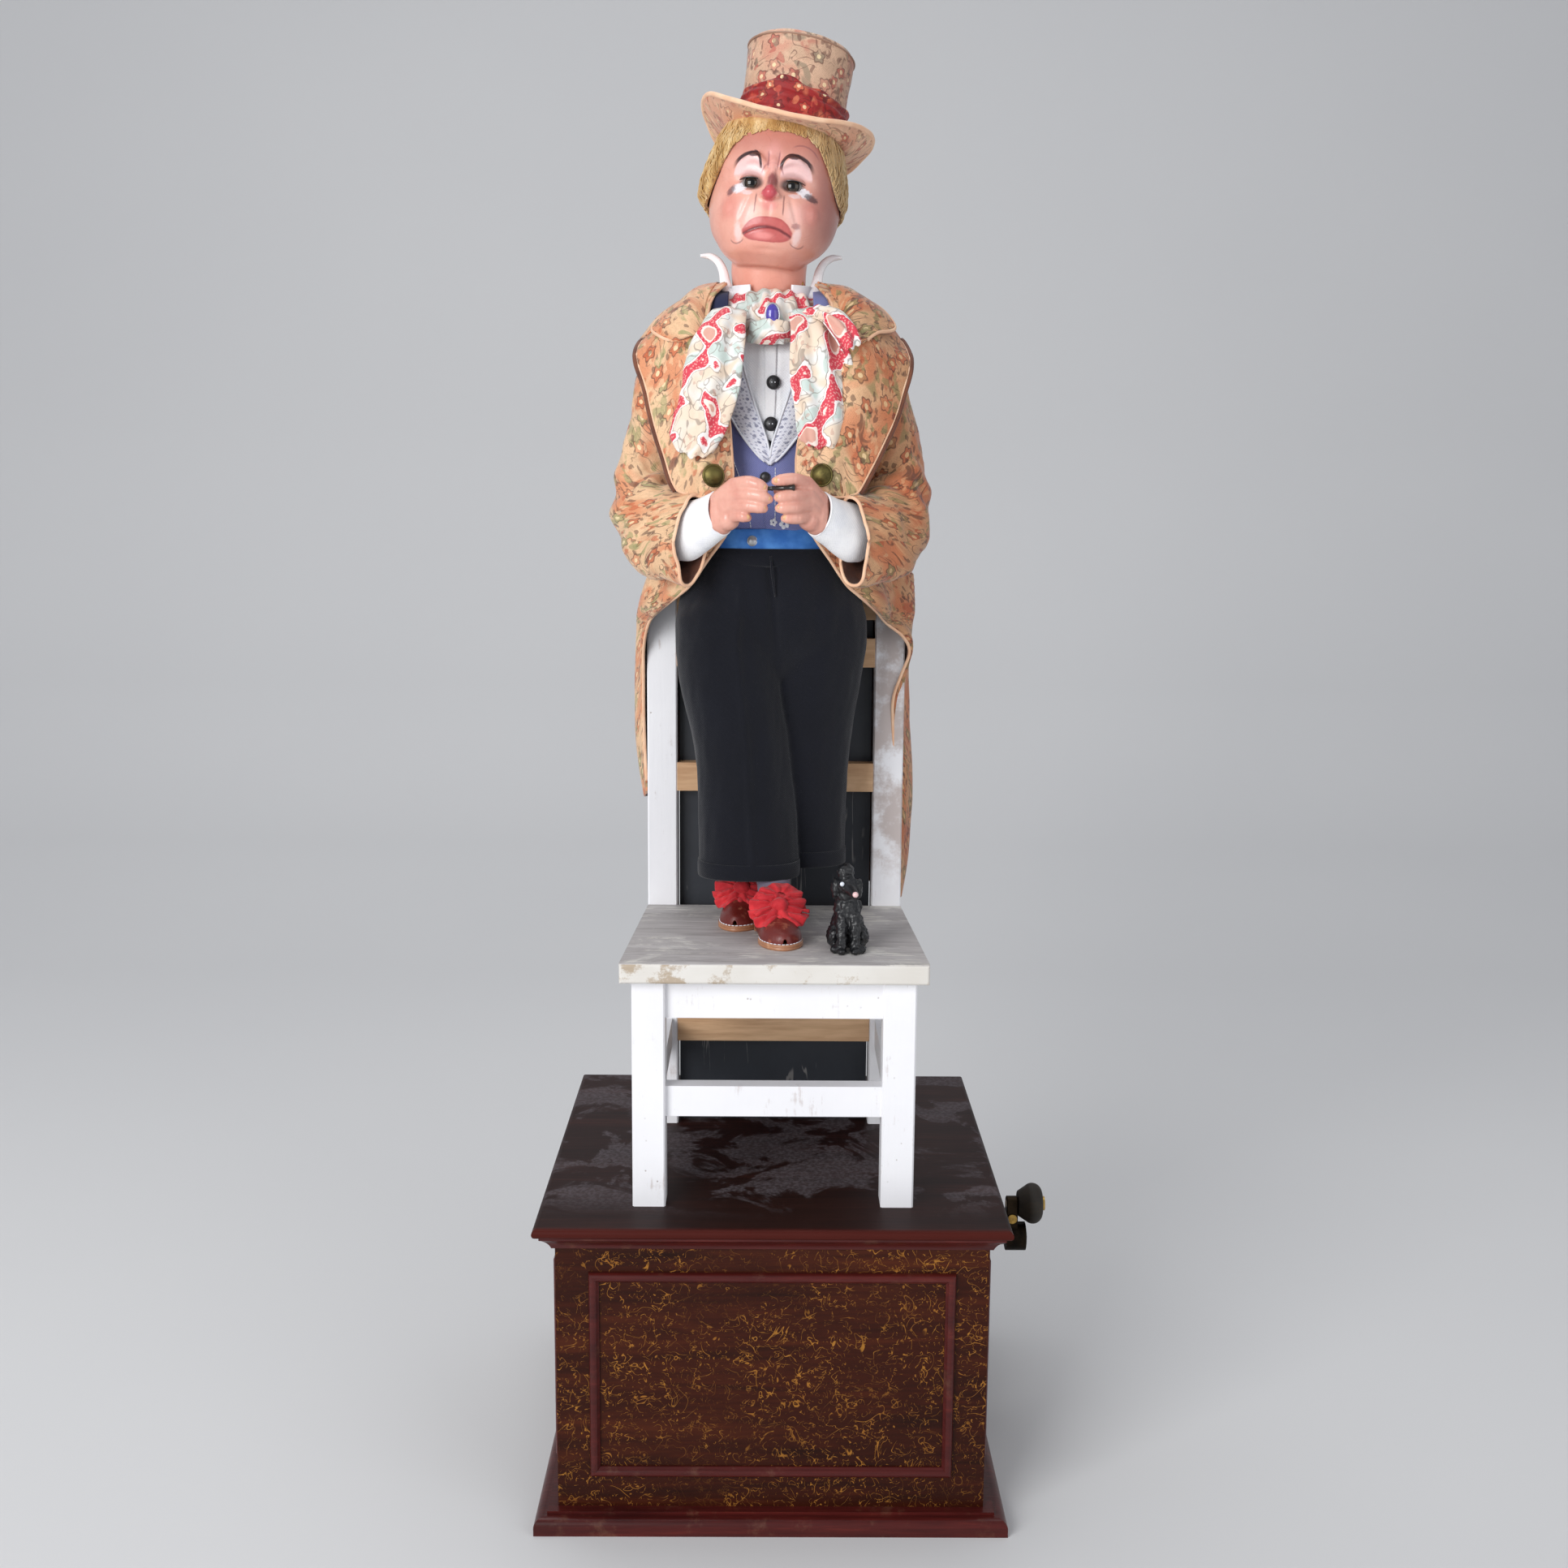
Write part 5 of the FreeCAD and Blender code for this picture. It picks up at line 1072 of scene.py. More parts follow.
def ruffle(name, place, centre, half_x, half_y, tilt, waves, depth, seed, turn=(0.0, 2 * math.pi),
           inner=0.25):
    """A gathered frill: tight at its heart and deeply waved at its rim."""
    rows = []
    turns = np.linspace(turn[0], turn[1], 30 * waves // 2)
    for t in np.linspace(inner, 1.0, 16):
        row = []
        for a in turns:
            wave = math.sin(a * waves + 1.3 * noise.noise(Vector((a * 1.5, seed, 0.0))) * 2)
            swell = 1 + 0.12 * noise.noise(Vector((math.cos(a) * 2, math.sin(a) * 2, seed)))
            x = half_x * t * swell * math.cos(a)
            y = half_y * t * swell * math.sin(a)
            z = (depth * wave * t ** 1.2 + depth * 0.9 * math.sin(t * math.pi)
                 - 1.5 * depth * t * t * 0.5)
            row.append((centre[0] + x, centre[1] + y * math.cos(tilt) - z * math.sin(tilt),
                        centre[2] + y * math.sin(tilt) + z * math.cos(tilt)))
        rows.append(row)
    grid = crumple(moved(np.array(rows), place), 0.5, 3.0, seed)
    return cloth(name, grid, RED_SILK, "gathered", ["shoes"], thick=0.45, slot="red_silk")


def make_rosettes():
    for name, ankle, turn, nodes in (("rosette_front", FRONT_ANKLE, FRONT_TURN, ("rosettes",)),
                                     ("rosette_rear", REAR_ANKLE, REAR_TURN, ())):
        place = shoe_place(ankle, turn)
        first = ruffle(name + "_a", place, (0, -20, 19.5), 20.0, 13.0, 0.75, 11, 1.9, 1)
        if nodes:
            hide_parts(*nodes)
        ruffle(name + "_b", place, (-1, -18, 24.5), 18.5, 11.5, 0.95, 9, 2.1, 2)
        ruffle(name + "_c", place, (1, -15, 29.5), 15.0, 9.0, 1.1, 8, 2.0, 3)
        knot = egg((0, -19, 24.5), 6.0, 4.5, 5.5, 0.6, 14, 24)
        knot = crumple(moved(knot, place), 0.9, 3.2, 5, closed=True)
        grid_piece(name + "_knot", knot, RED_SILK, closed=True, caps=True, slot="red_silk")


# ------------------------------------------------------------------ poodle
def make_dog():
    """A sitting poodle in cast black resin with rows of modelled curls."""
    x, y, z = 47.0, -82.0, SEAT
    bm = bmesh.new()
    for centre, rx, ry, rz in (
            ((x, y + 7, z + 13), 11, 14, 13.5), ((x - 1, y - 1, z + 26), 8.4, 8.6, 12.5),
            ((x - 1, y - 2, z + 36), 6.6, 6.6, 7), ((x - 1.2, y - 4, z + 43), 6.8, 7.2, 6.6),
            ((x - 2, y - 2, z + 51.5), 5.6, 5.8, 5.3),
            ((x - 8.4, y - 2.5, z + 40.5), 2.8, 4.2, 6.8),
            ((x + 6.2, y - 2.5, z + 40.5), 2.8, 4.2, 6.8),
            ((x - 8.5, y + 3, z + 8), 5.2, 9, 7.5), ((x + 8.5, y + 3, z + 8), 5.2, 9, 7.5),
            ((x - 8.2, y - 9.5, z + 2.4), 3.6, 5.2, 2.6),
            ((x + 8.4, y - 9.5, z + 2.4), 3.6, 5.2, 2.6)):
        add_grid(bm, egg(centre, rx, ry, rz))
    for side in (-1, 1):
        capsule_mesh(bm, [(x + side * 4, y - 6, z + 24), (x + side * 4.3, y - 10, z + 12),
                          (x + side * 4.5, y - 11.5, z + 3)], (4.2, 3.4, 3.5))
        add_grid(bm, egg((x + side * 4.6, y - 14, z + 2.2), 3.4, 4.4, 2.4))
    capsule_mesh(bm, [(x, y - 9, z + 42), (x + 2, y - 14, z + 41), (x + 3.2, y - 18, z + 40)],
                 (4.2, 3.2, 2.8))
    capsule_mesh(bm, [(x + 4, y + 18, z + 9), (x + 7, y + 24, z + 16), (x + 7, y + 25, z + 23)],
                 (2.2, 2.2, 3.6))
    verts, faces, out = melted(bm, 0.75, 3)
    curl = []
    for point in verts:
        p = Vector(point)
        spin = noise.noise(p / 5.0) * 5
        cell = noise.voronoi(p / 2.7 + Vector((spin, 0, 0)) * 0.12)[0][0]
        on_muzzle = p.y < y - 12 and p.z > z + 30
        curl.append((0.5 - cell) * 1.5 * (0.12 if on_muzzle else 1.0))
    verts = verts + out * np.array(curl)[:, None]
    verts[:, 2] = np.maximum(verts[:, 2], SEAT)
    make_object("poodle", verts, faces, BLACK_RESIN, slot="black_resin", replaces=("dog_figure",))
    for name, centre, r, paint in (
            ("poodle_eye_left", (x - 4.4, y - 10.6, z + 45), 1.5, WHITE_BEAD),
            ("poodle_nose", (x + 3.6, y - 20.6, z + 40.4), 1.9, PINK_BEAD)):
        grid_piece(name, egg(centre, r, r * 0.9, r), paint, closed=True, caps=True)


make_trousers()
stockings()
make_shoe("shoe_front", FRONT_ANKLE, FRONT_TURN, ("shoes",))
make_shoe("shoe_rear", REAR_ANKLE, REAR_TURN, ())
make_rosettes()
make_dog()


# ------------------------------------------------------------------ shirt, waistcoat, belt
TORSO = [(HIP + t * TORSO_H, FIG_X, 0.0, rx, ry, 2.0) for t, rx, ry in
         ((0.0, 46, 33), (0.28, 46, 35), (0.6, 48, 38), (0.86, 50, 34), (1.0, 44, 27))]
COAT = [(598, 2, 17, 92, 70, 2.9), (610, 1, 16, 84, 65, 2.8), (621, -2, 10, 66, 56, 2.6),
        (640, -5, 6, 58, 51, 2.4), (698, -5, 1, 57, 48, 2.4), (748, -5, 2, 58, 43, 2.5),
        (778, -5, 3, 58, 38, 2.6), (788, -5, 3, 42, 32, 2.3)]


def beside(points, side):
    """Points given by their distance from the figure's middle, on one side of it."""
    return [(FIG_X + side * dx, *rest) for dx, *rest in points]


def patch(edges, out, across=24, table=TORSO):
    """A grid laid on the front of a body between (z, left x, right x) edges."""
    rows = []
    for z, left, right in edges:
        rows.append([(x, front(table, x, z, out), z) for x in np.linspace(left, right, across)])
    return np.array(rows)


def laid(points, out, table=TORSO):
    """(x, z) points set on the front of a body."""
    return [(x, front(table, x, z, out), z) for x, z in points]


def make_shirt():
    edges = spline([(768, -32, 22), (745, -30, 19), (720, -25, 14), (700, -19, 6), (684, -11, -1),
                    (676, -8, -4)], 40)
    grid = patch(edges, 0.7, 40)
    pleat = 0.3 * np.cos((grid[..., 0] - FIG_X) * 0.5) ** 8 * (np.abs(grid[..., 0] - FIG_X) > 5)
    grid = grid + normals(grid) * pleat[..., None] * np.sign(-normals(grid)[..., 1:2])
    grid = crumple(grid, 0.5, 12.0, 21, stretch=(0.6, 1, 1.6))
    grid_piece("shirt_bosom", grid, LINEN, thick=0.5, slot="white_linen", replaces=("shirt_front",))
    band = patch(spline([(752, -9, -1), (720, -8.5, -1.5), (684, -7.5, -3)], 30), 1.5, 8)
    grid_piece("shirt_placket", band, LINEN, thick=0.6, slot="white_linen")


def domed_button(name, centre, radius, height, paint, face=(0.0, -1.0, 0.0), **how):
    """A domed button with a raised rim; face is the way that it looks."""
    out = np.array(face, float)
    out /= np.linalg.norm(out)
    over = np.cross(out, (0, 0, 1.0))
    over /= np.linalg.norm(over)
    up_way = np.cross(over, out)
    profile = [(0.02, 1.0), (0.35, 0.93), (0.65, 0.72), (0.82, 0.5), (0.86, 0.38), (0.93, 0.42),
               (1.0, 0.3),
               (0.98, 0.08), (0.8, 0.0), (0.3, -0.1)]
    rows = []
    for r, up in spline(profile, 26):
        turns = circle(36)
        rows.append([np.array(centre) + out * height * up
                     + (over * math.cos(a) + up_way * math.sin(a)) * radius * r for a in turns])
    return grid_piece(name, np.array(rows), paint, closed=True, caps=True, **how)


def make_shirt_buttons():
    bm = bmesh.new()
    for k, (x, z) in enumerate(((-3, 727.5), (-4.5, 701.5))):
        y = front(TORSO, x, z, 2.2)
        domed_button("shirt_button_%d" % (k + 1), (x, y, z), 4.5, 2.3, BLACK_BUTTON,
                     slot="dark_horn", replaces=("shirt_buttons",) if k == 0 else ())
        for side in (-1, 1):
            add_grid(bm, egg((x + side * 1.0, y - 2.3, z), 0.4, 0.3, 0.4, 0.0, 6, 8))
    from_bm("button_threads", bm, PIPING)
    y = front(TORSO, -7, 688, 2.4)
    domed_button("waistcoat_button", (-8, front(TORSO, -8, 668, 4.6), 668), 3.4, 2.0, BLACK_BUTTON,
                 slot="dark_horn")
    domed_button("shirt_button_3", (-6.5, y, 688), 3.6, 2.0, BLACK_BUTTON, slot="dark_horn")


def make_waistcoat():
    """Denim body with a deep V, dotted lapels piped in white, and rows of stitching."""
    for side, name, out in ((-1, "left", 2.8), (1, "right", 3.6)):
        inner = [(766, side * 26), (740, side * 23), (712, side * 16), (692, side * 7),
                 (680, side * 1.0),
                 (672, -side * 2.5), (655, -side * 3), (640, -side * 3.5), (634.5, -side * 2)]
        edges = [(z, FIG_X + x, FIG_X + side * 47) for z, x in inner]
        grid = patch(spline(edges, 56), out, 30)
        grid = crumple(grid, 0.45, 14.0, 30 + side, stretch=(1, 1, 1.5))
        grid_piece("waistcoat_" + name, grid, DENIM, thick=0.9, slot="denim_blue",
                   replaces=("waistcoat",) if side < 0 else ())
        outer = beside(((35, 766), (34, 740), (29, 715), (20.5, 698), (9, 683), (0.5, 675.5)), side)
        inner_edge = beside(((21, 766), (18.5, 744), (12.5, 722), (6, 703), (1.2, 688),
                             (-0.2, 676)), side)
        left, right = spline(inner_edge, 44), spline(outer, 44)
        rows = []
        for (x0, z0), (x1, z1) in zip(left, right):
            row = []
            for t in np.linspace(0, 1, 12):
                x, z = x0 + (x1 - x0) * t, z0 + (z1 - z0) * t
                row.append((x, front(TORSO, x, z, out + 1.5 + 1.0 * math.sin(math.pi * t)), z))
            rows.append(row)
        grid_piece("lapel_" + name, np.array(rows), LAPEL, thick=0.9, slot="denim_blue")
        for which, line in (("inner", left), ("outer", right)):
            tube("piping_%s_%s" % (which, name), laid(line[::4], out + 2.2), 0.75, PIPING, sides=7)
        seam = laid(beside(((31, 712), (27, 690), (21, 672), (15, 655), (12, 636)), side),
                    out + 0.8)
        stitches("stitching_" + name, seam)
    for name, x0, z0, x1, z1 in (("front_edge", 3.5, 674, 3.6, 636), ("pocket", 12, 662, 24, 664)):
        seam = beside([(x0, z0), ((x0 + x1) / 2, (z0 + z1) / 2), (x1, z1)], 1)
        stitches("stitching_" + name, laid(seam, 4.4))
    bm = bmesh.new()
    for cx, cz, r in ((4.5, 638.5, 3.4), (-2.5, 639.5, 2.5), (9.5, 641, 2.3)):
        for k in range(5):
            a = 2 * math.pi * k / 5 + cx
            x, z = cx + r * 0.6 * math.cos(a), cz + r * 0.6 * math.sin(a)
            add_grid(bm, egg((x, front(TORSO, x, z, 4.4), z), r * 0.42, 0.5, r * 0.42, 0, 6, 10))
    from_bm("waist_embroidery", bm, PIPING, slot="white_linen")


def stitches(name, line, pitch=2.2, length=1.4, radius=0.28):
    """A row of separate stitches of white thread along a line."""
    fine = spline(line, 200)
    step = np.linalg.norm(np.diff(fine, axis=0), axis=1)
    along = np.concatenate([[0], np.cumsum(step)])
    bm = bmesh.new()
    at = 0.3
    while at + length < along[-1]:
        pair = [[np.interp(s, along, fine[:, k]) for k in range(3)] for s in (at, at + length)]
        capsule_mesh(bm, pair, (radius, radius), 6, 3)
        at += pitch
    return from_bm(name, bm, PIPING)


def make_belt():
    turns = np.linspace(math.radians(188), math.radians(352), 90)
    rows = []
    for z, out in ((635, 2.6), (635.2, 3.8), (634, 4.4), (627, 4.8), (620.5, 4.4), (619.5, 3.8),
                   (619.8, 2.6)):
        cx, cy, rx, ry, _ = at_height(TORSO, z)
        rows.append(section(z, cx, cy, rx + out, ry + out, 2.0, turns))
    grid = crumple(dense(rows, 22, 120), 0.35, 9.0, 41, stretch=(1, 1, 0.4))
    grid_piece("sash_belt", grid, BELT_BLUE, slot="belt_blue", replaces=("belt",))
    x, z = -16.0, 627.5
    domed_button("belt_stud", (x, front(TORSO, x, z, 4.6), z), 3.4, 1.8, SILVER, slot="steel")
    rows = []
    for z, out in ((622.5, 2.9), (621.5, 4.0), (617, 4.4), (612, 3.6), (610.5, 1.8)):
        cx, cy, rx, ry, _ = at_height(TORSO, z)
        rows.append(section(z, cx, cy, rx + out + 1, ry + out + 2.2, 2.0, turns))
    grid_piece("trouser_waistband", dense(rows, 14, 120), WOOL, slot="wool")


def make_brooch(y):
    """An oval glass stone in a claw setting."""
    x, z = FIG_X + 1.0, 768.5
    grid_piece("brooch_stone", egg((x, y - 1.2, z), 4.0, 2.8, 6.6, 0, 16, 28), GEM, closed=True,
               caps=True,
               slot="gem_glass", replaces=("brooch",))
    rows, behind = [], np.array((0, 1, 0))
    for a in circle(48):
        centre = np.array((x + 4.4 * math.cos(a), y - 0.8, z + 7.0 * math.sin(a)))
        out = np.array((math.cos(a) * 0.9, 0, math.sin(a)))
        rows.append([centre + 0.7 * (out * math.cos(t) + behind * math.sin(t))
                     for t in circle(8)])
    hoop("brooch_setting", rows, SILVER, slot="steel")


# ------------------------------------------------------------------ cravat and collar
def make_cravat():
    """A gathered band, a short centre fall, and loose ends and a tab over the lapels."""
    turns = np.linspace(math.radians(180), math.radians(360), 26)
    band = []
    for z, rx, ry in ((786, 27.5, 27.5), (784, 32, 32), (778, 36.5, 38), (771, 38.5, 42),
                      (764, 37, 42.5), (757.5, 32, 38)):
        lean = [(FIG_X + rx * math.cos(a), ry * math.sin(a) + 1.0,
                 z - 4 * abs(math.cos(a)) ** 2) for a in turns]
        band.append(lean)
    grid = dense(band, 40, 130)
    flute = np.sin(grid[..., 0] * 0.75 + np.sin(grid[..., 2] * 0.12) * 2.2)
    grid = pushed(grid, flute * 0.9)
    grid = crumple(grid, 1.3, 7.0, 51, stretch=(0.6, 1, 1.8))
    grid_piece("cravat_band", grid, NECKCLOTH, thick=0.8, slot="neckcloth", replaces=("cravat",))
    centre = [[(-18, -42, 764), (-12, -45, 765), (-5, -47, 766), (3, -46, 765), (9, -42, 764)],
              [(-19, -42, 757), (-13, -46.5, 757), (-5, -48.5, 757), (3, -47, 757), (9, -43, 757)],
              [(-20, -41, 754.5), (-13, -44, 753.5), (-6, -45.5, 753), (2, -44.5, 753.5),
               (8, -42, 754.5)],
              [(-20, -40, 752), (-13, -42, 751), (-6, -43, 750.5), (2, -42.5, 751),
               (7, -40.5, 752)]]
    grid = crumple(dense(centre, 22, 40), 0.9, 6.0, 52, stretch=(0.5, 1, 2))
    cloth("cravat_fall", grid, NECKCLOTH, "hung", ["cravat_band"], thick=0.8, slot="neckcloth")

    ends = {
        "cravat_end_left": [
            [(-20, -43, 770), (-27, -46, 772), (-35, -44, 773), (-43, -38, 770)],
            [(-21, -52, 760), (-31, -56, 760), (-42, -54, 760), (-52, -46, 757)],
            [(-22, -57, 744), (-34, -61, 743), (-47, -58, 743), (-58, -50, 746)],
            [(-24, -60, 725), (-38, -64, 723), (-51, -61, 722), (-63, -52, 725)],
            [(-29, -62, 706), (-42, -65.5, 704), (-54, -62, 702), (-66, -54, 706)],
            [(-36, -62, 690), (-46, -66, 687), (-57, -62.5, 687), (-68.5, -55, 695)],
            [(-41, -62, 682.5), (-49, -65, 679.5), (-58, -62, 681), (-67.5, -56, 689)]],
        "cravat_end_right": [
            [(6, -43, 770), (13, -47, 772), (21, -46, 773), (30, -40, 771)],
            [(7, -52, 760), (17, -57, 759), (28, -56, 758), (39, -48, 757)],
            [(6.5, -56, 744), (18, -61, 742), (31, -60, 740), (45, -52, 741)],
            [(7, -59, 728), (19, -63.5, 724), (33, -62, 722), (48, -53, 725)],
            [(10, -60, 711), (21, -65, 708), (34, -63.5, 706), (49, -55, 711)],
            [(12, -60, 696), (21, -64.5, 693), (32, -64, 692), (44, -57, 698)],
            [(15, -60, 689), (22, -63.5, 686.5), (31, -63, 686), (40, -58, 691)]],
        "cravat_tab_right": [
            [(14, -49, 770), (22, -51, 773), (31, -47, 774)],
            [(26, -60, 764), (35, -59, 767), (42, -52, 768)],
            [(34, -66, 753), (44, -63, 757), (49, -56, 760)],
            [(39, -66.5, 744), (47, -64, 747), (52, -58, 752)]],
    }
    for k, (name, rows) in enumerate(ends.items()):
        grid = dense(rows, 54, 44)
        u, v = shares(grid)
        gather = (np.sin((u * 5.0 + np.sin(v * 3.0 + k) * 0.35) * math.pi) * (1.9 - 0.7 * v)
                  * np.clip(v * 5, 0.3, 1))
        grid = crumple(pushed(grid, gather), 1.0, 9.0, 60 + k)
        grid[..., 2] += 1.2 * np.sin(u * 21 + k) * v ** 6
        cloth(name, grid, NECKCLOTH, "hung", ["cravat_band"], thick=0.7, slot="neckcloth")


def make_collar():
    """A starched standing collar whose two points curl outwards like horns."""
    turns = np.linspace(math.radians(-62), math.radians(242), 90)
    rows = []
    for z, r in ((770, 28.4), (776, 28.0), (783, 27.6), (788, 27.8), (790, 28.2)):
        rows.append([(FIG_X + r * math.cos(a), r * math.sin(a),
                      z + 0.8 * math.sin(a)) for a in turns])
    grid = dense(rows, 14, 110)
    grid_piece("collar_band", grid, LINEN, thick=1.2, slot="white_linen", replaces=("collar",))
    for side, name in SIDES:
        lift, belly = 0.0 if side < 0 else -0.6, np.array((0, -1.4, 0))
        spine = [(26, -15, 774), (27, -13, 783), (29.6, -8, 792), (31.2, -3, 800), (34.4, 0, 806.3),
                 (39.6, 1, 809.8), (46, 1, 810.2)]
        wide = [10.5, 8.2, 6.2, 5.0, 4.2, 3.2, 0.7]
        line = np.array(beside(spline(spine, 34), side)) + (0, 0, lift)
        along = np.gradient(line, axis=0)
        along /= np.linalg.norm(along, axis=1, keepdims=True)
        grid = []
        for centre, w, t in zip(line, widths(wide, 34), along):
            over = np.cross(t, (0, -1, 0))
            over /= np.linalg.norm(over)
            grid.append([centre + over * w * 0.5 * s + belly * (1 - s * s)
                         for s in np.linspace(-1, 1, 9)])
        grid_piece("collar_horn_" + name, np.array(grid), LINEN, thick=1.3, slot="white_linen")
    for side, name in SIDES:
        rows = [beside(row, side) for row in (
            [(27, -8, 787), (35, -9, 787), (42, -8, 785)],
            [(27, -24, 782), (36, -24, 781), (43, -20, 778)],
            [(27, -34, 770), (36, -35, 767), (43, -31, 765)],
            [(26, -41, 752), (34, -42, 748), (41, -38, 748)])]
        grid = crumple(dense(rows, 26, 20), 0.5, 9.0, 70)
        grid_piece("waistcoat_collar_" + name, grid, DARK_DENIM if side < 0 else DENIM, thick=1.0,
                   slot="denim_blue")


make_shirt()
make_shirt_buttons()
make_waistcoat()
make_belt()
make_cravat()
make_brooch(-44.0)
make_collar()


# ------------------------------------------------------------------ coat
def outward(grid, away, closed=False):
    """The grid with its columns turned round, if need be, so that its faces look away."""
    facing = (normals(grid, closed) * away).sum()
    return grid if facing > 0 else grid[:, ::-1]


def mirrored(rows):
    return [[(2 * FIG_X - x, y, z) for x, y, z in row] for row in rows]


def lined(name, grid, rests_on, thick=COAT_THICK, **how):
    """A lined piece of the coat that hangs."""
    return cloth(name, grid, [COAT_CLOTH, LINING], "hung", rests_on, thick=thick, slot="brocade",
                 **how)


def coat_body():
    """Back, sides and shoulders of the coat, open in front."""
    rows = []
    top = COAT[-1][0]
    for z, gape in ((640, 30), (655, 30), (675, 29), (698, 29), (725, 31), (748, 33), (768, 34),
                    (780, 33), (787, 30), (790.5, 27)):
        cx, cy, rx, ry, square = at_height(COAT, min(z, top))
        if z > top:
            rx, ry = rx - 5, ry - 4
        start = math.acos(min(gape / rx, 0.99))
        turns = np.linspace(-start, math.pi + start, 60)
        rows.append(section(z, cx, cy, rx, ry, square, turns))
    grid = dense(rows, 70, 150)
    flutes = np.sin(np.linspace(0, 22, 150))[None, :] * np.linspace(1.0, 0.0, 70)[:, None]
    grid = crumple(pushed(grid, flutes * 0.8), 1.3, 24.0, 81, stretch=(1, 1, 1.4))
    grid = outward(grid, grid - np.array((FIG_X, 5.0, 700.0)))
    lined("coat_body", grid, ["torso_core"], thick=1.6, replaces=("coat",))


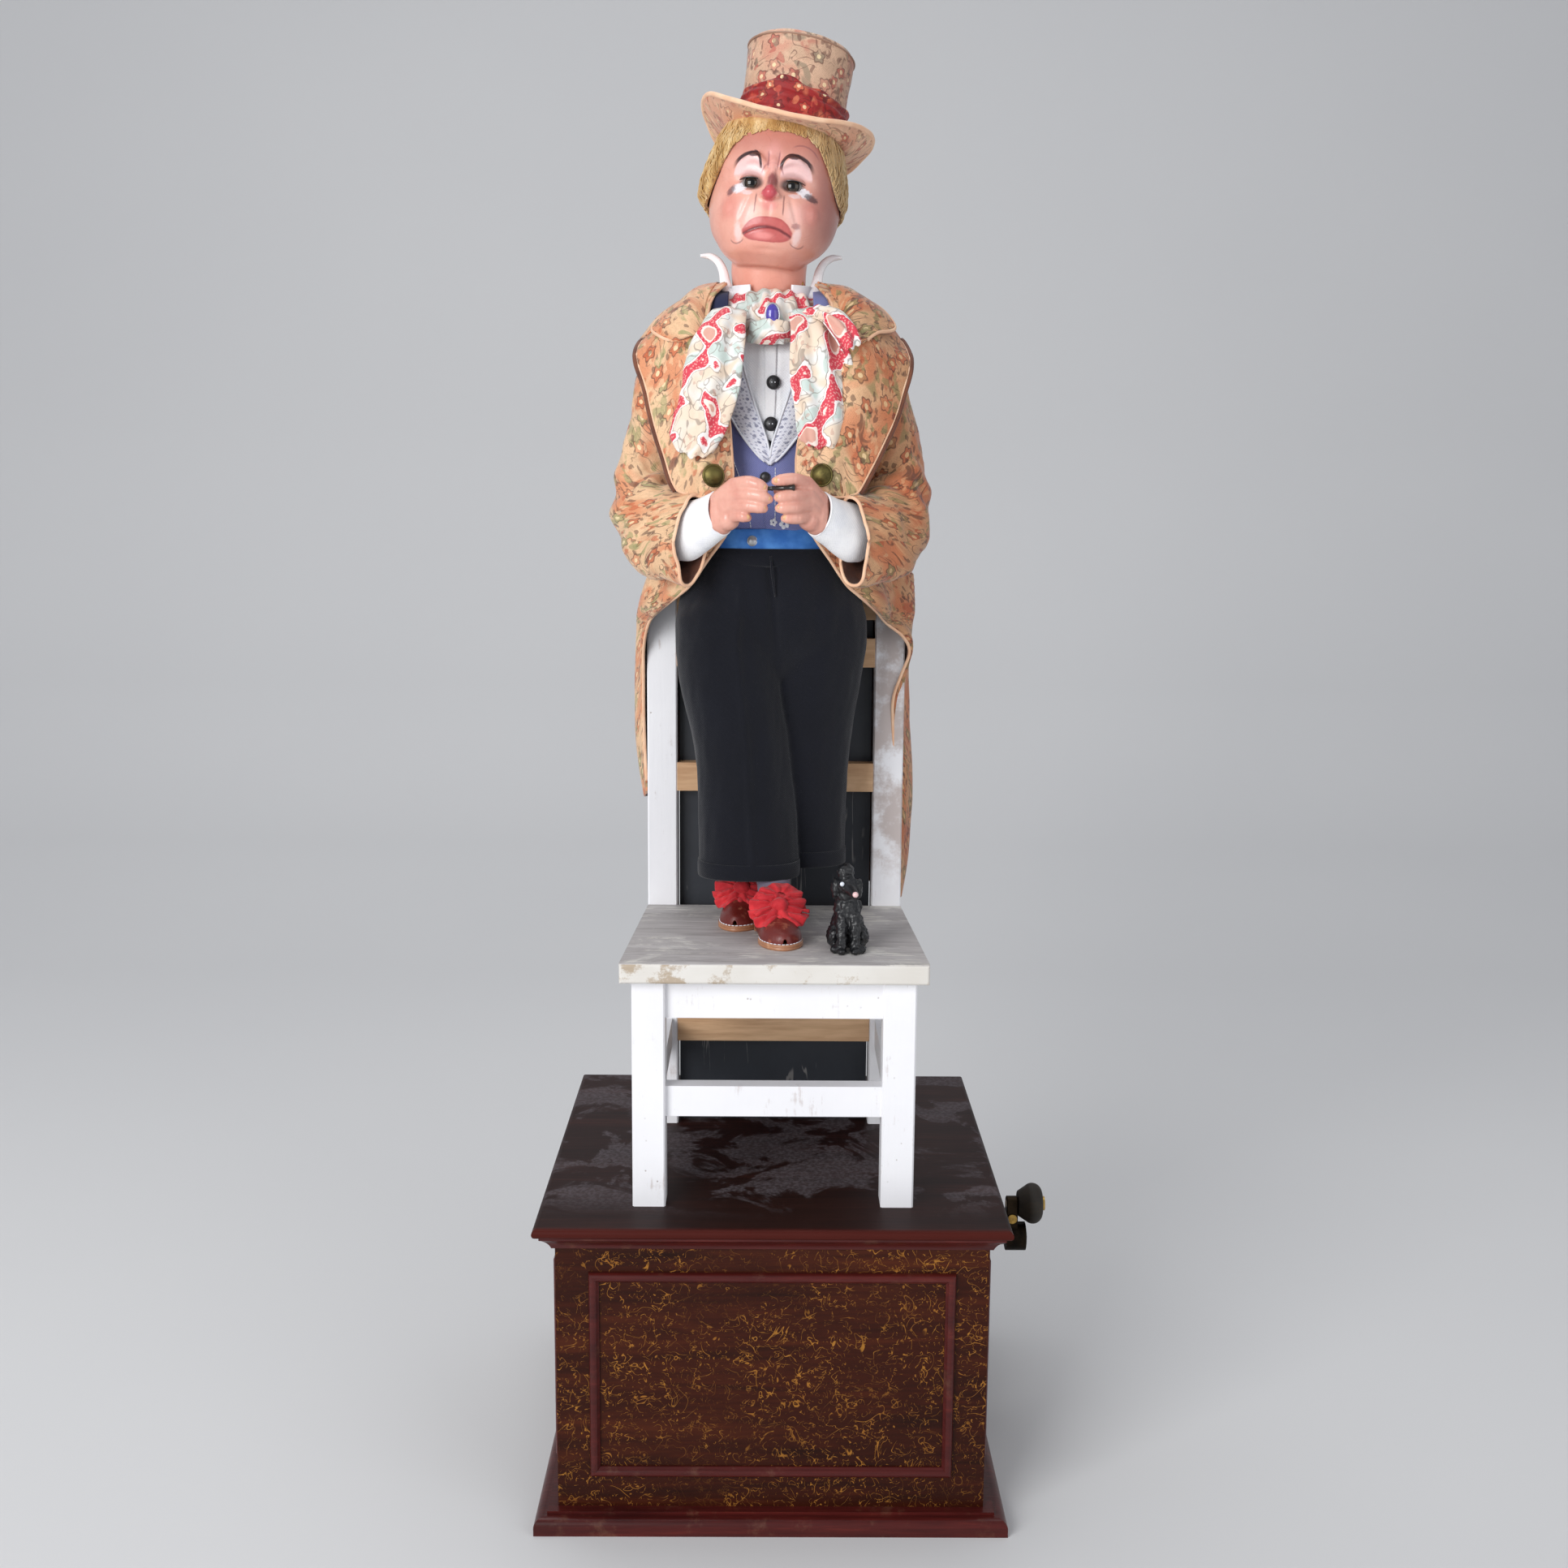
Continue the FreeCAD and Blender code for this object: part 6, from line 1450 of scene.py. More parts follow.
def coat_skirts():
    """The cut-away skirts run into two long tails that wrap the posts and hang behind."""
    # each row runs from the front edge round the side to the middle of the back
    common = [
        [(-30, -42, 640), (-46, -37, 640), (-58, -24, 640), (-64, -4, 640), (-63, 20, 640),
         (-54, 42, 640), (-32, 55, 640), (FIG_X, 58, 640)],
        [(-34, -42, 630), (-50, -35, 630), (-63, -20, 629), (-70, 0, 629), (-70, 26, 629),
         (-60, 50, 629), (-36, 62, 629), (FIG_X, 65, 629)],
        [(-45, -37, 615), (-60, -28, 613), (-73, -12, 612), (-81, 8, 612), (-83, 34, 612),
         (-72, 62, 612), (-42, 75, 612), (FIG_X, 78, 612)],
        [(-56, -29, 599), (-70, -19, 597), (-81, -4, 596), (-88, 14, 596), (-91, 42, 596),
         (-81, 74, 596), (-46, 85, 597), (FIG_X, 87, 597)],
        [(-69, -14, 588), (-79, -6, 584), (-87, 6, 583), (-93, 24, 582), (-95, 50, 582),
         (-86, 82, 582), (-48, 88, 583), (FIG_X, 88.5, 583)],
    ]
    falls = {
        "left": [
            [(-85, 14, 574), (-89, 22, 570), (-93, 32, 568), (-96, 44, 567), (-97, 62, 567),
             (-88, 86, 567), (-50, 89, 568), (-7, 89, 569)],
            [(-91, 32, 556), (-94, 37, 553), (-96, 44, 551), (-98, 54, 549), (-98, 68, 548),
             (-89, 87, 548), (-52, 89, 551), (-8, 88, 555)],
            [(-92.5, 40, 534), (-95, 44, 530), (-97, 50, 527), (-99, 60, 524), (-98, 73, 522),
             (-89, 87, 521), (-54, 88.5, 527), (-9, 88, 537)],
            [(-92.5, 42, 504), (-95, 46, 500), (-97.5, 52, 496), (-99, 62, 492), (-98, 74, 489),
             (-90, 87, 487), (-58, 88.5, 496), (-14, 88, 515)],
            [(-91.5, 45, 472), (-93.5, 49, 468), (-95.5, 55, 465), (-96.5, 63, 461), (-96, 74, 457),
             (-90, 86, 455), (-66, 88, 466), (-34, 88, 488)],
            [(-91, 49, 449), (-92, 53, 447), (-93, 58, 445), (-94, 65, 443), (-94, 74, 441),
             (-89, 84, 441), (-74, 86.5, 448), (-54, 87, 464)],
        ],
        "right": [
            [(-84, 16, 572), (-88, 24, 568), (-92, 34, 566), (-95, 46, 565), (-97, 62, 565),
             (-88, 86, 565), (-50, 89, 566), (-7, 89, 567)],
            [(-90, 34, 552), (-95, 38, 548), (-99, 45, 546), (-101, 56, 544), (-101, 70, 543),
             (-91, 87, 543), (-54, 89, 546), (-8, 88, 551)],
            [(-92, 39, 520), (-97, 43, 515), (-101, 49, 511), (-104, 59, 507), (-103, 74, 505),
             (-93, 87.5, 504), (-56, 88.5, 509), (-9, 88, 522)],
            [(-92, 41, 482), (-97, 45, 476), (-102, 51, 471), (-104.5, 61, 466), (-103, 75, 462),
             (-93, 87.5, 460), (-60, 88.5, 467), (-12, 88, 488)],
            [(-91.5, 43, 440), (-96, 47, 434), (-100, 53, 429), (-102.5, 62, 425), (-102, 75, 421),
             (-93, 87, 419), (-66, 88, 429), (-28, 88, 456)],
            [(-91.5, 47, 402), (-94.5, 50, 398), (-98, 55, 394), (-100, 63, 391), (-100, 75, 388),
             (-93, 86, 386), (-72, 87.5, 396), (-44, 88, 424)],
            [(-91.5, 52, 374), (-93, 55, 372), (-95, 59, 370.5), (-97, 66, 369.5), (-97, 75, 368.8),
             (-92, 84, 369), (-79, 86.5, 376), (-60, 87, 396)],
        ],
    }
    for side, fall in falls.items():
        rows = common + fall
        if side == "right":
            rows = mirrored(rows)
        grid = dense(rows, 110, 84)
        u, v = shares(grid)
        if side == "right":
            low = np.clip((500.0 - grid[..., 2]) / 60.0, 0, 1)
            grid[..., 0] += 4.5 * low * np.clip((grid[..., 0] - 60.0) / 20.0, 0, 1)
            over = np.clip((grid[..., 1] - 16.0) / 20.0, 0,
                           1) * np.clip((86.0 - grid[..., 1]) / 18.0, 0, 1)
            over *= np.clip((616.0 - grid[..., 2]) / 12.0, 0,
                            1) * np.clip((grid[..., 2] - 520.0) / 30.0, 0, 1)
            over *= np.clip((grid[..., 0] - 60.0) / 12.0, 0, 1)
            grid[..., 0] += over * np.maximum(93.5 - grid[..., 0], 0)
        wave = (np.sin(u * 19 + v * 1.5 + (side == "right"))
                * (0.4 + 1.1 * np.exp(-((v - 0.35) / 0.22) ** 2)) * np.clip(u * 6, 0, 1))
        grid = crumple(pushed(grid, wave * 1.1), 0.9, 16.0, 84, stretch=(1, 1, 2.2), where=0.7)
        edge = grid[:, 0]
        grid = outward(grid, grid - np.array((FIG_X, 10.0, 0.0)) * (1, 1, 0) - grid * (0, 0, 1))
        lined("coat_skirt_" + side, grid, ["coat_body", "rear_posts"],
              replaces=("coat_tails",) if side == "left" else ())
        tube("skirt_edge_" + side, edge[::5], COAT_EDGE, FACING, sides=8, count=120, slot="brocade")


def coat_fronts():
    """The two fronts with their turned-back lapels lie over the sleeves."""
    left = [
        [(-36, -12, 791), (-47, -12, 787), (-61, -9, 779), (-74, -7, 768), (-83, -5, 760)],
        [(-44, -33, 776), (-54, -35, 773), (-64, -32, 768), (-76, -27, 761), (-87, -18, 752)],
        [(-44, -46, 757), (-54, -47, 755), (-64, -45, 750), (-76, -39, 745), (-87, -30, 740)],
        [(-38, -51, 734), (-48, -54, 732), (-59, -52, 729), (-71, -46, 725), (-81, -38, 722)],
        [(-32, -53, 710), (-42, -57, 708), (-54, -56, 705), (-66, -51, 702), (-75.5, -44, 700)],
        [(-29.5, -54, 688), (-39, -58, 686), (-50, -58, 684), (-61, -54, 682), (-69.5, -47, 681)],
        [(-28.5, -54, 668), (-37, -58, 667), (-48, -59, 666), (-58, -55, 666), (-65.5, -50, 667)],
        [(-31, -53, 659), (-38, -57, 656.5), (-47, -58, 655.5), (-55, -56, 656.5), (-61, -52, 660)],
    ]
    right = [
        [(26, -12, 791), (37, -12, 787), (51, -9, 779), (63, -7, 769), (72, -5, 762)],
        [(34, -33, 776), (44, -35, 773), (55, -33, 768), (67, -27, 761), (79, -18, 752)],
        [(34, -46, 757), (44, -47, 755), (55, -45, 750), (68, -39, 745), (81, -29, 739)],
        [(27, -51, 734), (38, -55, 732), (51, -53, 729), (65, -47, 725), (77, -37, 722)],
        [(18, -54, 710), (31, -58, 708), (45, -57, 705), (58, -52, 702), (70, -44, 700)],
        [(12.5, -55, 688), (25, -59, 686), (38, -59, 684), (51, -56, 682), (61, -50, 681)],
        [(12, -54, 670), (23, -59, 668), (34, -60, 667), (45, -58, 666), (53.5, -53, 667)],
        [(16, -53, 660), (24, -57, 657.5), (33, -58.5, 656), (42, -57, 656), (49, -54, 659)],
    ]
    buttons = {}
    for name, rows, flip in (("coat_front_left", left, False), ("coat_front_right", right, True)):
        s = 1 if flip else -1
        grid = dense(rows, 64, 50)
        u, v = shares(grid)
        roll = (3.4 * np.exp(-((u - 1.0) / 0.2) ** 2) * np.clip(v * 4, 0, 1)
                + 2.0 * np.exp(-((u - 0.62 + 0.25 * v) / 0.13) ** 2))
        facing = -np.sign(normals(grid)[..., 1:2])
        grid = grid + normals(grid) * facing * roll[..., None]
        grid = crumple(grid, 2.0, 20.0, 90 + flip, stretch=(1, 1, 1.7))
        edge = np.concatenate([grid[:, -1], grid[-1, ::-1], grid[::-1, 0]])
        side_edge = grid[6:, -1]
        grid = outward(grid, np.array((0.0, -1.0, 0.0)))
        spot = np.array((-41.0, 669.0) if not flip else (27.5, 668.5))
        gap = np.hypot(grid[..., 0] - spot[0], grid[..., 2] - spot[1])
        r, c = np.unravel_index(gap.argmin(), gap.shape)
        buttons[name] = (grid[r, c], normals(grid)[r, c])
        piece = lined(name, grid, ["coat_body", "sleeve_right" if flip else "sleeve_left"],
                      ride=False)
        bend_with_arm(piece, s)
        # painted shade: a dark cord of lining colour, just behind and outside each front's side
        # edge, stands in for the shadow line between front and sleeve
        welt = side_edge + np.array((s * 1.5, 2.0, -0.4))
        for part, path, r, paint in (("_edge", edge[::4], 1.0, FACING),
                                     ("_lining_edge", welt, 2.0, LINING)):
            trim = tube(name + part, path, r, paint, sides=8, count=len(path), slot="brocade",
                        ride=False)
            bend_with_arm(trim, s)
    for side, nodes in (("left", ("coat_buttons",)), ("right", ())):
        place, out = buttons["coat_front_" + side]
        domed_button("coat_button_" + side, place + out * 0.6, 7.3, 4.6, BRASS, face=out,
                     slot="brass", replaces=nodes)


def bend_with_arm(piece, side):
    """Writes the piece's modifiers into its mesh and bakes its placement into its points."""
    settle(piece)
    (FIG_X + side * 50) * MM
    (FIG_X + side * 84) * MM
    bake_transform(piece)


def settle(piece):
    """Writes a piece's modifiers into its mesh."""
    graph = bpy.context.evaluated_depsgraph_get()
    mesh = bpy.data.meshes.new_from_object(piece.evaluated_get(graph))
    piece.modifiers.clear()
    piece.data = mesh


def coat_collar():
    """The turned-down collar: a long fall on each shoulder that ends in a point."""
    pieces = {
        "coat_collar_left": [
            [(-5, 37, 790), (-5, 42, 788), (-5, 45, 778)],
            [(-28, 26, 793), (-37, 30, 791), (-43, 33, 779)],
            [(-38, 4, 793), (-50, 4, 789), (-61, 2, 780)],
            [(-41, -14, 790), (-55, -15, 784), (-73, -12, 771)],
            [(-45, -28, 781), (-60, -30, 775), (-81, -24, 762)],
            [(-47, -38, 769), (-60, -42, 765), (-76, -36, 756)],
            [(-47, -46, 756), (-55, -49, 754), (-65, -46, 751)]],
        "coat_collar_right": [
            [(-5, 37, 790), (-5, 42, 788), (-5, 45, 778)],
            [(18, 26, 793), (27, 30, 791), (33, 33, 779)],
            [(28, 4, 793), (40, 4, 790), (51, 3, 783)],
            [(31, -14, 790), (46, -16, 786), (64, -14, 777)],
            [(35, -28, 781), (51, -32, 778), (74.5, -28, 763)],
            [(37, -38, 770), (48, -44, 767), (62, -43, 758)],
            [(37, -46, 757), (44, -50, 755), (53, -50, 751)]],
    }
    for k, (name, rows) in enumerate(pieces.items()):
        grid = crumple(dense(rows, 60, 30), 1.0, 16.0, 95 + k)
        up = np.sign(normals(grid)[20, 10, 2])
        grid = grid + normals(grid) * up * (1.6 * np.sin(shares(grid)[0] * math.pi))[..., None]
        cloth(name, grid, COAT_CLOTH, "folded", ["coat_body"], thick=COAT_THICK, slot="brocade")
        tube(name + "_edge", grid[::4, -1], COAT_EDGE, FACING, sides=8, count=60, slot="brocade")


def coat_shoulders():
    """The yoke that closes each shoulder over the head of its sleeve."""
    rows = [
        [(-34, -13, 789.5), (-47, -12, 785.5), (-61, -10, 777.5), (-75, -8, 766.5), (-84, -6, 757)],
        [(-34, 4, 790.5), (-48, 4, 787), (-63, 5, 780), (-78, 6, 769.5), (-89, 7, 756)],
        [(-34, 20, 789.5), (-48, 21, 785.5), (-63, 22, 777.5), (-78, 22, 766), (-89, 21, 750)],
        [(-35, 34, 785), (-48, 35, 779.5), (-62, 36, 770), (-76, 34, 757), (-85, 30, 741)],
        [(-37, 46, 774), (-47, 46, 767), (-58, 45, 756), (-68, 41, 743), (-76, 34, 730)]]
    for k, (name, flip) in enumerate((("coat_shoulder_left", False),
                                      ("coat_shoulder_right", True))):
        grid = crumple(dense(mirrored(rows) if flip else rows, 48, 48), 0.8, 18.0, 98 + k)
        grid = outward(grid, np.array((0.0, 0.0, 1.0)))
        grid = grid + normals(grid) * (2.2 + 0.8 * flip)
        lined(name, grid, ["coat_body"])


def swept(rings, count, sides):
    """A closed grid through slanted sections, each (centre, half axis, half axis)."""
    return np.array([[c + a * math.cos(t) + b * math.sin(t) for t in circle(sides)]
                     for c, a, b in spline(rings, count)])


def sleeve(name, rings, seed):
    """A full sleeve with folds at its elbow and a corded hem."""
    sides = 72
    grid = swept(rings, 84, sides)
    v = shares(grid)[1]
    bend = np.exp(-((v - 0.58) / 0.16) ** 2)
    grid = outward(grid, grid - grid.mean(axis=1, keepdims=True), True)
    out = normals(grid, True)
    lines = np.sin(v * 46 + np.sin(circle(sides)[None, :] * 2 + seed) * 2.4) * bend * 1.7
    grid = grid + out * lines[..., None]
    lump = wander(grid, 17.0, seed) * 2.4 + wander(grid, 7.0, seed + 1) * 0.7
    grid = grid + out * (lump * np.clip(v * 6, 0.2, 1))[..., None]
    lined(name, grid, ["arm_axle"], closed=True, body="arms",
          replaces=("sleeves",) if "left" in name else ())
    ring_tube(name + "_hem", grid[-1], 1.1, FACING, slot="brocade", body="arms")


def make_sleeves():
    left = [
        ((-62, 8, 758), (-10, 0, 8), (0, -22, 0)), ((-69, 7, 748), (-17, 0, 7), (0, -24, 0)),
        ((-75, 6, 728), (-18, 0, 2), (0, -24, 0)), ((-78.5, 3, 704), (-18.5, 0, 0), (0, -24, 1)),
        ((-82, -2, 680), (-20, 0, 2), (0, -23, 6)), ((-85, -9, 660), (-21.5, 1, 0), (0, -21, 14)),
        ((-84, -20, 643), (-21, -1, -5), (3, -16, 22)), ((-77, -33, 634), (-15, -9, -4),
                (6, -8, 27)),
        ((-67, -45, 630), (-11, -9, 0), (3, -2, 28)), ((-58, -54, 629), (-9.5, -8.5, 0),
                (2, -1, 28.5)),
        ((-54.5, -58, 628.5), (-9.5, -8.5, 0), (2, -1, 28.5))]
    right = [
        ((52, 8, 758), (10, 0, 8), (0, -22, 0)), ((59, 7, 748), (17, 0, 7), (0, -24, 0)),
        ((66, 6, 728), (18, 0, 2), (0, -24, 0)), ((71, 3, 704), (18.5, 0, 0), (0, -24, 1)),
        ((75, -2, 680), (20, 0, 2), (0, -23, 6)), ((78, -9, 658), (21, 1, 0), (0, -21, 14)),
        ((77, -20, 641), (21.5, -1, -6), (-3, -16, 22)),
        ((70, -33, 633), (16, -9, -5), (-6, -8, 27)),
        ((60, -45, 629), (11.5, -9, 0), (-3, -2, 28)), ((51, -54, 628), (9.5, -8.5, 0),
                (-2, -1, 28)),
        ((48, -58, 627.5), (9.5, -8.5, 0), (-2, -1, 27.5))]
    for name, rings, seed in (("sleeve_left", left, 101), ("sleeve_right", right, 105)):
        sleeve(name, rings, seed)


def make_cuffs():
    """White shirt cuffs that flare from the wrist into the sleeve's mouth."""
    for name, s, nodes in (("cuff_left", -1, ("cuffs",)), ("cuff_right", 1, ())):
        x = (lambda v: v) if s < 0 else (lambda v: 2 * FIG_X - v)
        rings = [((x(-36), -71, 645), (s * 7.2, -5.9, 0), (s * 2.5, 1, 13.2)),
                 ((x(-37.5), -69, 643.8), (s * 7.6, -6.2, 0), (s * 2.2, 0.8, 13.8)),
                 ((x(-42), -64.5, 641), (s * 8.2, -6.7, 0), (s * 1.2, 0.4, 15.0)),
                 ((x(-48), -58.5, 637), (s * 8.6, -7.0, 0), (0, 0, 17)),
                 ((x(-55), -52, 634), (s * 8.8, -7.4, 0), (0, 0, 18.5)),
                 ((x(-62), -45, 633), (s * 8.4, -7.0, 0), (0, 0, 18))]
        grid = crumple(swept(rings, 30, 56), 0.4, 9.0, 111, closed=True)
        grid_piece(name, grid, LINEN, closed=True, thick=0.9, slot="white_linen", body="arms",
                   replaces=nodes)
        ring_tube(name + "_rim", grid[0], 0.7, LINEN, slot="white_linen", body="arms")


coat_body()
coat_skirts()
coat_fronts()
coat_collar()
coat_shoulders()
make_sleeves()
make_cuffs()


# ------------------------------------------------------------------ painted skin
def skin(name):
    """Glossy painted composition, pink, blotched and slightly crazed."""
    p = Paint(name, Coat_Weight=0.45, Coat_Roughness=0.16, Subsurface_Weight=0.06,
              Subsurface_Scale=0.004)
    p.shader.inputs["Subsurface Radius"].default_value = (1.0, 0.4, 0.25)
    here = p.place()
    cloud = p.noise(here, 55.0, 4.0, 0.6)
    colour = p.mix(p.step(cloud, 0.35, 0.7), (232, 172, 153), (218, 150, 133))
    rub = p.step(p.noise(here, 160.0, 5.0, 0.7), 0.6, 0.75)
    colour = p.mix(rub * 0.35, colour, (196, 118, 100))
    return p.finish(colour, 0.36 + cloud * 0.12, p.noise(here, 420.0, 4.0, 0.6), 0.00006)


SKIN = skin("flesh")
NAIL = leather("nail_paint", (226, 182, 134), (214, 164, 116), (236, 200, 160))


FINGERS = {
    "left": (((-27, -84, 662.6), (-18, -92, 664), (-11.5, -95, 662.4), (-8.4, -94.6, 660.8), 1.0),
             ((-28, -84, 656), (-17, -93, 656.8), (-9.5, -96, 655.4), (-5.6, -95, 654), 1.0),
             ((-28.5, -83, 649.6), (-18, -92, 649.8), (-11, -94.5, 648.9), (-8.6, -94, 648.3),
              0.97),
             ((-29, -81, 643.2), (-23.5, -88, 643.6), (-20, -90.5, 643), (-18.3, -90.5, 642.6),
              0.86)),
    "right": (((18, -84, 664), (10, -92, 666), (2.5, -95.5, 665.6), (-1.2, -95.5, 664.8), 0.95),
              ((19, -84, 656.6), (10, -93, 656.2), (3, -95.5, 655.6), (0.3, -95, 655.2), 1.0),
              ((19.5, -83, 650.2), (11, -92, 649.2), (4, -94.5, 648.7), (1.0, -94, 648.5), 0.97),
              ((19, -81, 643.8), (13, -88, 642.6), (7, -91, 642.4), (4.4, -91, 642.4), 0.88)),
}


def make_hands():
    """Two carved hands: the fingers meet over a small horn whistle, and have painted nails."""
    for side, s, nodes in (("left", -1, ("hands",)), ("right", 1, ())):
        def put(x, y, z):
            return (x, y, z) if s < 0 else (2 * FIG_X - x - 0.5, y, z)
        bm = bmesh.new()
        capsule_mesh(bm, [put(-40, -66, 637.5), put(-30, -78, 641.5)], (6.4, 7.0))
        capsule_mesh(bm, [put(-39.5, -67, 650), put(-30, -79, 654.5)], (6.4, 7.0))
        add_grid(bm, egg(put(-34, -73, 645.5), 9.0, 8.5, 13.5))
        add_grid(bm, egg(put(-29.5, -79, 651), 8.0, 6.5, 12.5))
        joints, nails = [], bmesh.new()
        for k, (root, second, third, tip, size) in enumerate(FINGERS[side]):
            path = [root, second, third, tip]
            capsule_mesh(bm, path, (4.5 * size, 4.2 * size, 3.8 * size, 3.0 * size), 18, 22)
            capsule_mesh(bm, [put(-35.5, -73, 653 - 4.5 * k), root], (7.0, 4.7 * size))
            joints += [second, third]
            nail = (tip[0] + s * 0.6, tip[1] - 2.75 * size, tip[2] + 0.5)
            add_grid(nails, egg(nail, 2.0, 0.7, 1.7))
        thumb = [put(-35, -71, 652), put(-28, -78, 657), put(-19, -84, 659.5), put(-11, -86, 659)]
        capsule_mesh(bm, thumb, (6.5, 5.4, 4.3, 3.3), 18, 24)
        verts, faces, out = melted(bm, 0.75, 3)
        x = verts[:, 0]
        groove = np.zeros(len(verts))
        for joint in joints:
            j = np.array(joint)
            near = np.exp(-(((verts[:, 1] - j[1]) / 5.0) ** 2 + ((verts[:, 2] - j[2]) / 3.4) ** 2))
            groove -= 0.4 * near * np.exp(-((x - j[0]) / 0.55) ** 2)
            groove += 0.3 * near * np.exp(-((x - j[0]) / 2.6) ** 2)
        verts = verts + out * groove[:, None]
        make_object("hand_" + side, verts, faces, SKIN, body="arms", slot="flesh", replaces=nodes)
        from_bm("nails_" + side, nails, NAIL, body="arms", slot="flesh")
    profile = [(0.5, 0), (1.5, 0.3), (1.9, 1.2), (1.4, 2.0), (1.3, 5), (1.6, 5.6), (1.3, 6.2),
               (1.4, 12), (1.9, 12.8), (1.5, 13.6), (1.6, 17), (2.2, 18.5), (1.9, 19.4),
               (0.5, 19.6)]
    rows = []
    for r, along in profile:
        turns = circle(20)
        rows.append([(-9.0 + along, -95.0 + r * math.cos(a),
                      660.4 + 0.03 * along + r * math.sin(a)) for a in turns])
    grid_piece("horn_whistle", np.array(rows), PAINT["dark_horn"], closed=True, caps=True,
               body="arms",
               slot="dark_horn", replaces=("held_whistle",))


make_hands()


# ------------------------------------------------------------------ head
FACE_Z = 847.5                 # eye line
EYE_X = 12.75
ROLL = math.radians(5.0)       # the skull leans to one side over the neck
ROLL_Z = 812.0
GAZE = math.radians(4.0)       # and looks a little to its right


def rolled(points):
    """From the face's own upright axes to the frame of the part."""
    p = np.asarray(points, float)
    x, y, z = p[..., 0] - FIG_X, p[..., 1], p[..., 2] - ROLL_Z
    x, y = x * math.cos(GAZE) + y * math.sin(GAZE), y * math.cos(GAZE) - x * math.sin(GAZE)
    return np.stack([FIG_X + x * math.cos(ROLL) + z * math.sin(ROLL), y,
                     ROLL_Z - x * math.sin(ROLL) + z * math.cos(ROLL)], axis=-1)


def upright(points):
    """From the frame of the part back to the face's own axes."""
    p = np.asarray(points, float)
    x, y, z = p[..., 0] - FIG_X, p[..., 1], p[..., 2] - ROLL_Z
    x, z = x * math.cos(ROLL) - z * math.sin(ROLL), x * math.sin(ROLL) + z * math.cos(ROLL)
    return np.stack([FIG_X + x * math.cos(GAZE) - y * math.sin(GAZE),
                     x * math.sin(GAZE) + y * math.cos(GAZE), ROLL_Z + z], axis=-1)


def upright_wires(p, here):
    """Sideways and upward millimetres in the face's own axes."""
    x, y, z = (p.axis(here, k) * 1000.0 for k in range(3))
    x, z = x - FIG_X, z - ROLL_Z
    side, up = x * math.cos(ROLL) - z * math.sin(ROLL), x * math.sin(ROLL) + z * math.cos(ROLL)
    return side * math.cos(GAZE) - y * math.sin(GAZE), up + ROLL_Z


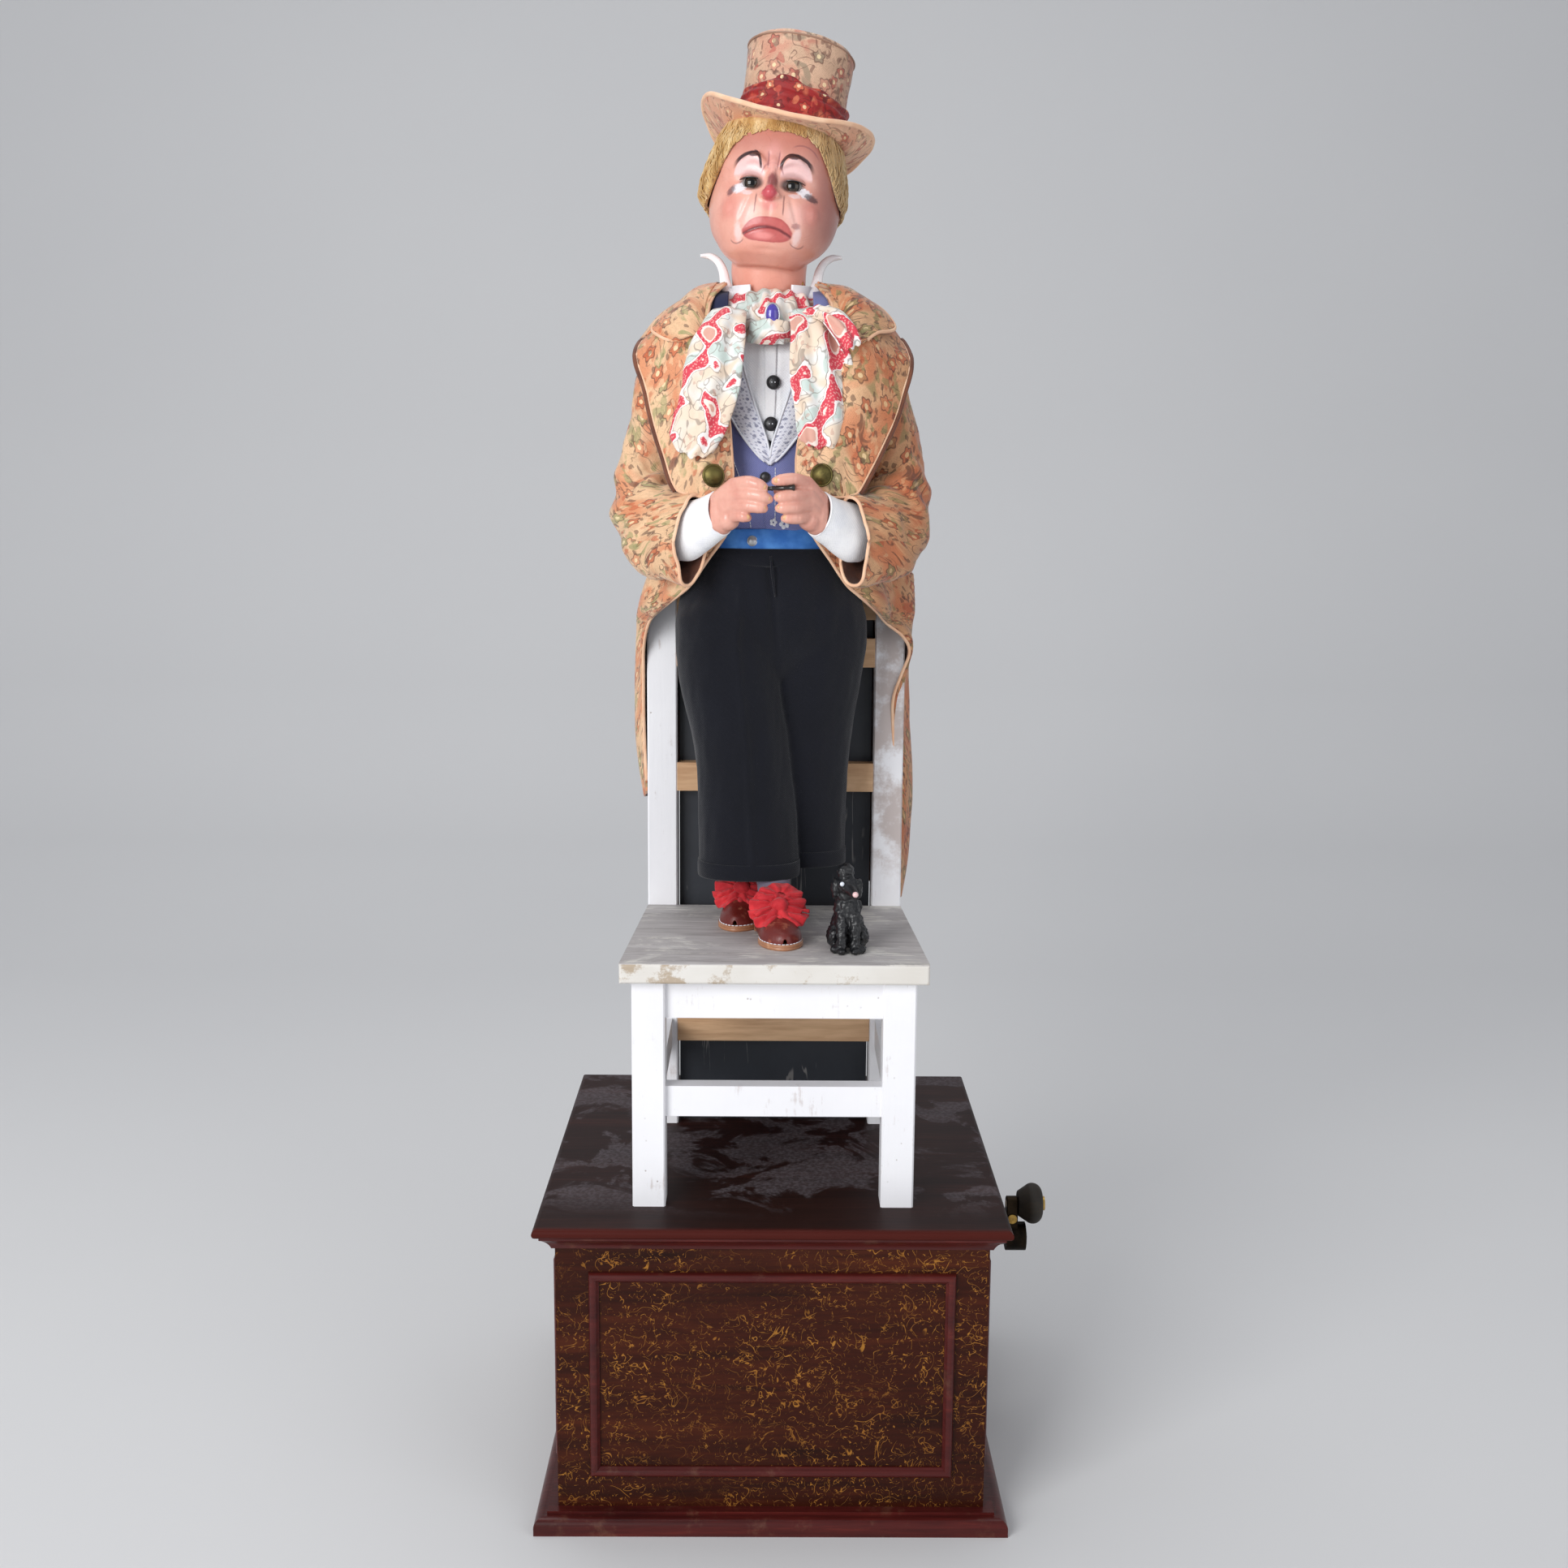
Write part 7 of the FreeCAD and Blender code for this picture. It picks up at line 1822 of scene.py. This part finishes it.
def painted_face():
    """Clown make-up by masks in the face's own millimetres, over glossy pink paint."""
    p = Paint("painted_face", Coat_Weight=0.25, Coat_Roughness=0.18, Subsurface_Weight=0.05,
              Subsurface_Scale=0.004)
    p.shader.inputs["Subsurface Radius"].default_value = (1.0, 0.4, 0.25)
    here = p.place()
    wobble = p.noise(here, 240.0, 2.0) - 0.5
    rough = p.noise(here, 700.0, 3.0, 0.6) - 0.5
    x, z = upright_wires(p, here)
    x, z = x + wobble * 0.7, z + wobble * 0.7
    wide = abs(x)
    ahead = p.step(p.axis(here, 1), -0.012, -0.02)

    def oval(cx, cz, a, b, across=wide, lean=0.0):
        u, v = (across - cx + (z - cz) * lean) / a, (z - cz) / b
        return p.math("SQRT", u * u + v * v)

    def span(value, low, full_low, full_high, high):
        """1 between the two full values, and 0 below low and above high."""
        return p.step(value, low, full_low) * p.step(value, high, full_high)

    def touch(mask, amount, shade):
        nonlocal colour
        colour = p.mix(mask * ahead * amount, colour, shade)

    cloud = p.noise(here, 45.0, 4.0, 0.6)
    colour = p.mix(p.step(cloud, 0.35, 0.7), (236, 176, 158), (226, 158, 140))
    colour = p.layers(
        colour, (p.step(z, 857.0, 874.0) * 0.75, (190, 118, 104)),
        (p.step(z, 818.0, 800.0) * 0.4, (230, 146, 122)),
        # painted shade down the face's right side, away from the key light
        (p.step(x, 14.0, 38.0) * p.step(z, 798.0, 826.0) * 0.75, (150, 90, 84)))
    touch(p.step(oval(24, 832, 11, 12), 1.0, 0.2), 0.4, (212, 112, 104))
    # a pale patch on each cheek: painted highlight
    touch(p.step(oval(15, 829, 9, 11), 1.0, 0.2), 0.45, (248, 204, 196))
    touch(p.step(oval(0, 862, 7, 13), 1.1, 0.4), 0.45, (232, 164, 160))

    arch = oval(14.8, 851.0, 10.5, 14.0)
    above = p.step(z, 850.5, 853.5)
    touch(p.step(arch, 1.0, 0.9) * above, 0.85, (250, 208, 206))
    near = p.math("MINIMUM", oval(-12.6, 856.5, 5.0, 9.4, x), oval(11.8, 856.2, 6.6, 9.2, x))
    inner = p.step(near, 1.2, 1.12) * p.step(near, 0.82, 0.9)
    outer = p.step(abs(oval(13.0, 850.0, 13.8, 15.6) - 1.0), 0.11, 0.05)
    arcs = p.math("MAXIMUM", inner * p.step(wide, 13.5, 12.0), outer * p.step(wide, 11.0, 12.5))
    fade = p.step(z, 853.0, 859.0) * p.step(wide, 26.5, 22.0)
    touch(arcs * fade * p.step(z, 855.0, 857.0), 0.95, (44, 26, 34))
    peak = p.step(oval(12.4, 864.6, 4.6, 2.2) + rough * 0.4, 1.1, 0.7)
    touch(peak, 0.85, (52, 30, 38))
    second = p.step(abs(oval(17.0, 857, 12, 15) - 1.03), 0.05, 0.015)
    touch(second * p.step(z, 864.0, 869.0) * p.step(x, 10.0, 14.0), 0.45, (120, 66, 76))

    # painted shade in the crease over each eye
    touch(p.step(oval(EYE_X, FACE_Z + 2.5, 9.5, 6.4), 1.05, 0.55), 0.45, (150, 96, 92))
    # dark round each eye: partly make-up, partly painted shade of the socket
    touch(p.step(oval(EYE_X, FACE_Z, 8.6, 5.0), 1.05, 0.6), 0.9, (58, 36, 32))
    corner = p.step(oval(20.4, 844.0, 5.0, 4.0, lean=0.5) + rough * 0.9, 1.05, 0.6)
    touch(corner, 0.95, (238, 232, 236))
    low = p.step(oval(15.0, 841.2, 4.5, 1.8) + rough * 0.8, 1.0, 0.5)
    touch(low, 0.6, (240, 220, 222))
    smudge = p.step(oval(25.2, 841.2, 4.6, 3.4, x, 0.8) + rough * 0.9, 1.0, 0.5)
    touch(smudge, 0.8, (62, 38, 46))
    smudge = p.step(oval(-25.4, 842.2, 2.8, 4.2, x, -0.4) + rough * 0.9, 1.0, 0.5)
    touch(smudge, 0.75, (92, 58, 68))
    drop = p.step(abs(wide - 8.9 + (z - 834.0) * 0.03), 0.7, 0.25)
    touch(drop * span(z, 827.5, 830.5, 839.0, 842.0), 0.6, (92, 46, 54))
    frown = p.step(abs(wide - 3.1 - (z - 860.0) * 0.05), 0.75, 0.25)
    touch(frown * span(z, 855.0, 858.5, 865.0, 868.5), 0.55, (128, 70, 80))
    crease = p.step(abs(oval(0, 851.0, 7.0, 9.0) - 1.0), 0.1, 0.03)
    touch(crease * span(z, 852.0, 855.0, 857.0, 861.0), 0.5, (150, 82, 92))

    # painted shade under the nose
    touch(p.step(oval(0, 834.0, 7.0, 4.4), 1.1, 0.3), 0.5, (222, 124, 126))
    touch(p.step(oval(0.6, 848.6, 4.0, 6.0, x) + rough * 0.4, 1.1, 0.5), 0.8, (124, 40, 54))
    touch(p.step(oval(-0.4, 841.0, 5.4, 5.2, x) + rough * 0.3, 1.05, 0.7), 0.9, (200, 64, 82))

    side = p.step(oval(18.4, 817.0, 3.4, 8.0, lean=-0.15) + rough * 0.6, 1.0, 0.35)
    touch(side, 0.6, (250, 226, 224))
    dusk = p.step(oval(17.6, 823.0, 3.8, 2.6, x) + rough * 0.8, 1.0, 0.4)
    touch(dusk, 0.55, (128, 60, 70))
    thin = p.step(abs(oval(19.0, 815.0, 4.6, 4.4) - 1.0), 0.14, 0.05)
    touch(thin * p.step(z, 814.0, 812.0) * p.step(wide, 24.0, 22.0), 0.5, (112, 64, 70))

    half = p.math("MAXIMUM", 15.6 - p.math("MAXIMUM", z - 818.6, 0.0) * 0.6, 5.0)
    u, v = p.math("POWER", wide / half, 3.0), p.math("POWER", abs(z - 819.6) / 7.4, 3.0)
    lips = p.step(u + v, 1.18, 0.88)
    part_z = z - 820.9 + wide * wide * 0.021
    mouth = p.mix(p.noise(here, 300.0, 3.0), (208, 108, 102), (190, 88, 86))
    # painted highlight on the middle of the lower lip
    mouth = p.mix(p.step(oval(-2, 815.6, 9.0, 3.0, x), 1.0, 0.3) * 0.7, mouth, (238, 150, 144))
    mouth = p.mix(p.step(u + v, 0.5, 1.05) * 0.5, mouth, (168, 66, 70))
    mouth = p.mix(p.step(abs(part_z), 1.5, 0.25) * 0.9, mouth, (112, 36, 42))
    colour = p.mix(lips * ahead, colour, mouth)

    crazing = p.step(p.cells(here, 130.0, feature="DISTANCE_TO_EDGE"), 0.012, 0.004)
    colour = p.mix(crazing * 0.12, colour, (120, 66, 56))
    height = p.noise(here, 380.0, 4.0, 0.6) - crazing * 0.3
    return p.finish(colour, 0.3 + cloud * 0.12, height, 0.00006)


def mohair():
    p = Paint("mohair", Sheen_Weight=0.35, Sheen_Roughness=0.4, Specular_IOR_Level=0.4)
    here = p.place()
    lock = p.noise(p.place((150.0, 150.0, 40.0)), 1.0, 3.0, 0.6)
    side = p.step(p.axis(here, 0), 0.004, 0.034)
    colour = p.ramp(lock, (0.3, (176, 130, 68)), (0.5, (206, 168, 108)), (0.7, (230, 204, 156)))
    colour = p.mix(side * 0.5, colour, (190, 166, 128))
    return p.finish(colour, 0.55 + lock * 0.15, lock, 0.0002)


def glass_eye():
    """Dark doll's eye: brown iris, black pupil and a clear coat."""
    p = Paint("glass_eye", Coat_Weight=0.3, Coat_Roughness=0.05, Specular_IOR_Level=0.4)
    here = p.place()
    x, z = upright_wires(p, here)
    x, z = abs(x) - EYE_X, z - FACE_Z
    r = p.math("SQRT", x * x + z * z)
    rays = p.noise(p.node("CombineXYZ", {0: p.math("ARCTAN2", z, x) * 6.0, 1: r * 0.6}), 1.0, 2.0)
    iris = p.mix(rays, (30, 23, 17), (62, 48, 34))
    white = p.mix(p.noise(here, 300.0), (150, 142, 138), (126, 116, 112))
    colour = p.mix(p.step(r, 4.1, 4.4), iris, white)
    colour = p.layers(
        colour, (p.step(abs(r - 4.2), 0.5, 0.2), (16, 10, 8)),
        (p.step(r, 2.3, 2.0), (5, 4, 4)))
    return p.finish(colour, 0.12)


FACE_PAINT = painted_face()
MOHAIR = mohair()
EYE_GLASS = glass_eye()

HEAD = [(799.6, FIG_X - 1, -18, 18.5, 15, 2.0), (803.3, FIG_X - 1, -18, 24, 21, 2.0),
        (807, FIG_X - 1, -17, 28.6, 27.5, 2.0),
        (812, FIG_X, -15, 33.4, 32, 2.0),
        (820, FIG_X, -11, 38.5, 37.5, 2.05), (832, FIG_X, -6.5, 41.6, 42, 2.1),
        (846, FIG_X, -3.5, 41.8, 42.5, 2.1),
        (862, FIG_X, -1, 41, 43, 2.1), (876, FIG_X, 0, 38.5, 41.5, 2.05),
        (888, FIG_X, 0.5, 33.5, 36, 2.0),
        (896, FIG_X, 1, 26, 28, 2.0), (901.5, FIG_X, 1, 15, 17, 2.0)]


def make_head():
    """A doll's head: rounded cheeks, small nose, full lips and a strong chin on a plain neck."""
    bm = bmesh.new()
    add_grid(bm, body_grid(HEAD, 60, 72))
    neck = [(779.3, FIG_X, 0, 22.6, 22.6, 2.0), (786, FIG_X - 1, -0.5, 23.4, 23.0, 2.0),
            (800, FIG_X - 1.5, -2, 24.4, 24.0, 2.0),
            (815, FIG_X, -2, 25, 25, 2.0), (828, FIG_X, 0, 27, 28, 2.0)]
    for side in (-1, 1):
        # cheek, jowl, ear, nostril and brow
        for dx, y, z, rx, ry, rz in (
                (20, -31, 831, 12.5, 11.5, 12.5), (15, -37, 824, 8.5, 6.5, 8.0),
                (39.5, 3, 843, 3.6, 7.0, 10.0),
                (3.9, -49.2, 840.4, 2.9, 3.2, 2.6)):
            add_grid(bm, egg((FIG_X + side * dx, y, z), rx, ry, rz))
        brow = beside(((4, -44.2, 858), (12, -43.0, 862.5), (23, -36.5, 857)), side)
        capsule_mesh(bm, brow, (2.2, 3.0, 1.8))
    add_grid(bm, egg((FIG_X, -35.5, 810.5), 10.5, 7.5, 6.6))
    capsule_mesh(bm, [(FIG_X, -42.5, 861), (FIG_X, -45.5, 851), (FIG_X, -49, 843.5)],
                 (3.4, 3.2, 4.4))
    add_grid(bm, egg((FIG_X, -50.4, 841.2), 4.5, 5.0, 4.4))
    lip = [(14.8, -37.5, 817.0), (11.0, -41.2, 821.6), (5.2, -44.2, 823.7), (0, -44.8, 823.5)]
    low = [(13.4, -38.0, 815.4), (9.2, -41.6, 815.4), (4.6, -43.8, 815.8), (0, -44.4, 816.0)]
    for path, radii in ((lip, (1.4, 2.6, 3.0, 3.0, 3.0, 2.6, 1.4)),
                        (low, (1.4, 2.7, 3.3, 3.5, 3.3, 2.7, 1.4))):
        capsule_mesh(bm, beside(path, -1) + beside(path[-2::-1], 1), radii, 16, 40)
    for vert in bm.verts:
        vert.co = rolled(vert.co)
    add_grid(bm, body_grid(neck, 24, 56))
    verts, faces, out = melted(bm, 0.95, 5)
    x, y, z = upright(verts).T
    wide = np.abs(x - FIG_X)
    ahead = np.clip((-y - 18) / 12, 0, 1)

    def dent(cx, cz, a, b):
        return np.exp(-((wide - cx) / a) ** 2 - ((z - cz) / b) ** 2) * ahead

    lift = -3.4 * dent(EYE_X, FACE_Z, 8.4, 5.2) - 1.0 * dent(20, 850, 6, 5)
    lift += -0.9 * dent(0, 807.6, 9, 1.8) - 0.6 * dent(0, 831.5, 1.8, 4.5)
    # a fold at each side of the nose, two frown lines and the parting of the lips
    lift += (-0.9 * np.exp(-((wide - (13.5 + (838 - z) * 0.35)) / 1.8) ** 2)
             * np.clip((z - 822) / 5, 0, 1) * np.clip((842 - z) / 5, 0, 1) * ahead)
    lift += (-0.45 * np.exp(-((wide - 3.1 - (z - 860) * 0.05) / 0.9) ** 2)
             * np.clip((z - 852) / 3, 0, 1) * np.clip((868 - z) / 3, 0, 1) * ahead)
    lift += -1.1 * np.exp(-((z - 820.9 + wide * wide * 0.021) / 0.9) ** 2) * (wide < 15.5) * ahead
    verts = verts + out * lift[:, None]
    concha = np.exp(-(((y - 1) / 3.2) ** 2 + ((z - 844) / 5.5) ** 2)) * (wide > 38)
    verts[:, 0] -= np.sign(x - FIG_X) * concha * 2.4
    inner = (np.hypot(verts[:, 0] - FIG_X, y) < 20.5) & (verts[:, 2] < 781)
    verts[:, 2] = np.where(inner, np.maximum(verts[:, 2], 779.2), verts[:, 2])
    make_object("doll_head", verts, faces, FACE_PAINT, body="head", slot="flesh",
                replaces=("head",))
    for side, name in SIDES:
        cx, cy, cz, r = FIG_X + side * EYE_X, -36.6, FACE_Z, 6.4
        grid_piece("eye_" + name, rolled(egg((cx, cy, cz), r, r, r, 0, 24, 36)), EYE_GLASS,
                   closed=True, caps=True,
                   body="head", slot="gem_glass")
        for lid, low, high, size in (("upper", 26, 84, 7.0), ("lower", -68, -27, 6.8)):
            rows = []
            for k in np.linspace(0, 1, 12):
                row = []
                for a in np.linspace(math.radians(-84), math.radians(84), 26):
                    edge, far, corner = (low, high, 8) if lid == "upper" else (high, low, -14)
                    bend = math.cos(a)
                    e = math.radians((edge * bend + corner * (1 - bend)) * (1 - k) + far * k)
                    ce = math.cos(e)
                    row.append((cx + size * math.sin(a) * ce * 1.2, cy - size * math.cos(a) * ce,
                                cz + size * math.sin(e)))
                rows.append(row)
            grid = rolled(rows)
            grid_piece("lid_%s_%s" % (lid, name), grid, FACE_PAINT, thick=0.7, body="head",
                       slot="flesh")
            line = grid[0 if lid == "upper" else -1][::3]
            fine = (0.2, 0.2)
            tube("lash_%s_%s" % (lid, name), line, fine + (0.4,) * (len(line) - 4) + fine,
                 BLACK_RESIN, sides=6, count=30, body="head")


def hair_line(a):
    """Lowest height of the hair at an angle from straight behind, 0, to straight ahead, pi."""
    low = np.interp(abs(a), (0, 0.6, 1.0, 1.4, 1.75, 1.92, 2.08, 2.3, 2.42, 2.6, 2.9, math.pi),
                    (818, 822, 831, 838, 839, 842, 850, 865, 873, 878.5, 881, 881.5))
    return low + 1.6 * math.sin(a)


def hair_thickness(a, z):
    """How far the wig stands off the skull: full on the left and behind, flat over the brow."""
    full = np.interp(a, (-3.14, -2.5, -2.2, -1.9, -1.57, -0.8, 0, 0.8, 1.57, 1.9, 2.3, 3.14),
                     (1.4, 2.2, 4.0, 6.2, 6.8, 6.6, 6.2, 5.0, 2.8, 2.6, 1.8, 1.4))
    return full * np.interp(z, (812, 826, 838, 852, 864, 876, 892),
                            (0.5, 0.85, 1.0, 0.95, 0.6, 0.35, 0.2))


def on_skull(a, z, grow):
    cx, cy, rx, ry, _ = at_height(HEAD, z)
    return np.array((cx + (rx + grow) * math.sin(a), cy + (ry + grow) * math.cos(a), z))


def make_hair():
    """A mohair wig: a padded cap under many short combed locks."""
    random.seed(7)
    lock_count, steps, sides, skull = 2100, 9, 4, 44.0
    rows = []
    turns = np.linspace(-math.pi, math.pi, 140, endpoint=False)
    for t in np.linspace(0, 1, 40):
        row = []
        for a in turns:
            low = hair_line(a)
            z = low * (1 - t) + 899 * t
            round_in = math.sqrt(max(1 - max(1 - (z - low) / 7.0, 0) ** 2, 0.03))
            row.append(on_skull(a, z, hair_thickness(a, z) * round_in + 0.6))
        rows.append(row)
    grid = crumple(np.array(rows), 1.1, 9.0, 121, closed=True)
    grid = crumple(grid, 0.4, 3.4, 122, closed=True)
    grid_piece("wig_cap", rolled(grid), MOHAIR, closed=True, thick=1.0, body="head", slot="mohair",
               replaces=("hair",))
    locks, faces = [], []
    for k in range(lock_count):
        a = random.uniform(-math.pi, math.pi)
        ahead = abs(a) > 2.4
        t = random.random() ** 1.1
        low = hair_line(a)
        z = low * (1 - t) + 890 * t
        length = random.uniform(6, 15) * (0.4 if ahead else 1.0)
        swirl, turns_k, phase, lean, lift = (random.uniform(*ends) for ends in (
            (0.2, 0.9), (0.5, 1.6), (0, 6.3), (-0.35, 0.35), (0.2, 1.3)))
        points = []
        for s in np.linspace(0, 1, steps):
            turn = (a + lean * length * s / skull
                    + swirl * math.sin(phase + s * turns_k * 6.28) / skull)
            height = max(z - length * s * 0.95, hair_line(turn) - 1.6 * lift)
            round_in = math.sqrt(max(1 - max(1 - (height - low) / 6.0, 0) ** 2, 0.1))
            rise = lift * math.sin(0.4 + s * 2.4) * (0.4 if ahead else 1.0)
            grow = hair_thickness(turn, height) * round_in + 0.7 + rise
            points.append(on_skull(turn, height, grow))
        sizes = 0.34 * np.sin(np.linspace(0.35, 3.0, steps)) + 0.08
        grid = tube_grid(rolled(points), sizes, sides)
        locks.append(grid.reshape(-1, 3))
        faces += grid_faces(steps, sides, True, k * steps * sides)
    make_object("curls", np.concatenate(locks), faces, MOHAIR, body="head", slot="mohair")


# ------------------------------------------------------------------ hat
def tipped(u, z, angle):
    return (u * math.cos(angle) + z * math.sin(angle),
            -u * math.sin(angle) + z * math.cos(angle))


def hat_place(points):
    """From the hat's own axes to the frame of the part: tipped back, then sideways."""
    p = np.asarray(points, float)
    x, y, z = p[..., 0], p[..., 1], p[..., 2]
    y, z = tipped(y, z, HAT_BACK)
    x, z = tipped(x, z, HAT_TILT)
    return np.stack([x + HAT_BASE[0], y + HAT_BASE[1], z + HAT_BASE[2]], axis=-1)


# height of the brim's rim by the angle from the right-hand side, through the back
RIM = ((0, 9.6), (22, 7.5), (42, -1.5), (60, -3.4), (90, -3.6), (120, -3.4), (140, -1.0),
       (160, 9.0), (180, 14.6),
       (200, 13.6), (215, 9.5), (232, 3.9), (250, -0.8), (270, -2.6), (290, -0.8), (307, 3.0),
       (325, 6.6), (342, 9.2))


def make_hat():
    """A covered top hat: crown, gathered red band, and a brim that rolls up at its sides."""
    turns = np.linspace(math.pi / 2, math.pi * 2.5, 120, endpoint=False)
    c, s = np.cos(turns), np.sin(turns)

    def lean(grid):
        return grid - np.array((1.0, 0, 0)) * grid[..., 2:3] * 0.036

    profile = [(33.6, 1.0), (33.3, 9), (33.3, 21), (33.6, 32), (34.0, 43), (34.4, 51),
               (34.5, 54.8), (33.7, 57.4), (31.0, 58.8), (22, 59.8), (10, 60.4), (0.8, 60.6)]
    rows = [np.stack([r * c, r * s, np.full(len(turns), z)], axis=1)
            for r, z in spline(profile, 64)]
    grid = crumple(lean(np.array(rows)), 0.6, 15.0, 131, closed=True)
    grid_piece("hat_crown", hat_place(grid), HAT_CLOTH, closed=True, body="head", slot="brocade",
               replaces=("hat",))
    seam = lean(np.stack([34.6 * c, 34.6 * s, np.full(len(turns), 55.4)], axis=1))
    ring_tube("hat_tip_seam", hat_place(seam), 0.7, HAT_CLOTH, body="head", slot="brocade")
    rows = []
    for r, z in ((33.8, 1.5), (35.0, 2.2), (35.6, 6.0), (35.4, 12.0), (35.2, 18.0), (34.8, 22.5),
                 (34.0, 24.6), (33.0, 24.8)):
        wave = 2.0 * np.sin(turns * 3 + 0.5) + 1.1 * np.sin(turns * 7 + 2.0) - 1.2 * s
        rows.append(np.stack([r * c, r * s, z + wave * (z / 24.0)], axis=1))
    grid = lean(dense(rows, 30, 180, True))
    ring = np.linspace(0, 4 * math.pi, 180, endpoint=False)
    pleats = 0.7 * np.sin(grid[..., 2] * 1.15 + np.sin(ring) * 1.6)
    grid = crumple(pushed(grid, pleats, True), 0.9, 8.0, 132, closed=True, stretch=(1, 1, 0.6))
    grid_piece("hat_band", hat_place(grid), BAND_CLOTH, closed=True, body="head", slot="brocade")
    around = np.degrees(turns) % 360
    angles = [a for a, h in RIM] + [360]
    rim = np.interp(around, angles, [h for a, h in RIM] + [RIM[0][1]])
    for _ in range(3):
        rim = (np.roll(rim, 1) + rim * 2 + np.roll(rim, -1)) / 4
    rows = []
    for t in np.linspace(0, 1, 24):
        reach = 31.5 + t * (23.2 + 2.0 * c ** 2 - 3.0 * np.clip(c, 0, 1) ** 2)
        rows.append(np.stack([reach * c - t * (0.8 + 0.9 * (c < 0)), reach * s,
                              1.0 - t + rim * t ** 1.7], axis=1))
    grid = crumple(np.array(rows), 0.7, 18.0, 133, closed=True)
    grid_piece("hat_brim", hat_place(grid), BRIM_CLOTH, closed=True, thick=2.4, body="head",
               slot="brocade")
    ring_tube("hat_brim_binding", hat_place(grid[-1]), 1.6, FACING, body="head", slot="brocade")


make_head()
make_hair()
make_hat()
